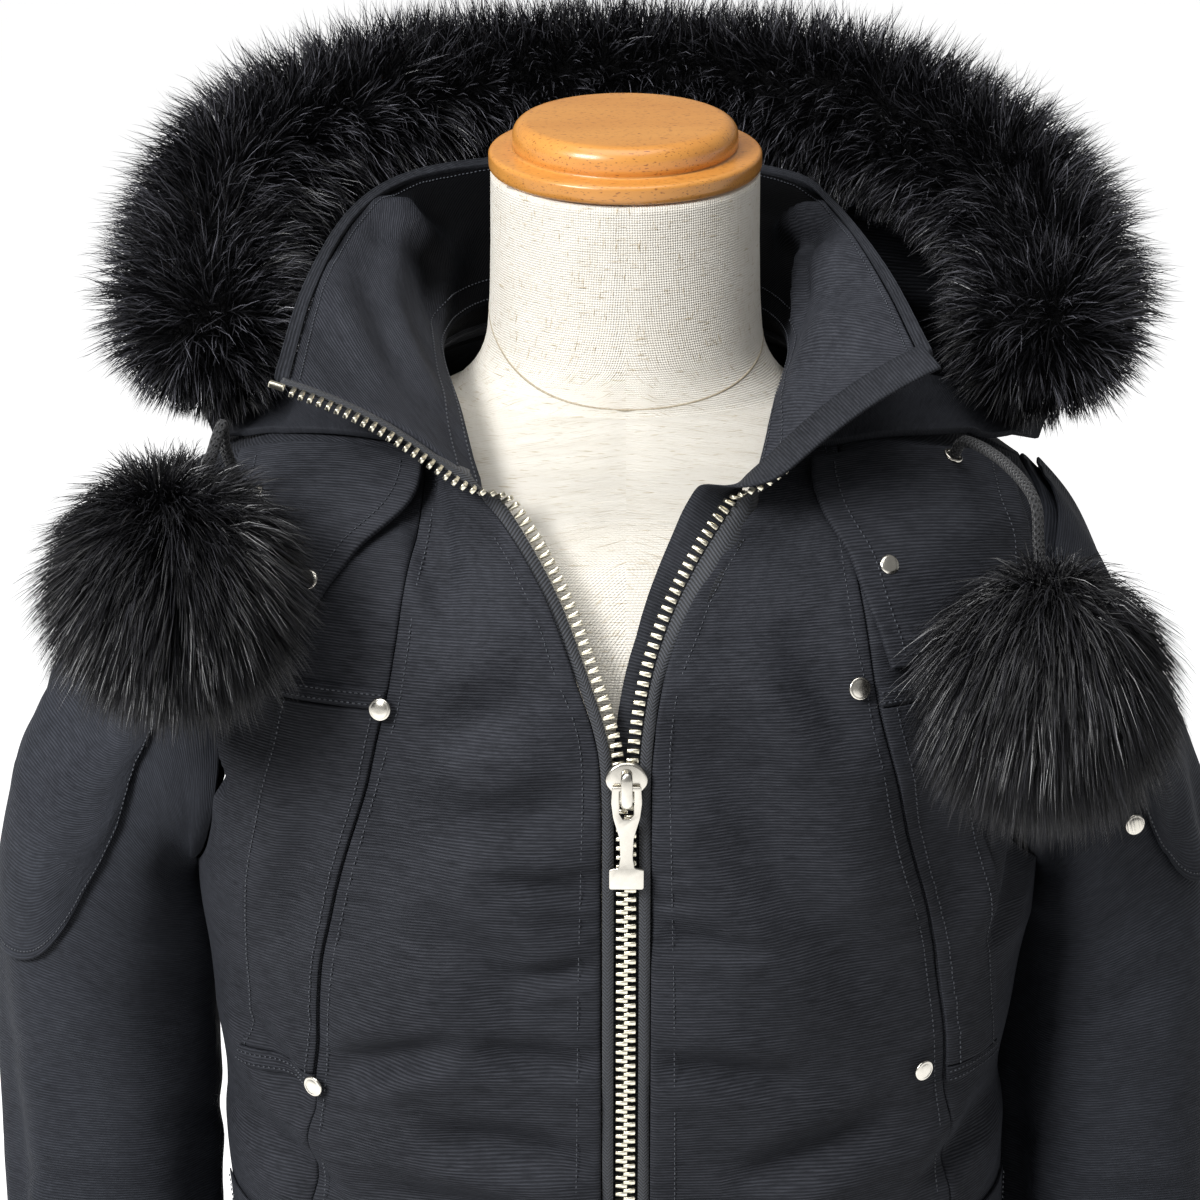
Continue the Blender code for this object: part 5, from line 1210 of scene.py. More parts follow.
# the sleeve's whole surface as a table, eased where the upper arm meets the even rings
sleeveTable = {}
tableTurns = turnsOf(160)
tableRows = np.concatenate((np.linspace(0, 1, 110)[:-1], np.linspace(1, 2, 210)))
for side in "LR":
    table = sleevePoint(side, tableRows[:, None], tableTurns)
    eased = int(np.searchsorted(tableRows, 1.55))
    ease(table, sleeves["easing"], 3, eased)
    # under the arm the cloth runs on evenly from the armhole to the sleeve
    even = table.copy()
    first, end = np.searchsorted(tableRows, (0.3, 1.5))
    ease(even, 5 * sleeves["easing"], first, end)
    inner = np.clip(0.45 - 1.2 * np.cos(tableTurns), 0, 1)[:, None]
    sleeveTable[side] = table + (even - table) * inner * inner * (3 - 2 * inner)


def sleeveAt(side, s, turn):
    s, turn = np.broadcast_arrays(np.asarray(s, float), np.asarray(turn, float))
    row = np.clip(np.interp(s, tableRows, np.arange(len(tableRows))), 0, len(tableRows) - 1.001)
    column = turn / (2 * math.pi) * len(tableTurns) % len(tableTurns)
    r, c = row.astype(int), column.astype(int)
    f, g = (row - r)[..., None], (column - c)[..., None]
    n = (c + 1) % len(tableTurns)
    table = sleeveTable[side]
    return ((table[r, c] * (1 - g) + table[r, n] * g) * (1 - f)
            + (table[r + 1, c] * (1 - g) + table[r + 1, n] * g) * f)


# down counts about 0.36 m a step and round about 0.055 m a radian
def turnedCreases(rows, s, turn):
    quarter = math.pi / 2
    rows = np.array(rows) * (1, quarter, 1, quarter, 1, 1, 1)
    return sum(sharedCreases(rows + (0, shift, 0, shift, 0, 0, 0), s, turn, 0.36, 0.055, 0.22, 0.3)
               for shift in (-2 * math.pi, 0, 2 * math.pi))


def sleeveRelief(side, s, turn):
    seed = 23 if side == "L" else 29
    s, turn = np.broadcast_arrays(s, turn)
    # the upper sleeve hangs nearly smooth, and the creases deepen towards elbow and wrist
    depth = 0.3 + 0.55 * np.clip((s - 1.35) / 0.25, 0, 1)
    relief = depth * turnedCreases(sleeveCreases[side], s, turn)
    c, n = np.cos(turn), np.sin(turn)
    relief += sleeves["unevenness"] * drift(s * 0.3 + 0.02 * c, 0.05 * n, 0.12, seed)
    # long soft bands run down the sleeve
    relief += 0.0042 * drift(s * 0.03 + 0.004 * c, 0.06 * n, 0.036, seed + 3) * np.clip(s / 0.5, 0, 1)
    # the sleeve head is eased into the armhole
    relief += 0.0007 * puckers(s * 0.2, turn * 0.075, 0.021, 0.02, seed + 5)
    # under the arm it is smooth, and lies full against the body
    inside = np.clip(-c, 0, 1) ** 1.5
    under = inside * groove(s, 0.85, 0.35)
    relief = relief * (1 - 0.9 * under)
    full = np.interp(s, *np.array(sleeves["full"][side]).T)
    relief = np.clip(relief, -0.0052, 0.0042) + full * inside
    # gathers where the cuff draws the sleeve in
    relief += 0.0012 * puckers((2 - s) * 0.36, turn * 0.045, 0.017, 0.016, seed + 7)
    return relief


for side in "LR":
    turns = turnsOf(sleeves["around"])
    s = np.unique(np.concatenate(([0, 0.004, 0.01, 0.018, 1.9905, 1.995], np.linspace(0.03, 1, 38)[:-1],
                                  1 + 0.998 * np.linspace(0, 1, 74))))
    grid = sleeveAt(side, s[:, None], turns)
    normals = outwardNormals(grid, True)
    relief = sleeveRelief(side, s[:, None], turns[None, :])
    sleeve = clothPiece(f"sleeve{side}", grid, normals, clothWall, paintedLightSleeveCloth, relief=relief, around=True)
    declareSheet(sleeve, "cloth", [f"sleeve_{side}"], (0.43, 0.56), "folded", [])

    # the patch is a long U, laid over the sleeve's outside
    u = 2 * spaced(0.2, 0.0042)[None, :] - 1
    levels = spaced(0.2, 0.004)[:, None]
    reach = (1 - np.abs(0.992 * u) ** sleeves["patchRound"]) ** (1 / sleeves["patchRound"]) * levels
    half = np.interp(reach, *np.array(sleeves["patchHalf"][side]).T)
    patchS = sleeves["patchTop"] + (sleeves["patchEnd"][side] - sleeves["patchTop"]) * reach
    patchTurn = (0.5 + half * u) * 2 * math.pi / 20
    grid = sleeveAt(side, patchS, patchTurn)
    middles = sleeveAt(side, patchS.mean(axis=1)[:, None], np.arange(24) * math.pi / 12).mean(axis=1, keepdims=True)
    normals = outwardNormals(grid, centres=middles)
    fromSide = np.minimum(*fromEdges(grid))
    fromEnd = np.linalg.norm(grid - grid[-1:], axis=-1)
    fromEdge = np.minimum(fromSide, fromEnd)
    relief = sleeveRelief(side, patchS, patchTurn)
    relief += 0.0007 * puckers(fromEnd, patchTurn * 0.055, 0.008, 0.012, 79)
    relief += 0.0003 * puckers(fromSide, patchS * 0.2, 0.0085, 0.01, 80)
    relief -= 0.0005 * groove(fromEdge, 0.005, 0.0011)
    patch = clothPiece(f"sleevePatch{side}", grid, normals, layerWall, paintedLightSleeveCloth, sleeves["patchLift"], relief)
    declareSheet(patch, "cloth", [f"sleeve_patch_{side}"], (0.25, 0.26), "folded", [f"sleeve_{side}"])
    face = grid + normals * (relief + sleeves["patchLift"])[..., None]
    column = columnAt(fromSide[len(fromSide) // 2, :len(fromSide[0]) // 2], 0.005)
    row = columnAt(fromEnd[:, len(fromEnd[0]) // 2], 0.005)
    stitchRound(face, normals, 6, row, column, -column - 1)

    turns = turnsOf(knit["cuffRibs"] * 8)
    z = np.linspace(0.2265, 0.167, 17)
    tight = np.interp(z, (0.167, 0.217, 0.2265), (0.97, 0.85, 0.93))
    middle, out, ahead, half, deep, _ = sleeveRing(side, z)
    grid = (middle[:, None] + out[:, None] * (half * tight[:, None])[:, None] * np.cos(turns)[:, None]
            + ahead[:, None] * (deep * tight[:, None])[:, None] * np.sin(turns)[:, None])
    normals = outwardNormals(grid, True)
    ribs = np.broadcast_to(ribsAt(turns * knit["cuffRibs"]), grid.shape[:2])
    cuff = clothPiece(f"cuff{side}", grid, normals, ribWall, ribKnit, relief=ribs, around=True)
    declareSheet(cuff, "rib_knit", [f"cuff_{side}"], (0.27, 0.064), "folded", [])
print("sleeves ready")

# collar
# base point, then top point, from the left front round the back to the right front
collarRows = mm((
    (-60, -123, 769, -145, -108, 814), (-70, -85, 792.5, -138, -42, 837),
    (-80, -32, 809, -123, 26, 857), (-69, 20, 813.5, -100, 82, 864),
    (-40, 56, 812, -58, 125, 864), (-4, 69, 812, -4, 143, 863),
    (32, 56, 812, 48, 123, 863), (61, 20, 813.5, 84, 79, 863),
    (72, -32, 809.5, 96, 24, 860), (62.5, -85, 792.5, 113, -44, 844),
    (53, -124, 770, 126, -108, 824),
))
collarOf = {
    "wall": 0.005, "bindingWall": 0.0072, "bulge": 0.007, "across": 0.005, "up": 0.0026, "foldDepth": 1.5,
    "bindingFrom": 0.936, "foot": (1.0, 0.96, 0.85, 0.6, 0.35, 0.15),
}
# place along (0 left front, 1 right front) and up (0 neck seam, 1 edge) of the collar's own folds
collarCreases = (
    (0.03, 0.4, 0.15, 0.93, 0.01, 0.0026, 0.02), (0.07, 0.15, 0.21, 0.62, 0.0085, 0.002, 0.02),
    (0.17, 0.3, 0.3, 0.86, 0.0085, 0.0022, 0.02), (0.27, 0.12, 0.34, 0.5, 0.0075, 0.0017, 0.01),
    (0.39, 0.2, 0.46, 0.75, 0.008, 0.0016, 0.01), (0.54, 0.25, 0.59, 0.8, 0.008, 0.0016, 0.01),
    (0.68, 0.15, 0.64, 0.6, 0.008, 0.0018, 0.01), (0.76, 0.85, 0.7, 0.4, 0.009, 0.0022, 0.02),
    (0.86, 0.88, 0.78, 0.35, 0.0095, 0.0024, 0.02), (0.96, 0.9, 0.86, 0.3, 0.011, 0.0026, 0.02),
    (0.97, 0.4, 0.9, 0.12, 0.0085, 0.0018, 0.02), (0.225, 1.0, 0.29, 0.28, 0.009, 0.0044, 0.01),
    (0.295, 0.36, 0.215, 0.0, 0.007, 0.0036, 0.01), (0.79, 1.0, 0.69, 0.42, 0.008, 0.0036, 0.01),
    (0.75, 0.56, 0.81, 0.06, 0.006, 0.0036, 0.01),
)


def collarPoint(t, v):
    t, v = np.broadcast_arrays(np.asarray(t, float), np.asarray(v, float))
    row = splineAt(collarRows, t)
    bulge = collarOf["bulge"] * np.sin(math.pi * np.clip(v, 0, 1))
    return row[..., :3] + (row[..., 3:] - row[..., :3]) * v[..., None] + np.stack((0 * bulge, 0 * bulge, bulge), -1)


def collarNormal(t, v):
    step = 1e-3
    t, v = np.broadcast_arrays(np.asarray(t, float), np.asarray(v, float))
    along = collarPoint(np.minimum(t + step, 1), v) - collarPoint(np.maximum(t - step, 0), v)
    return -unit(np.cross(along, collarPoint(t, v + step) - collarPoint(t, v - step)))


t = spaced(0.46, collarOf["across"])
v = 0.012 + (collarOf["bindingFrom"] - 0.018) * spaced(0.095, collarOf["up"])
T, V = np.meshgrid(t, v)
points, normals = collarPoint(T, V), collarNormal(T, V)
relief = collarOf["foldDepth"] * sharedCreases(collarCreases, T, V, 0.46, 0.09, 1.0, 0.1)
relief += 0.001 * drift(T * 0.46, V * 0.09, 0.055, 31)
fromBinding = (collarOf["bindingFrom"] - V) * 0.09
relief += 0.0007 * puckers(fromBinding, T * 0.46, 0.008, 0.01, 33)
relief += 0.0006 * groove(fromBinding, 0.005, 0.0011)
relief += 0.0006 * puckers((V - 0.012) * 0.09, T * 0.46, 0.01, 0.012, 35)
relief *= np.clip(V * 12, 0, 1)
relief = np.clip(relief, -0.007, 0.0044)
foot = len(collarOf["foot"])
# the collar's foot runs out over the shoulders and in under the fronts and the back, so that no gap shows beside it
ring = np.linspace(-math.pi, math.pi, 721)[:-1]
under = []
for base, along in zip(points[0], t):
    # beside the neckline's corners it reaches further down
    corner = np.interp(abs(along - 0.5), (0.24, 0.32, 0.45, 0.49), (0, 1, 1, 0))
    height = float(np.clip(base[2] + 0.002 - 0.014 * corner, 0.76, 0.7985))
    edge = bodyPoint(np.full(720, height), ring)
    nearest = int(np.linalg.norm(edge - base, axis=1).argmin())
    under.append(edge[nearest] - bodyNormal(height, ring[nearest]) * 0.0034)
under = np.array(under)
ease(under, 6)
fading = np.clip((0.5 - np.abs(t - 0.5)) / 0.05, 0.06, 1)[:, None]
under = points[0] + (under - points[0]) * fading
footRows = np.stack([points[0] + (under - points[0]) * share for share in collarOf["foot"]])
inside = points + normals * (collarOf["wall"] * -0.4 + relief * 0.85)[..., None]
insideNormals = normals
points = np.concatenate((footRows, points))
upwards = gridNormals(points)
upwards *= np.sign((upwards[foot:] * normals).sum())
normals = np.concatenate((upwards[:foot], normals))
ease(normals, 3, foot - 1, foot + 2, unit)
relief = np.concatenate((np.zeros((foot, len(t))), relief))
collar = clothPiece("collarShell", points, normals, collarOf["wall"], liningCloth, collarOf["wall"] * 0.6, relief)
declareSheet(collar, "cloth", ["collar"], (0.6, 0.135), "folded", [])
# the topstitching runs on the inner face, which is the one that shows when the collar is open
for row in (3, 7, len(v) - 5):
    stitchLines.append((inside[row, 3:-3], -insideNormals[row, 3:-3]))

shareUp = np.linspace(0, 1, 8)[:, None]
v = collarOf["bindingFrom"] + (1.004 - collarOf["bindingFrom"]) * shareUp[:, 0]
t = np.linspace(0, 1, 330)
T, V = np.meshgrid(t, v)
points, normals = collarPoint(T, V), collarNormal(T, np.minimum(V, 0.97))
bound = collarOf["wall"] * 0.6 + (collarOf["bindingWall"] - collarOf["wall"]) / 2
# the bias strip is rolled round the edge, so it is round across and its puckers run aslant
gathers = np.sin(T * 0.55 / 0.007 * 2 * math.pi + shareUp * 2.2 + 2.2 * drift(T, V * 0, 0.05, 37))
relief = 0.0007 * gathers * np.sin(shareUp * math.pi) * (0.6 + 0.4 * drift(T, V * 0, 0.11, 38))
relief -= 0.0024 * np.abs(2 * shareUp - 1) ** 3
binding = clothPiece("collarBinding", points, normals, collarOf["bindingWall"], edgeCloth, bound, relief)
declareSheet(binding, "cloth", ["collar_binding"], (0.64, 0.016), "folded", ["collar"])
print("collar ready")

# hood, laid back over the shoulders
ruffLine = mm((
    (-174, -34, 802), (-181, -10, 810), (-185, 16, 821), (-186, 42, 835),
    (-179, 70, 853), (-161, 100, 868), (-133, 130, 879), (-99, 152, 885),
    (-56, 169, 888), (-2, 176, 889), (52, 169, 887), (96, 152, 883),
    (133, 128, 874), (163, 98, 860), (180, 70, 847), (187, 42, 833),
    (187, 15, 819), (184, -11, 808), (178, -35, 800),
))
ruff = {"core": 0.033, "tip": 0.056}
hoodHalf = mm((
    ((-82, -96, 5), (-98, -85, 5), (-115, -72, 5), (-133, -57, 5),
     (-150, -40, 5), (-167, -22, 5), (-182, -4, 5.5)),
    ((-93.5, -23, 805.5), (-108, -12, 799), (-128, 2, 791), (-150, 18, 783),
     (-174, 33, 778), (-194, 40, 780), (-201, 40, 803)),
    ((-64, 42, 812.5), (-78, 70, 800), (-98, 104, 768), (-125, 138, 738),
     (-160, 158, 752), (-184, 160, 795), (-174, 126, 846)),
    ((-4, 79, 813), (-4, 103, 790), (-4, 128, 735), (-4, 165, 690),
     (-4, 208, 715), (-4, 226, 790), (-4, 203, 862)),
))
hoodOf = {"wall": 0.0036, "skew": 0.01, "clear": 0.0042, "lift": 0.005, "columns": 100, "rows": 43}
hoodHalf[0, :, 2] += shoulderHeight(hoodHalf[0, :, 0], hoodHalf[0, :, 1])
mirrored = hoodHalf[:-1][::-1].copy()
mirrored[..., 0] = 2 * middleX - mirrored[..., 0] + hoodOf["skew"] * np.linspace(0, 1, 7)
hoodSections = np.concatenate((hoodHalf, mirrored))

v = spaced(0.2, 0.2 / hoodOf["rows"])
t = spaced(0.55, 0.55 / hoodOf["columns"])
grid = np.stack([splineAt(splineAt(np.moveaxis(hoodSections, 1, 0), np.array([level]))[0], t) for level in v])
furLine = splineAt(ruffLine, np.linspace(0, 1, 120))
gaps = np.linalg.norm(grid[:, :, None] - furLine, axis=-1)
nearest = furLine[gaps.argmin(axis=-1)]
reach = gaps.min(axis=-1)[..., None]
grid += (grid - nearest) / reach * np.clip(ruff["core"] + hoodOf["clear"] - reach, 0, None)
under = insideRing(smoothAt(bodyRows, 0.742), grid[..., 0], grid[..., 1])   # over the shoulders
grid[..., 2] = np.where(under, np.maximum(grid[..., 2], shoulderHeight(grid[..., 0], grid[..., 1]) + hoodOf["lift"]),
                        grid[..., 2])
normals = outwardNormals(grid, centres=np.array((middleX, 0.06, 0.95)))
# folds radiate from the neck seam and sag across the back of the hood
hoodCreases = (
    (0.06, 0.3, 0.2, 0.8, 0.03, 0.0034, 0.02), (0.18, 0.15, 0.32, 0.62, 0.03, 0.0036, 0.02),
    (0.3, 0.42, 0.46, 0.64, 0.03, 0.004, 0.03), (0.37, 0.72, 0.62, 0.78, 0.034, 0.0042, 0.03),
    (0.44, 0.22, 0.5, 0.56, 0.026, 0.003, 0.02), (0.55, 0.6, 0.72, 0.38, 0.03, 0.004, 0.02),
    (0.68, 0.66, 0.84, 0.16, 0.03, 0.0036, 0.02), (0.8, 0.82, 0.94, 0.34, 0.03, 0.0034, 0.02),
    (0.26, 0.9, 0.44, 0.92, 0.026, 0.003, 0.01), (0.56, 0.92, 0.74, 0.88, 0.026, 0.003, 0.01),
)
T, V = np.meshgrid(t, v)
relief = sharedCreases(hoodCreases, T, V, 0.55, 0.2, 0.36, 0.2)
relief += 0.0013 * drift(T * 0.55, V * 0.2, 0.1, 19) + 0.0009 * puckers(V * 0.2, T * 0.5, 0.015, 0.016, 20)
relief *= np.clip(np.minimum(V * 14, (1 - V) * 6), 0, 1) * np.where(under, 0.45, 1.0)
relief = np.clip(relief, -0.0045, 0.0026)
hood = clothPiece("hoodShell", grid, normals, hoodOf["wall"], shellCloth, hoodOf["wall"] / 2, relief)
declareSheet(hood, "cloth", ["hood"], (0.78, 0.33), "folded", ["backPanel"])

# hood flaps: z, x of the inner edge, x of the outer edge
flapLow, flapLift, flapDrop = 0.7, 0.0056, 0.0012
flapRows = {"L": mm(((700, -137, -172), (713.7, -132, -174), (746.6, -109, -176), (766, -94, -164), (780, -84, -120))),
            "R": mm(((700, 108, 162), (718, 101.5, 166), (738, 93, 170), (766, 82, 158), (780, 76, 112))),}


def flapPoint(side, u, v):
    u, v = np.broadcast_arrays(np.asarray(u, float), np.asarray(v, float))
    top = splineAt(hoodSections[0 if side == "L" else -1], 0.02 + 0.8 * u)
    zTop = shoulderHeight(top[..., 0], top[..., 1])
    z = zTop + (flapLow - zTop) * v
    inner, outer = np.moveaxis(smoothAt(flapRows[side], z), -1, 0)
    blend = np.clip(v / 0.45, 0, 1)
    x = top[..., 0] + (inner + (outer - inner) * u - top[..., 0]) * blend * blend * (3 - 2 * blend)
    z = z - flapDrop
    angle = angleAtX(z, x)
    return bodyPoint(z, angle), bodyNormal(z, angle)


for side in "LR":
    v = 0.012 + 0.988 * spaced(0.1, 0.0022)
    u = spaced(0.06, 0.0024)
    U, V = np.meshgrid(u, v)
    points, normals = flapPoint(side, U, V)
    relief = 0.0007 * drift(U * 0.06, V * 0.1, 0.035, 83 if side == "L" else 89)
    relief += (0.0009 * np.exp(-((U - 0.5) ** 2) * 3)
               + 0.0005 * puckers(np.minimum(U, 1 - U) * 0.055, V * 0.1, 0.0085, 0.01, 85))
    relief = np.clip(relief, 0, 0.0016)
    for distance in (U, 1 - U):
        relief -= 0.0004 * np.exp(-(((distance * 0.055 - 0.0055) / 0.0011) ** 2))
    flap = clothPiece(f"hoodFlap{side}", points, normals, flapWall, shellCloth, flapLift, relief)
    declareSheet(flap, "cloth", [f"hood_flap_{side}"], (0.062, 0.12), "folded",
                 [f"frontCenter{side}", f"frontSide{side}"])
    face = points + normals * (flapLift + relief)[..., None]
    stitchRound(face, normals, 4, len(v) - 6, *(columnAt(d * 0.055, 0.0055) for d in (u, 1 - u)))
print("hood and flaps ready")


# fur
# hairs grow on a core's faces: each is a thin flat ribbon that tapers, leans with its clump and
# with the comb direction, and waves a little towards its tip
def hairItem(name, levels):
    work = bmesh.new()
    previous = None
    for z, half in levels:
        if half > 0:
            row = [work.verts.new((-half, 0, z)), work.verts.new((half, 0, z))]
            if previous:
                work.faces.new((previous[0], previous[1], row[1], row[0]))
        else:
            tip = work.verts.new((0, 0, z))
            work.faces.new((previous[0], previous[1], tip))
            row = None
        previous = row
    mesh = bpy.data.meshes.new(name)
    work.to_mesh(mesh)
    work.free()
    return bpy.data.objects.new(name, mesh)


guardHair = hairItem("guardHairItem", ((0, 0.5), (0.3, 0.45), (0.55, 0.38), (0.8, 0.22), (1.0, 0)))
woolHair = hairItem("woolHairItem", ((0, 0.5), (0.6, 0.36), (1.0, 0)))


def furTree():
    tree, start, end = newTree("fur grown on faces", (
        ("Density", "NodeSocketFloat", 100000.0), ("Length", "NodeSocketFloat", 0.03),
        ("Spread", "NodeSocketFloat", 0.3), ("Width", "NodeSocketFloat", 0.0004),
        ("Comb", "NodeSocketVector", None), ("Clump", "NodeSocketFloat", 0.35),
        ("ClumpScale", "NodeSocketFloat", 70.0), ("Wander", "NodeSocketFloat", 0.25),
        ("Wave", "NodeSocketFloat", 0.2), ("Paleness", "NodeSocketFloat", 1.0), ("Sag", "NodeSocketVector", None),
        ("Seed", "NodeSocketInt", 1), ("Hair", "NodeSocketObject", None), ("Material", "NodeSocketMaterial", None)))

    # draws that follow the tree's own seed, each with its own number added to it
    drawn = {}
    for label, offset, kind, bounds in (
            ("stray", 3, "FLOAT_VECTOR", {0: (-1.0,) * 3, 1: (1.0,) * 3}), ("spin", 5, "FLOAT", {2: 0.0, 3: 6.28}),
            ("length", 7, "FLOAT", {2: 0.55, 3: 1.0}), ("tone", 9, "FLOAT", {2: 0.0, 3: 1.0})):
        shifted = addNode(tree, "ShaderNodeMath", {0: start.outputs["Seed"], 1: float(offset)}, operation="ADD")
        draw = addNode(tree, "FunctionNodeRandomValue", {**bounds, "Seed": shifted}, data_type=kind)
        drawn[label] = draw.outputs[1 if kind == "FLOAT" else 0]

    spots = addNode(tree, "GeometryNodeDistributePointsOnFaces", {
        "Mesh": start.outputs["Geometry"], "Density": start.outputs["Density"], "Seed": start.outputs["Seed"]})
    place = addNode(tree, "GeometryNodeInputPosition")
    # what each root knows of its core: which way is out, how long and how flat its hair may lie
    allowed = addNode(tree, "GeometryNodeInputNamedAttribute", {"Name": "allowed"}, data_type="FLOAT")
    outward = spots.outputs["Normal"]
    long = addNode(tree, "ShaderNodeMath", {0: start.outputs["Length"], 1: allowed}, operation="MULTIPLY").outputs[0]
    straight = addNode(tree, "ShaderNodeVectorMath", {0: outward, "Scale": long}, operation="SCALE").outputs[0]
    # clumps: hairs of one cell lean towards the cell's middle
    cells = addNode(tree, "ShaderNodeTexVoronoi", {"Vector": place, "Scale": start.outputs["ClumpScale"]},
                    feature="F1")
    toMiddle = addNode(tree, "ShaderNodeVectorMath", {0: cells.outputs["Position"], 1: place},
                       operation="SUBTRACT").outputs[0]
    pull = addNode(tree, "ShaderNodeVectorMath", {0: toMiddle, "Scale": start.outputs["Clump"]},
                   operation="SCALE").outputs[0]
    cellColour = addNode(tree, "ShaderNodeVectorMath", {0: cells.outputs["Color"], 1: (0.5, 0.5, 0.5)},
                         operation="SUBTRACT").outputs[0]
    cellLean = addNode(tree, "ShaderNodeVectorMath", {0: cellColour, "Scale": start.outputs["Wander"]},
                       operation="SCALE").outputs[0]
    cellWay = addNode(tree, "ShaderNodeVectorMath", {0: cellLean, "Scale": long}, operation="SCALE").outputs[0]
    combed = addNode(tree, "ShaderNodeVectorMath", {0: start.outputs["Comb"], "Scale": long},
                     operation="SCALE").outputs[0]
    strayLong = addNode(tree, "ShaderNodeVectorMath", {0: drawn["stray"], "Scale": start.outputs["Spread"]},
                        operation="SCALE").outputs[0]
    strayWay = addNode(tree, "ShaderNodeVectorMath", {0: strayLong, "Scale": long}, operation="SCALE").outputs[0]
    total = straight
    for extra in (pull, cellWay, combed, strayWay):
        total = addNode(tree, "ShaderNodeVectorMath", {0: total, 1: extra}, operation="ADD").outputs[0]
    aimed = addNode(tree, "FunctionNodeAlignRotationToVector", {"Vector": total}, axis="Z")
    spin = addNode(tree, "ShaderNodeCombineXYZ", {2: drawn["spin"]})
    spun = addNode(tree, "FunctionNodeRotateRotation", {0: aimed, 1: spin}, rotation_space="LOCAL")
    scaled = addNode(tree, "ShaderNodeMath", {0: long, 1: drawn["length"]}, operation="MULTIPLY")
    size = addNode(tree, "ShaderNodeCombineXYZ", {0: start.outputs["Width"], 1: start.outputs["Width"], 2: scaled})
    item = addNode(tree, "GeometryNodeObjectInfo", {"Object": start.outputs["Hair"]})
    # the item's own height, 0 at the root and 1 at the tip, is kept for the waves and the colour
    itemPlace = addNode(tree, "GeometryNodeInputPosition")
    itemParts = addNode(tree, "ShaderNodeSeparateXYZ", {0: itemPlace})
    marked = addNode(tree, "GeometryNodeStoreNamedAttribute", {
        "Name": "along", 0: item.outputs["Geometry"], "Value": itemParts.outputs[2]}, data_type="FLOAT", domain="POINT")
    hairs = addNode(tree, "GeometryNodeInstanceOnPoints", {
        "Points": spots, "Instance": marked, "Rotation": spun, "Scale": size})
    tone = addNode(tree, "ShaderNodeMath", {0: drawn["tone"], 1: start.outputs["Paleness"]}, operation="MULTIPLY")
    toned = addNode(tree, "GeometryNodeStoreNamedAttribute", {"Name": "tone", 0: hairs, "Value": tone},
                    data_type="FLOAT", domain="INSTANCE")
    real = addNode(tree, "GeometryNodeRealizeInstances", {0: toned})
    alongHair = addNode(tree, "GeometryNodeInputNamedAttribute", {"Name": "along"}, data_type="FLOAT")
    curl = addNode(tree, "ShaderNodeTexNoise", {"Scale": 55.0, "Detail": 1.0, "Vector": place})
    curlWay = addNode(tree, "ShaderNodeVectorMath", {0: curl.outputs["Color"], 1: (0.5, 0.5, 0.5)},
                      operation="SUBTRACT").outputs[0]
    squared = addNode(tree, "ShaderNodeMath", {0: alongHair, 1: 1.6}, operation="POWER")
    much = addNode(tree, "ShaderNodeMath", {0: squared, 1: start.outputs["Wave"]}, operation="MULTIPLY")
    curled = addNode(tree, "ShaderNodeVectorMath", {0: curlWay, "Scale": much}, operation="SCALE")
    # the free end bends over under its own weight
    sunk = addNode(tree, "ShaderNodeMath", {0: alongHair, 1: 2.0}, operation="POWER")
    sagging = addNode(tree, "ShaderNodeVectorMath", {0: start.outputs["Sag"], "Scale": sunk}, operation="SCALE")
    offset = addNode(tree, "ShaderNodeVectorMath", {0: curled, 1: sagging}, operation="ADD")
    waved = addNode(tree, "GeometryNodeSetPosition", {0: real, "Offset": offset})
    painted = addNode(tree, "GeometryNodeSetMaterial", {"Geometry": waved, "Material": start.outputs["Material"]})
    tree.links.new(painted.outputs[0], end.inputs[0])
    return tree


growFur = furTree()


# a core's mesh with, on each point, the share of the full hair length that fits there
def coreMesh(name, points, faces, allowed):
    core = makePiece(name, points, faces, furUnder)
    faceOut(core.data)
    core.data.attributes.new("allowed", "FLOAT", "POINT").data.foreach_set("value", np.asarray(allowed, np.float32))
    return core


def growHair(name, core, hair, values):
    source = bpy.data.objects.new(name + "Root", core.data.copy())
    part.objects.link(source)
    grown = grownOn(name, source, growFur, {**values, "Hair": hair, "Material": furHair})
    grown.data.shade_smooth()
    return finishPiece(grown, "faux_fur")


ruffRings, ruffSides = 150, 26
spots = np.linspace(0, 1, ruffRings)
centres = splineAt(ruffLine, spots)
tangents = unit(np.gradient(centres, axis=0))
sideways = unit(np.cross(tangents, np.array((0, 0, 1.0))))
upward = np.cross(sideways, tangents)
ends = np.minimum(spots, 1 - spots)
radius = (ruff["core"] - 0.003) * (0.55 + 0.45 * np.minimum(1.0, ends / 0.06) ** 0.5)
radius[0] = radius[-1] = 0.0015
radius[1] = radius[-2] = 0.01
turns = turnsOf(ruffSides)
ring = sideways[:, None] * np.cos(turns)[:, None] + upward[:, None] * np.sin(turns)[:, None]
lumps = 1 + 0.05 * drift(spots[:, None] * 0.6, turns * 0.03, 0.06, 91)
points = centres[:, None] + ring * (radius[:, None] * lumps)[..., None]
# underneath, the hair lies between the core and the hood, so it is short there
allowed = np.clip(0.45 + 0.75 * (ring[..., 2] + 0.55), 0.3, 1.0)
# towards the neck it leans on the collar
neckward = np.einsum("rsk,rk->rs", ring, unit(np.array((middleX, 0.0, 0.84)) - centres))
allowed = np.where(neckward > 0.5, np.minimum(allowed, 0.75), allowed)
ruffCore = coreMesh("ruffCore", points.reshape(-1, 3), tubeFaces(ruffRings, ruffSides), allowed.ravel())
finishPiece(ruffCore, "faux_fur", ["hood_fur"])
# paleness above one paints the ruff's hair paler: painted light, where the lamps reach the ruff less than the pom-poms
ruffHair = {"Comb": (0.0, -0.02, -0.08), "Clump": 0.55, "ClumpScale": 85.0, "Wander": 0.42,
            "Wave": 0.008, "Paleness": 1.12, "Sag": (0.0, -0.001, -0.004)}
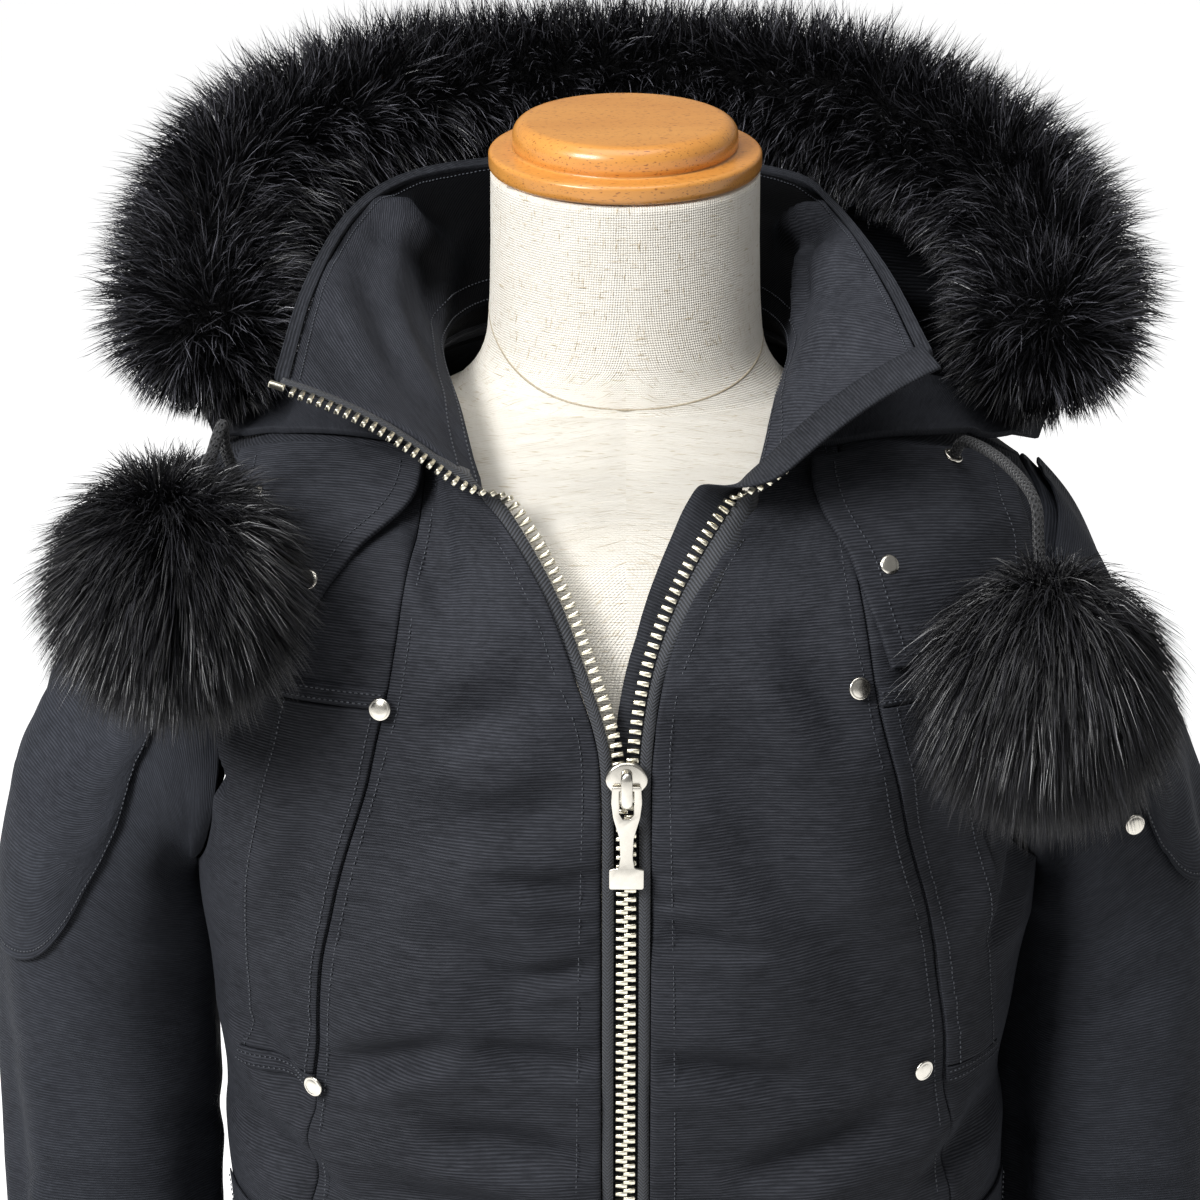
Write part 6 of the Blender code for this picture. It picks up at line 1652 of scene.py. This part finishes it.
# two coats of wool and one of guard hairs: density, length, spread, width, seed
for name, hair, density, long, spread, width, seed in (
    ("ruffFurWoolA", woolHair, 186000.0, 0.027, 0.4, 0.00068, 3),
    ("ruffFurWoolB", woolHair, 186000.0, 0.031, 0.32, 0.00057, 4),
    ("ruffFurGuard", guardHair, 118000.0, 0.035, 0.26, 0.00045, 5),
):
    growHair(name, ruffCore, hair, {**ruffHair, "Density": density, "Length": long, "Spread": spread, "Width": width,
                                    "Seed": seed})

# the pom-poms: middle, core radius, hair length, how far the hair leans down at its root and sinks at its tip
pompoms = {
    "L": ((-0.183, -0.156, 0.747), 0.033, 0.035, -0.45, -0.012, 11),
    "R": ((0.172, -0.16, 0.709), 0.033, 0.036, -0.7, -0.018, 12),
}
pompomHair = {}
for side, (centre, core, long, droop, sag, seed) in pompoms.items():
    work = bmesh.new()
    bmesh.ops.create_icosphere(work, subdivisions=5, radius=core)
    ball = np.array([v.co[:] for v in work.verts])
    triangles = [tuple(v.index for v in face.verts) for face in work.faces]
    work.free()
    out = unit(ball)
    ball = ball * (1 + 0.035 * drift(out[:, 0] * 0.1 + out[:, 2] * 0.05, out[:, 1] * 0.1, 0.09, seed))[:, None]
    pompomCore = coreMesh(f"pompomCore{side}", ball + np.array(centre), triangles, np.ones(len(ball)))
    finishPiece(pompomCore, "faux_fur", [f"pompom_{side}"])
    # paleness below one paints the pom-poms' hair darker: painted shade against the stronger key light that they get
    shared = {"Comb": (0.0, 0.0, droop), "Clump": 0.45, "ClumpScale": 90.0, "Wander": 0.38, "Wave": 0.007,
              "Paleness": 0.82, "Sag": (0.0, 0.0, sag)}
    wool = {"Density": 1100000.0, "Length": long * 0.86, "Spread": 0.3, "Width": 0.00062, "Seed": seed}
    guard = {"Density": 600000.0, "Length": long, "Spread": 0.2, "Width": 0.00045, "Seed": seed + 20}
    pompomHair[side] = [pompomCore, growHair(f"pompomWool{side}", pompomCore, woolHair, {**shared, **wool}),
                        growHair(f"pompomGuard{side}", pompomCore, guardHair, {**shared, **guard})]
print("fur ready")

# drawstring ends
cordRadius, cordGirth = 0.0024, 0.015
eyelets = {"L": (0.8, 0.22), "R": (0.68, 0.05)}
eyeletSpots = []
for side in "LR":
    spot, normal = flapPoint(side, *eyelets[side])
    spot = spot + normal * flapLift
    centre = np.array(pompoms[side][0])
    away = unit(np.array((-0.1, 0.3, 1.0) if side == "R" else (0.25, 0.6, 0.75)))
    coreRadius = 0.045
    start = spot + normal * 0.0018
    lead = spot + normal * 0.012 + np.array((0, -0.008, 0))
    stop = centre + away * (coreRadius + 0.0006)
    before = centre + away * (coreRadius + 0.02)
    stations = np.array([start, lead, (lead + before) / 2 + normal * 0.004, before, stop])
    outer = splineAt(stations, np.linspace(0, 1, 49))
    # it runs on into the pom-pom and is knotted inside
    inner = np.linspace(stop, centre + away * 0.004, 16)[1:]
    path = np.concatenate((outer, inner))
    sides = 16
    along = unit(np.gradient(path, axis=0))
    frameSide = unit(np.cross(along, np.array((1.0, 0.2, 0.1))))
    frameUp = np.cross(along, frameSide)
    turns = turnsOf(sides)
    # a braid is a little lumpy where strands cross
    run = runOf(path)
    girth = cordRadius * (1 + 0.05 * np.cos(turns[None, :] * 4 + run[:, None] * 2 * math.pi / 0.006)
                          * np.cos(turns[None, :] * 4 - run[:, None] * 2 * math.pi / 0.006))
    spokes = frameSide[:, None] * np.cos(turns)[:, None] + frameUp[:, None] * np.sin(turns)[:, None]
    points = path[:, None] + spokes * girth[..., None]
    r, c = np.indices((len(path) - 1, sides)).reshape(2, -1)
    corners = np.stack([np.stack(((c + k) * cordGirth / sides, run[r + j]), 1)
                        for k, j in ((0, 0), (1, 0), (1, 1), (0, 1))], 1).reshape(-1, 2)
    corners = np.concatenate((corners, np.zeros((2 * sides, 2))))
    cord = makePiece(f"cord{side}", points.reshape(-1, 3), tubeFaces(len(path), sides), braid, corners)
    faceOut(cord.data)
    finishPiece(cord, "braid", [f"cord_{side}"])
    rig.cord(cord, exit=tuple(start), length=float(run[-1]), diameter=2 * cordRadius, far_end="fitting",
            stiffness="limp", lay="hanging", path=[tuple(p) for p in path], with_pieces=pompomHair[side])
    eyeletSpots.append((side, spot, normal))
print("cords ready")


# zip
zipOf = {"tape": 0.0052, "tapeWall": 0.001, "tapeSink": 0.0016, "toothPitch": 0.004, "guardWall": 0.0016,
         "guardSink": 0.0066,}
pathHeights = (0.1745, panelLow, 0.235, 0.285, 0.335, 0.4, 0.47, 0.54, 0.586, 0.632, 0.65, 0.662, 0.672, 0.684,
               0.698, 0.712, 0.727, 0.74, 0.752, 0.763)
collarHeights = (0.0, 0.05, 0.14, 0.3, 0.46, 0.62, 0.8, 0.96)


# the free edge of one front from the hem to the collar's top, the way across it and the way out of the cloth
def edgePath(side):
    index = 0 if side == "L" else 1
    endT = 0.0 if side == "L" else 1.0
    z = np.array(pathHeights)
    angle = angleAtX(z, smoothAt(openingRows, z)[:, index])
    levels = np.array(collarHeights)
    places = np.concatenate((bodyPoint(z, angle), collarPoint(endT, levels)))
    outs = np.concatenate((bodyNormal(z, angle), collarNormal(abs(endT - 0.01), levels)))
    ease(outs, 2, after=unit)
    sign = 1 if side == "L" else -1
    along = unit(np.gradient(places, axis=0))
    across = unit(np.cross(along, outs)) * sign
    outs = unit(np.cross(across, along)) * sign
    if float(across[0, 0]) * sign < 0:
        across = -across
    if float(outs[0, 1]) > 0:
        outs = -outs
    return places, across, outs


# the same path with many points between
def finePath(side, count=420):
    places, across, outs = edgePath(side)
    run = runOf(places)
    keys = np.linspace(0, run[-1], count)
    found = [np.stack([np.interp(keys, run, values[:, k]) for k in range(3)], -1) for values in (places, across, outs)]
    for values in found:
        ease(values, 28)
    steps = np.interp(keys, run, np.arange(len(run)))
    return found[0], unit(found[1]), unit(found[2]), steps, keys


# a strip beside such a path, from a near to a far distance across it
def band(name, path, nearEdge, farEdge, wall, sink, finish, columns, wave=0.0):
    places, across, outs, steps, keys = path
    share = np.linspace(0, 1, columns)
    offsets = nearEdge[:, None] + (farEdge - nearEdge)[:, None] * share
    grid = places[:, None] + across[:, None] * offsets[..., None] - outs[:, None] * sink
    normals = np.broadcast_to(outs[:, None], grid.shape)
    relief = wave * drift(keys[:, None], offsets, 0.03, 95) * np.ones_like(offsets)
    return clothPiece(name, grid, normals, wall, finish, relief=relief, turnOver=False)


paths = {side: finePath(side) for side in "LR"}
last = len(pathHeights) + len(collarHeights)
for side in "LR":
    places, across, outs, steps, keys = paths[side]
    # at the neckline the tape runs in under the cloth, so that nothing shows between
    near = np.interp(steps, (0, 14, 17, 21, 22.5, last), (0.0005, 0.0005, -0.0075, -0.0075, 0.0014, 0.0014))
    far = np.full(len(steps), zipOf["tape"])
    tape = band(f"zipTape{side}", paths[side], near, far, zipOf["tapeWall"], zipOf["tapeSink"], zipTape, 3)
    finishPiece(tape, "tape", [f"zip_tape_{side}"])
# the guard strip behind the right side runs in under the front, and widens beside the collar
steps, neck = paths["R"][3], len(pathHeights)
near = np.interp(steps, (0, neck - 7, neck + 1, last), (-0.01, -0.01, 0.0014, 0.0014))
far = np.interp(steps, (0, neck - 5, neck - 2, last), (0.016, 0.016, 0.0212, 0.0212))
guard = band("zipGuard", paths["R"], near, far, zipOf["guardWall"], zipOf["guardSink"], edgeCloth, 6, 0.00015)
declareSheet(guard, "cloth", ["zip_guard"], (0.056, 0.76), "folded", [])

# one tooth: a bar across the tape with a rounded head at its inner end, seen as a small bright bar.
# x runs from the tape to the head, y along the zip and z out of the cloth
def toothItem(name, low, high, headHigh, thick):
    outline = ((low, -headHigh * 0.42), (low, headHigh * 0.42), (high - 0.0014, headHigh * 0.42),
               (high - 0.001, headHigh * 0.5), (high, headHigh * 0.5), (high, -headHigh * 0.5),
               (high - 0.001, -headHigh * 0.5), (high - 0.0014, -headHigh * 0.42))
    work = ringBody([[(x, y, z) for x, y in outline] for z in (-thick / 2, thick / 2)])
    bmesh.ops.bevel(work, geom=work.edges[:], offset=thick * 0.08, segments=1, affect="EDGES")
    return shaped(name, work)


sliderZ = 0.658
for side in "LR":
    places, across, outs, steps, keys = paths[side]
    # below the slider the heads pass the middle and mesh; above it the chains lie apart
    reach = np.where(places[:, 2:] < sliderZ - 0.006, 0.0088, 0.0083)
    tooth = toothItem(f"zipTooth{side}", -0.0026, 0.0024, 0.002, 0.0024)
    line = places + across * reach - outs * 0.0019
    keep = keys < keys[-1] - 0.0055
    item = linesOf(f"zipTeeth{side}Line", [(line[keep], outs[keep])])
    # the item's x axis lies across the zip: the line runs up, so the left one is used as it is
    teeth = grownOn(f"zipTeeth{side}", item, repeatAlong,
                    {"Item": tooth, "Pitch": zipOf["toothPitch"], "First": 0.003 + (0.002 if side == "R" else 0.0),
                     "Size": 1.0, "Material": brassTeeth})
    finishPiece(teeth, "brass", [f"zip_chain_{side}"])
print("zip tapes, guard and teeth ready")


def smoothedOutline(outline, count):
    outline = np.asarray(outline, float)
    closedLine = np.concatenate((outline, outline[:1]))
    run = runOf(closedLine)
    keys = np.linspace(0, run[-1], count, endpoint=False)
    found = np.stack([np.interp(keys, run, closedLine[:, k]) for k in range(2)], -1)
    return 0.25 * np.roll(found, 1, 0) + 0.5 * found + 0.25 * np.roll(found, -1, 0)


# applies modifiers for good and keeps edges sharper than 55 degrees crisp
def reshape(piece, changes):
    for kind, settings in changes:
        change = piece.modifiers.new("shape", kind)
        for key, value in settings.items():
            setattr(change, key, value)
    whole = bpy.data.meshes.new_from_object(piece.evaluated_get(bpy.context.evaluated_depsgraph_get()))
    piece.modifiers.clear()
    piece.data = whole
    whole.name = piece.name
    whole.shade_smooth()
    whole.set_sharp_from_angle(angle=math.radians(55))


def metalPiece(name, work, nodes, body="jacket", finish=None, bevel=0.0, slotName="nickel"):
    made = shaped(name, work, finish or nickel)
    if bevel:
        reshape(made, [("BEVEL", {"width": bevel, "segments": 2, "limit_method": "ANGLE",
                                  "angle_limit": math.radians(35)})])
    return finishPiece(made, slotName, nodes, body)


faceY = float(bodyPoint(sliderZ, angleAtX(sliderZ, 0.0))[1])
sliderOf = {"long": 0.018, "wide": 0.018, "wall": 0.0026, "lift": 0.0004, "pinZ": 0.6564, "pinOut": 0.0017,
            "tabWall": 0.0016}
plan = ((-0.3, 0.0), (-0.31, 0.2), (-0.36, 0.31), (-0.47, 0.43), (-0.5, 0.57), (-0.46, 0.73), (-0.35, 0.88),
        (-0.18, 0.98), (0.0, 1.0))
plan += tuple((-x, h) for x, h in plan[-2::-1])
low = sliderZ - sliderOf["long"] / 2
flatPlan = smoothedOutline([(x * sliderOf["wide"], low + h * sliderOf["long"]) for x, h in plan], 64)
body = [[(x * shrink, faceY - sliderOf["lift"] - depth, sliderZ + (z - sliderZ) * shrink) for x, z in flatPlan]
        for depth, shrink in ((0.0, 0.95), (0.0006, 1.0), (0.0014, 1.0), (0.002, 0.975), (0.0024, 0.93),
                              (0.0026, 0.86))]
topY = faceY - sliderOf["lift"] - sliderOf["wall"]
outer = ((0.0078, -0.0006), (0.0078, 0.0022), (0.0052, 0.005), (-0.006, 0.005), (-0.009, 0.0022), (-0.009, -0.0006))
inner = ((-0.0056, -0.0006), (-0.0056, 0.0018), (-0.004, 0.0035), (0.0022, 0.0035), (0.0036, 0.0018),
         (0.0036, -0.0006))
# the raised crown is an arch: its two feet stand on the plate
crown = []
for (oz, od), (iz, idd) in zip(*(splineAt(line, np.linspace(0, 1, 22)) for line in (outer[::-1], inner))):
    od, idd = max(od, -0.0006), max(min(idd, od - 0.0008), -0.0006)
    # the bar is round across
    crown.append([(0.0024 * math.cos(a), topY - (od + idd) / 2 - (od - idd) / 2 * math.sin(a),
                   sliderOf["pinZ"] + (oz + iz) / 2 + (oz - iz) / 2 * math.sin(a)) for a in turnsOf(14)])
metalPiece("zipSlider", ringBody(body, crown), ["zip_slider"], bevel=0.00035)

tabRows = np.array(((-0.001, 0.006), (0.006, 0.0064), (0.0125, 0.0056), (0.0215, 0.003), (0.03, 0.0026),
                    (0.0345, 0.0034), (0.0352, 0.0072), (0.044, 0.0072)))
tabMiddle = topY - sliderOf["pinOut"]
drops = np.concatenate((np.linspace(-0.001, 0.034, 30), (0.0346, 0.0352, 0.036, 0.04, 0.0434, 0.044)))
halves = np.interp(drops, tabRows[:, 0], tabRows[:, 1])
halves[-1] -= 0.0006
pinZ, half = sliderOf["pinZ"], sliderOf["tabWall"] / 2
outline = [(h, pinZ - d) for d, h in zip(drops, halves)]
outline += [(-x, z) for x, z in outline[::-1]]
work = ringBody([[(x, tabMiddle + y, z) for x, z in outline] for y in (-half, half)])
pull = metalPiece("zipPull", work, [], "pull")
slotFrom, slotTo, slotHalf = 0.001, 0.013, 0.0029
hole = [(-slotHalf, pinZ - slotFrom), (slotHalf, pinZ - slotFrom), (slotHalf, pinZ - slotTo + 0.002),
        (slotHalf * 0.5, pinZ - slotTo), (-slotHalf * 0.5, pinZ - slotTo), (-slotHalf, pinZ - slotTo + 0.002)]
cutter = shaped("tabSlot", ringBody([[(x, tabMiddle + y, z) for x, z in hole] for y in (-0.003, 0.003)]), nickel)
bpy.context.view_layer.update()
reshape(pull, [("BOOLEAN", {"operation": "DIFFERENCE", "object": cutter, "solver": "EXACT"}),
               ("BEVEL", {"width": 0.00045, "segments": 3, "limit_method": "ANGLE",
                          "angle_limit": math.radians(40)})])
bpy.data.objects.remove(cutter, do_unlink=True)
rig.replaces(pull, "zip_pull")

# top stops and the box at the hem
for side in "LR":
    places, across, outs = edgePath(side)
    along = unit(places[-1] - places[-2])
    near, far = zipOf["tape"] + 0.0012, zipOf["tape"] + 0.0036
    rings = []
    for share in (-0.003, -0.002, 0.003, 0.004):
        # the right one is covered by the guard's end
        base = places[-1] + along * (share - (0.007 if side == "R" else 0.0))
        rings.append([base + across[-1] * x - outs[-1] * y for x, y in
                      ((near, 0.0006), (far, 0.0006), (far, 0.0034), (near, 0.0034))])
    metalPiece(f"topStop{side}", ringBody(rings), [f"top_stop_{side}"], finish=brassTeeth, bevel=0.0006,
               slotName="brass")
hemY = float(bodyPoint(0.17, angleAtX(0.17, 0.0))[1])
box = [(x, hemY + y) for x, y in ((-0.0062, -0.0012), (0.0062, -0.0012), (0.0062, 0.003), (-0.0062, 0.003))]
metalPiece("zipBox", ringBody([[(x, y, z) for x, y in box] for z in (0.165, 0.168, 0.171, 0.1738)]), ["zip_box"],
           bevel=0.0007)


# rivets, press studs and eyelets
def spun(profile, steps=28):
    work = bmesh.new()
    skin(work, [[work.verts.new((radius * math.cos(a), radius * math.sin(a), height))
                 for a in (turnsOf(steps) if radius > 1e-6 else (0,))] for radius, height in profile])
    return work


# a domed rivet with a shallow ring pressed round its cap, and a press stud's cap
rivetItem = shaped("rivetItem", spun((
    (0, 0.0018), (0.0014, 0.00176), (0.0026, 0.0016), (0.0034, 0.00134), (0.0037, 0.00118), (0.004, 0.0012),
    (0.0044, 0.00112), (0.0047, 0.00085), (0.0048, 0.00045), (0.0048, 0.0), (0, 0.0))))
studItem = shaped("studItem", spun((
    (0, 0.0015), (0.0016, 0.00148), (0.0028, 0.00138), (0.0036, 0.00116), (0.0041, 0.00084), (0.0044, 0.0004),
    (0.0044, 0.0), (0, 0.0))))
eyeletItem = shaped("eyeletItem", spun([(0.0035 + 0.0009 * math.cos(a), 0.0009 * math.sin(a) * 0.9)
                                        for a in np.linspace(0, 2 * math.pi, 15)], 40))
rivets = {"rivet_top_L": (-0.1005, 0.6845), "rivet_low_L": (-0.133, 0.5073), "rivet_top_R": (0.095, 0.6925),
          "rivet_low_R": (0.127, 0.5145)}
snaps = {"snap_L": (-0.129, 0.73), "snap_R": (0.1065, 0.737)}


def onFront(x, z, foot):
    angle = angleAtX(np.array([z]), x)
    normal = bodyNormal(np.array([z]), angle)[0]
    return bodyPoint(np.array([z]), angle)[0] + normal * foot, normal


# one nickel stud, rivet or eyelet on its spot
def setPiece(name, item, spot, normal, node):
    source = linesOf(name + "Spot", [([spot], [normal])])
    made = grownOn(name, source, setOnPoints, {"Item": item, "Size": 1.0, "Material": nickel})
    made.data.shade_smooth()
    finishPiece(made, "nickel", [node])


for name, item, table, foot in (("pocketRivet", rivetItem, rivets, 0.0027), ("flapSnap", studItem, snaps, 0.0062)):
    for node, (x, z) in table.items():
        setPiece(name + node.split("_", 1)[1].replace("_", ""), item, *onFront(x, z, foot), node)
S, T = np.meshgrid(np.linspace(0.5, 1.2, 36), np.linspace(0.2, 2.2, 41), indexing="ij")
found = sleeveAt("R", S, T)
best = np.unravel_index(np.linalg.norm(found - np.array((0.219, -0.07, 0.608)), axis=-1).argmin(), S.shape)
s, t = float(S[best]), float(T[best])
here = sleeveAt("R", s, t)
normal = unit(np.cross(sleeveAt("R", s + 0.03, t) - here, sleeveAt("R", s, t + 0.08) - here))
normal = normal if normal[0] > 0 else -normal
setPiece("sleeveSnap", rivetItem, here + normal * 0.0042, normal, "sleeve_snap_R")
for side, spot, normal in eyeletSpots:
    setPiece(f"eyelet{side}", eyeletItem, spot + normal * 0.0013, normal, f"eyelet_{side}")
print("studs and rivets ready")

# topstitching
stitch = {"long": 0.0017, "pitch": 0.0025, "radius": 0.00036, "proud": 0.00048}
work = bmesh.new()
rings = []
for y, radius in ((-0.5, 0.0), (-0.28, stitch["radius"]), (0.28, stitch["radius"]), (0.5, 0.0)):
    around = [(math.cos(a) * radius, math.sin(a) * radius * 0.8) for a in turnsOf(3)] if radius else [(0, -0.0001)]
    rings.append([work.verts.new((x, y * stitch["long"], z)) for x, z in around])
skin(work, rings)
stitchItem = shaped("stitchItem", work)
lines = linesOf("stitchLines", [(line + facing * stitch["proud"], facing) for line, facing in stitchLines])
stitching = grownOn("topstitching", lines, repeatAlong,
                    {"Item": stitchItem, "Pitch": stitch["pitch"], "First": 0.0, "Size": 1.0, "Material": thread})
stitching.data.shade_smooth()
finishPiece(stitching, "cloth")
print("topstitching ready")

# dress form
formRows = mm((
    (150, 120, -104, 70, -14, 2.2), (250, 127, -113, 73, -18, 2.2),
    (330, 130, -116, 72, -20, 2.25), (430, 131, -121, 70, -24, 2.3),
    (520, 141, -134, 77, -24, 2.3), (600, 160, -149, 92, -22, 2.3),
    (660, 168, -150, 102, -18, 2.3), (700, 172, -142, 104, -12, 2.3),
    (735, 170, -127, 98, -6, 2.25), (750, 160, -118, 92, -4, 2.2),
    (762, 138, -109, 85, -8, 2.1), (774, 110, -98, 74, -12, 2.0),
    (786, 84, -85, 60, -13, 2.0), (796, 66, -76, 50, -13, 2.0),
), 1)
neckRings = mm(((808, 61, -13.5, 3.0), (830, 59.2, -14, 4.0), (856, 58.6, -14.5, 5.5), (885, 58.4, -15, 6.5)), 1)
count = 96
turns = turnsOf(count) - math.pi / 2
heights = np.concatenate((np.linspace(0.15, 0.735, 110)[:-1], np.linspace(0.735, 0.796, 34)))
rows = smoothAt(formRows, heights)
rings = [ringPoint(rows[k:k + 1], np.full(count, heights[k]), turns) for k in range(len(heights))]
joined = []
for z in np.linspace(0.8, 0.885, 30):
    at = np.clip(z, neckRings[0, 0], neckRings[-1, 0])
    radius, y, lean = (np.interp(at, neckRings[:, 0], neckRings[:, k]) for k in (1, 2, 3))
    tip = math.radians(lean)
    joined.append(np.stack((radius * np.cos(turns), y + radius * np.sin(turns) * math.cos(tip),
                            z + radius * np.sin(turns) * math.sin(tip)), -1))
rings = np.array(rings + joined[2:])
ease(rings, 6, 130, 156)
out = outwardNormals(rings, True)
# the linen is cut in panels: a seam down the middle of the front and back, one at each side, a neck seam
relief = np.zeros(rings.shape[:2])
for seam in (-math.pi / 2, math.pi / 2, 0.0, math.pi, -math.pi / 2 + 0.62, -math.pi / 2 - 0.62):
    away = np.abs((turns - seam + math.pi) % (2 * math.pi) - math.pi) * 0.085
    relief -= 0.0007 * groove(away, 0, 0.001)[None, :]
neckAway = np.abs(np.arange(len(rings)) - 139.0)[:, None] * 0.0022
relief -= 0.001 * groove(neckAway, 0, 0.0012)
rings = rings + out * relief[..., None]
torso = shaped("torsoLinen", ringBody(rings), linen)
mesh = torso.data
uv = mesh.uv_layers.new(name="cloth")
corner = np.empty(len(mesh.loops), np.int32)
mesh.loops.foreach_get("vertex_index", corner)
columnOf, rowOf = corner % count, corner // count
spread = np.linalg.norm(rings[:, :, :2], axis=-1).mean(axis=1)
u = columnOf / count
sizes = [len(p.vertices) for p in mesh.polygons]
startOf = np.concatenate(([0], np.cumsum(sizes)[:-1]))
for begin, size in zip(startOf, sizes):
    block = slice(begin, begin + size)
    if size == 4 and u[block].max() - u[block].min() > 0.5:
        u[block] = np.where(u[block] < 0.5, u[block] + 1.0, u[block])
across = (u - 0.5) * 2 * math.pi * spread[rowOf]
uv.data.foreach_set("uv", np.stack((across, runOf(rings)[rowOf]), 1).astype(np.float32).ravel())
finishPiece(torso, "linen", ["form_torso"])

# the sewn edge of the neck cover, a thin corded line that rises towards the shoulders
lineTurns = turnsOf(120)
fromFront = np.abs((lineTurns + math.pi / 2 + math.pi) % (2 * math.pi) - math.pi)
rise = np.where(np.cos(lineTurns) < 0, 0.034, 0.021) * (1 - np.cos(np.minimum(fromFront, math.pi / 2)))
column = (lineTurns + math.pi / 2) / (2 * math.pi) * count % count
seamPath = []
for where, height in zip(column, 0.793 + rise):
    k = int(where)
    strip = rings[:, k] * (1 - where + k) + rings[:, (k + 1) % count] * (where - k)
    seamPath.append([np.interp(height, strip[120:, 2], strip[120:, axis]) for axis in range(3)])
seamPath = np.array(seamPath)
for _ in range(8):
    seamPath = (np.roll(seamPath, 1, 0) + 2 * seamPath + np.roll(seamPath, -1, 0)) / 4
seamAlong = unit(np.roll(seamPath, -1, 0) - np.roll(seamPath, 1, 0))
seamOut = unit(seamPath * np.array((1, 1, 0)) - np.array((0, -0.0135, 0)))
seamUp = np.cross(seamAlong, seamOut)
work = bmesh.new()
tube = [[work.verts.new(tuple(map(float, p + 0.0006 * (o * math.cos(a) + w * math.sin(a)))))
         for a in np.arange(6) * math.pi / 3] for p, o, w in zip(seamPath, seamOut, seamUp)]
skin(work, tube + tube[:1])
finishPiece(shaped("neckSeam", work, seamThread), "linen")

cap = {"z": 0.8858, "y": -0.015, "lean": 6.5}
profile = [(0.0, 0.0215), (0.03, 0.0215), (0.042, 0.0214)]
profile += [(0.042 + 0.0068 * math.sin(a), 0.0146 + 0.0068 * math.cos(a)) for a in np.linspace(0.15, math.pi / 2, 8)]
profile += [(0.0489, 0.012), (0.0486, 0.01), (0.0476, 0.009), (0.05, 0.0086), (0.0564, 0.0085)]
profile += [(0.0572 + 0.002 * math.sin(a), 0.0065 + 0.002 * math.cos(a)) for a in np.linspace(0.2, math.pi / 2, 6)]
profile += [(0.0592, 0.003), (0.059, 0.0014), (0.0582, 0.0004), (0.0568, 0.0), (0.0, 0.0)]
work = spun(profile, 96)
tip = math.radians(cap["lean"])
for vertex in work.verts:
    x, y, z = vertex.co
    vertex.co = (x, cap["y"] + y * math.cos(tip) - z * math.sin(tip), cap["z"] + y * math.sin(tip) + z * math.cos(tip))
metalPiece("capWood", work, ["form_cap"], finish=beech, slotName="beech")
for name in ("form_pole", "form_base"):
    node = frame["nodes"][name]
    node.data.materials.clear()
    node.data.materials.append(steel)
print("form ready")

sizes = {"cad": [list(map(float, c)) for c in cadBounds], "dressed": [list(map(float, c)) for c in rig.bounds()]}
with open("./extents.json", "w") as out:
    json.dump(sizes, out)
print("size", sizes)
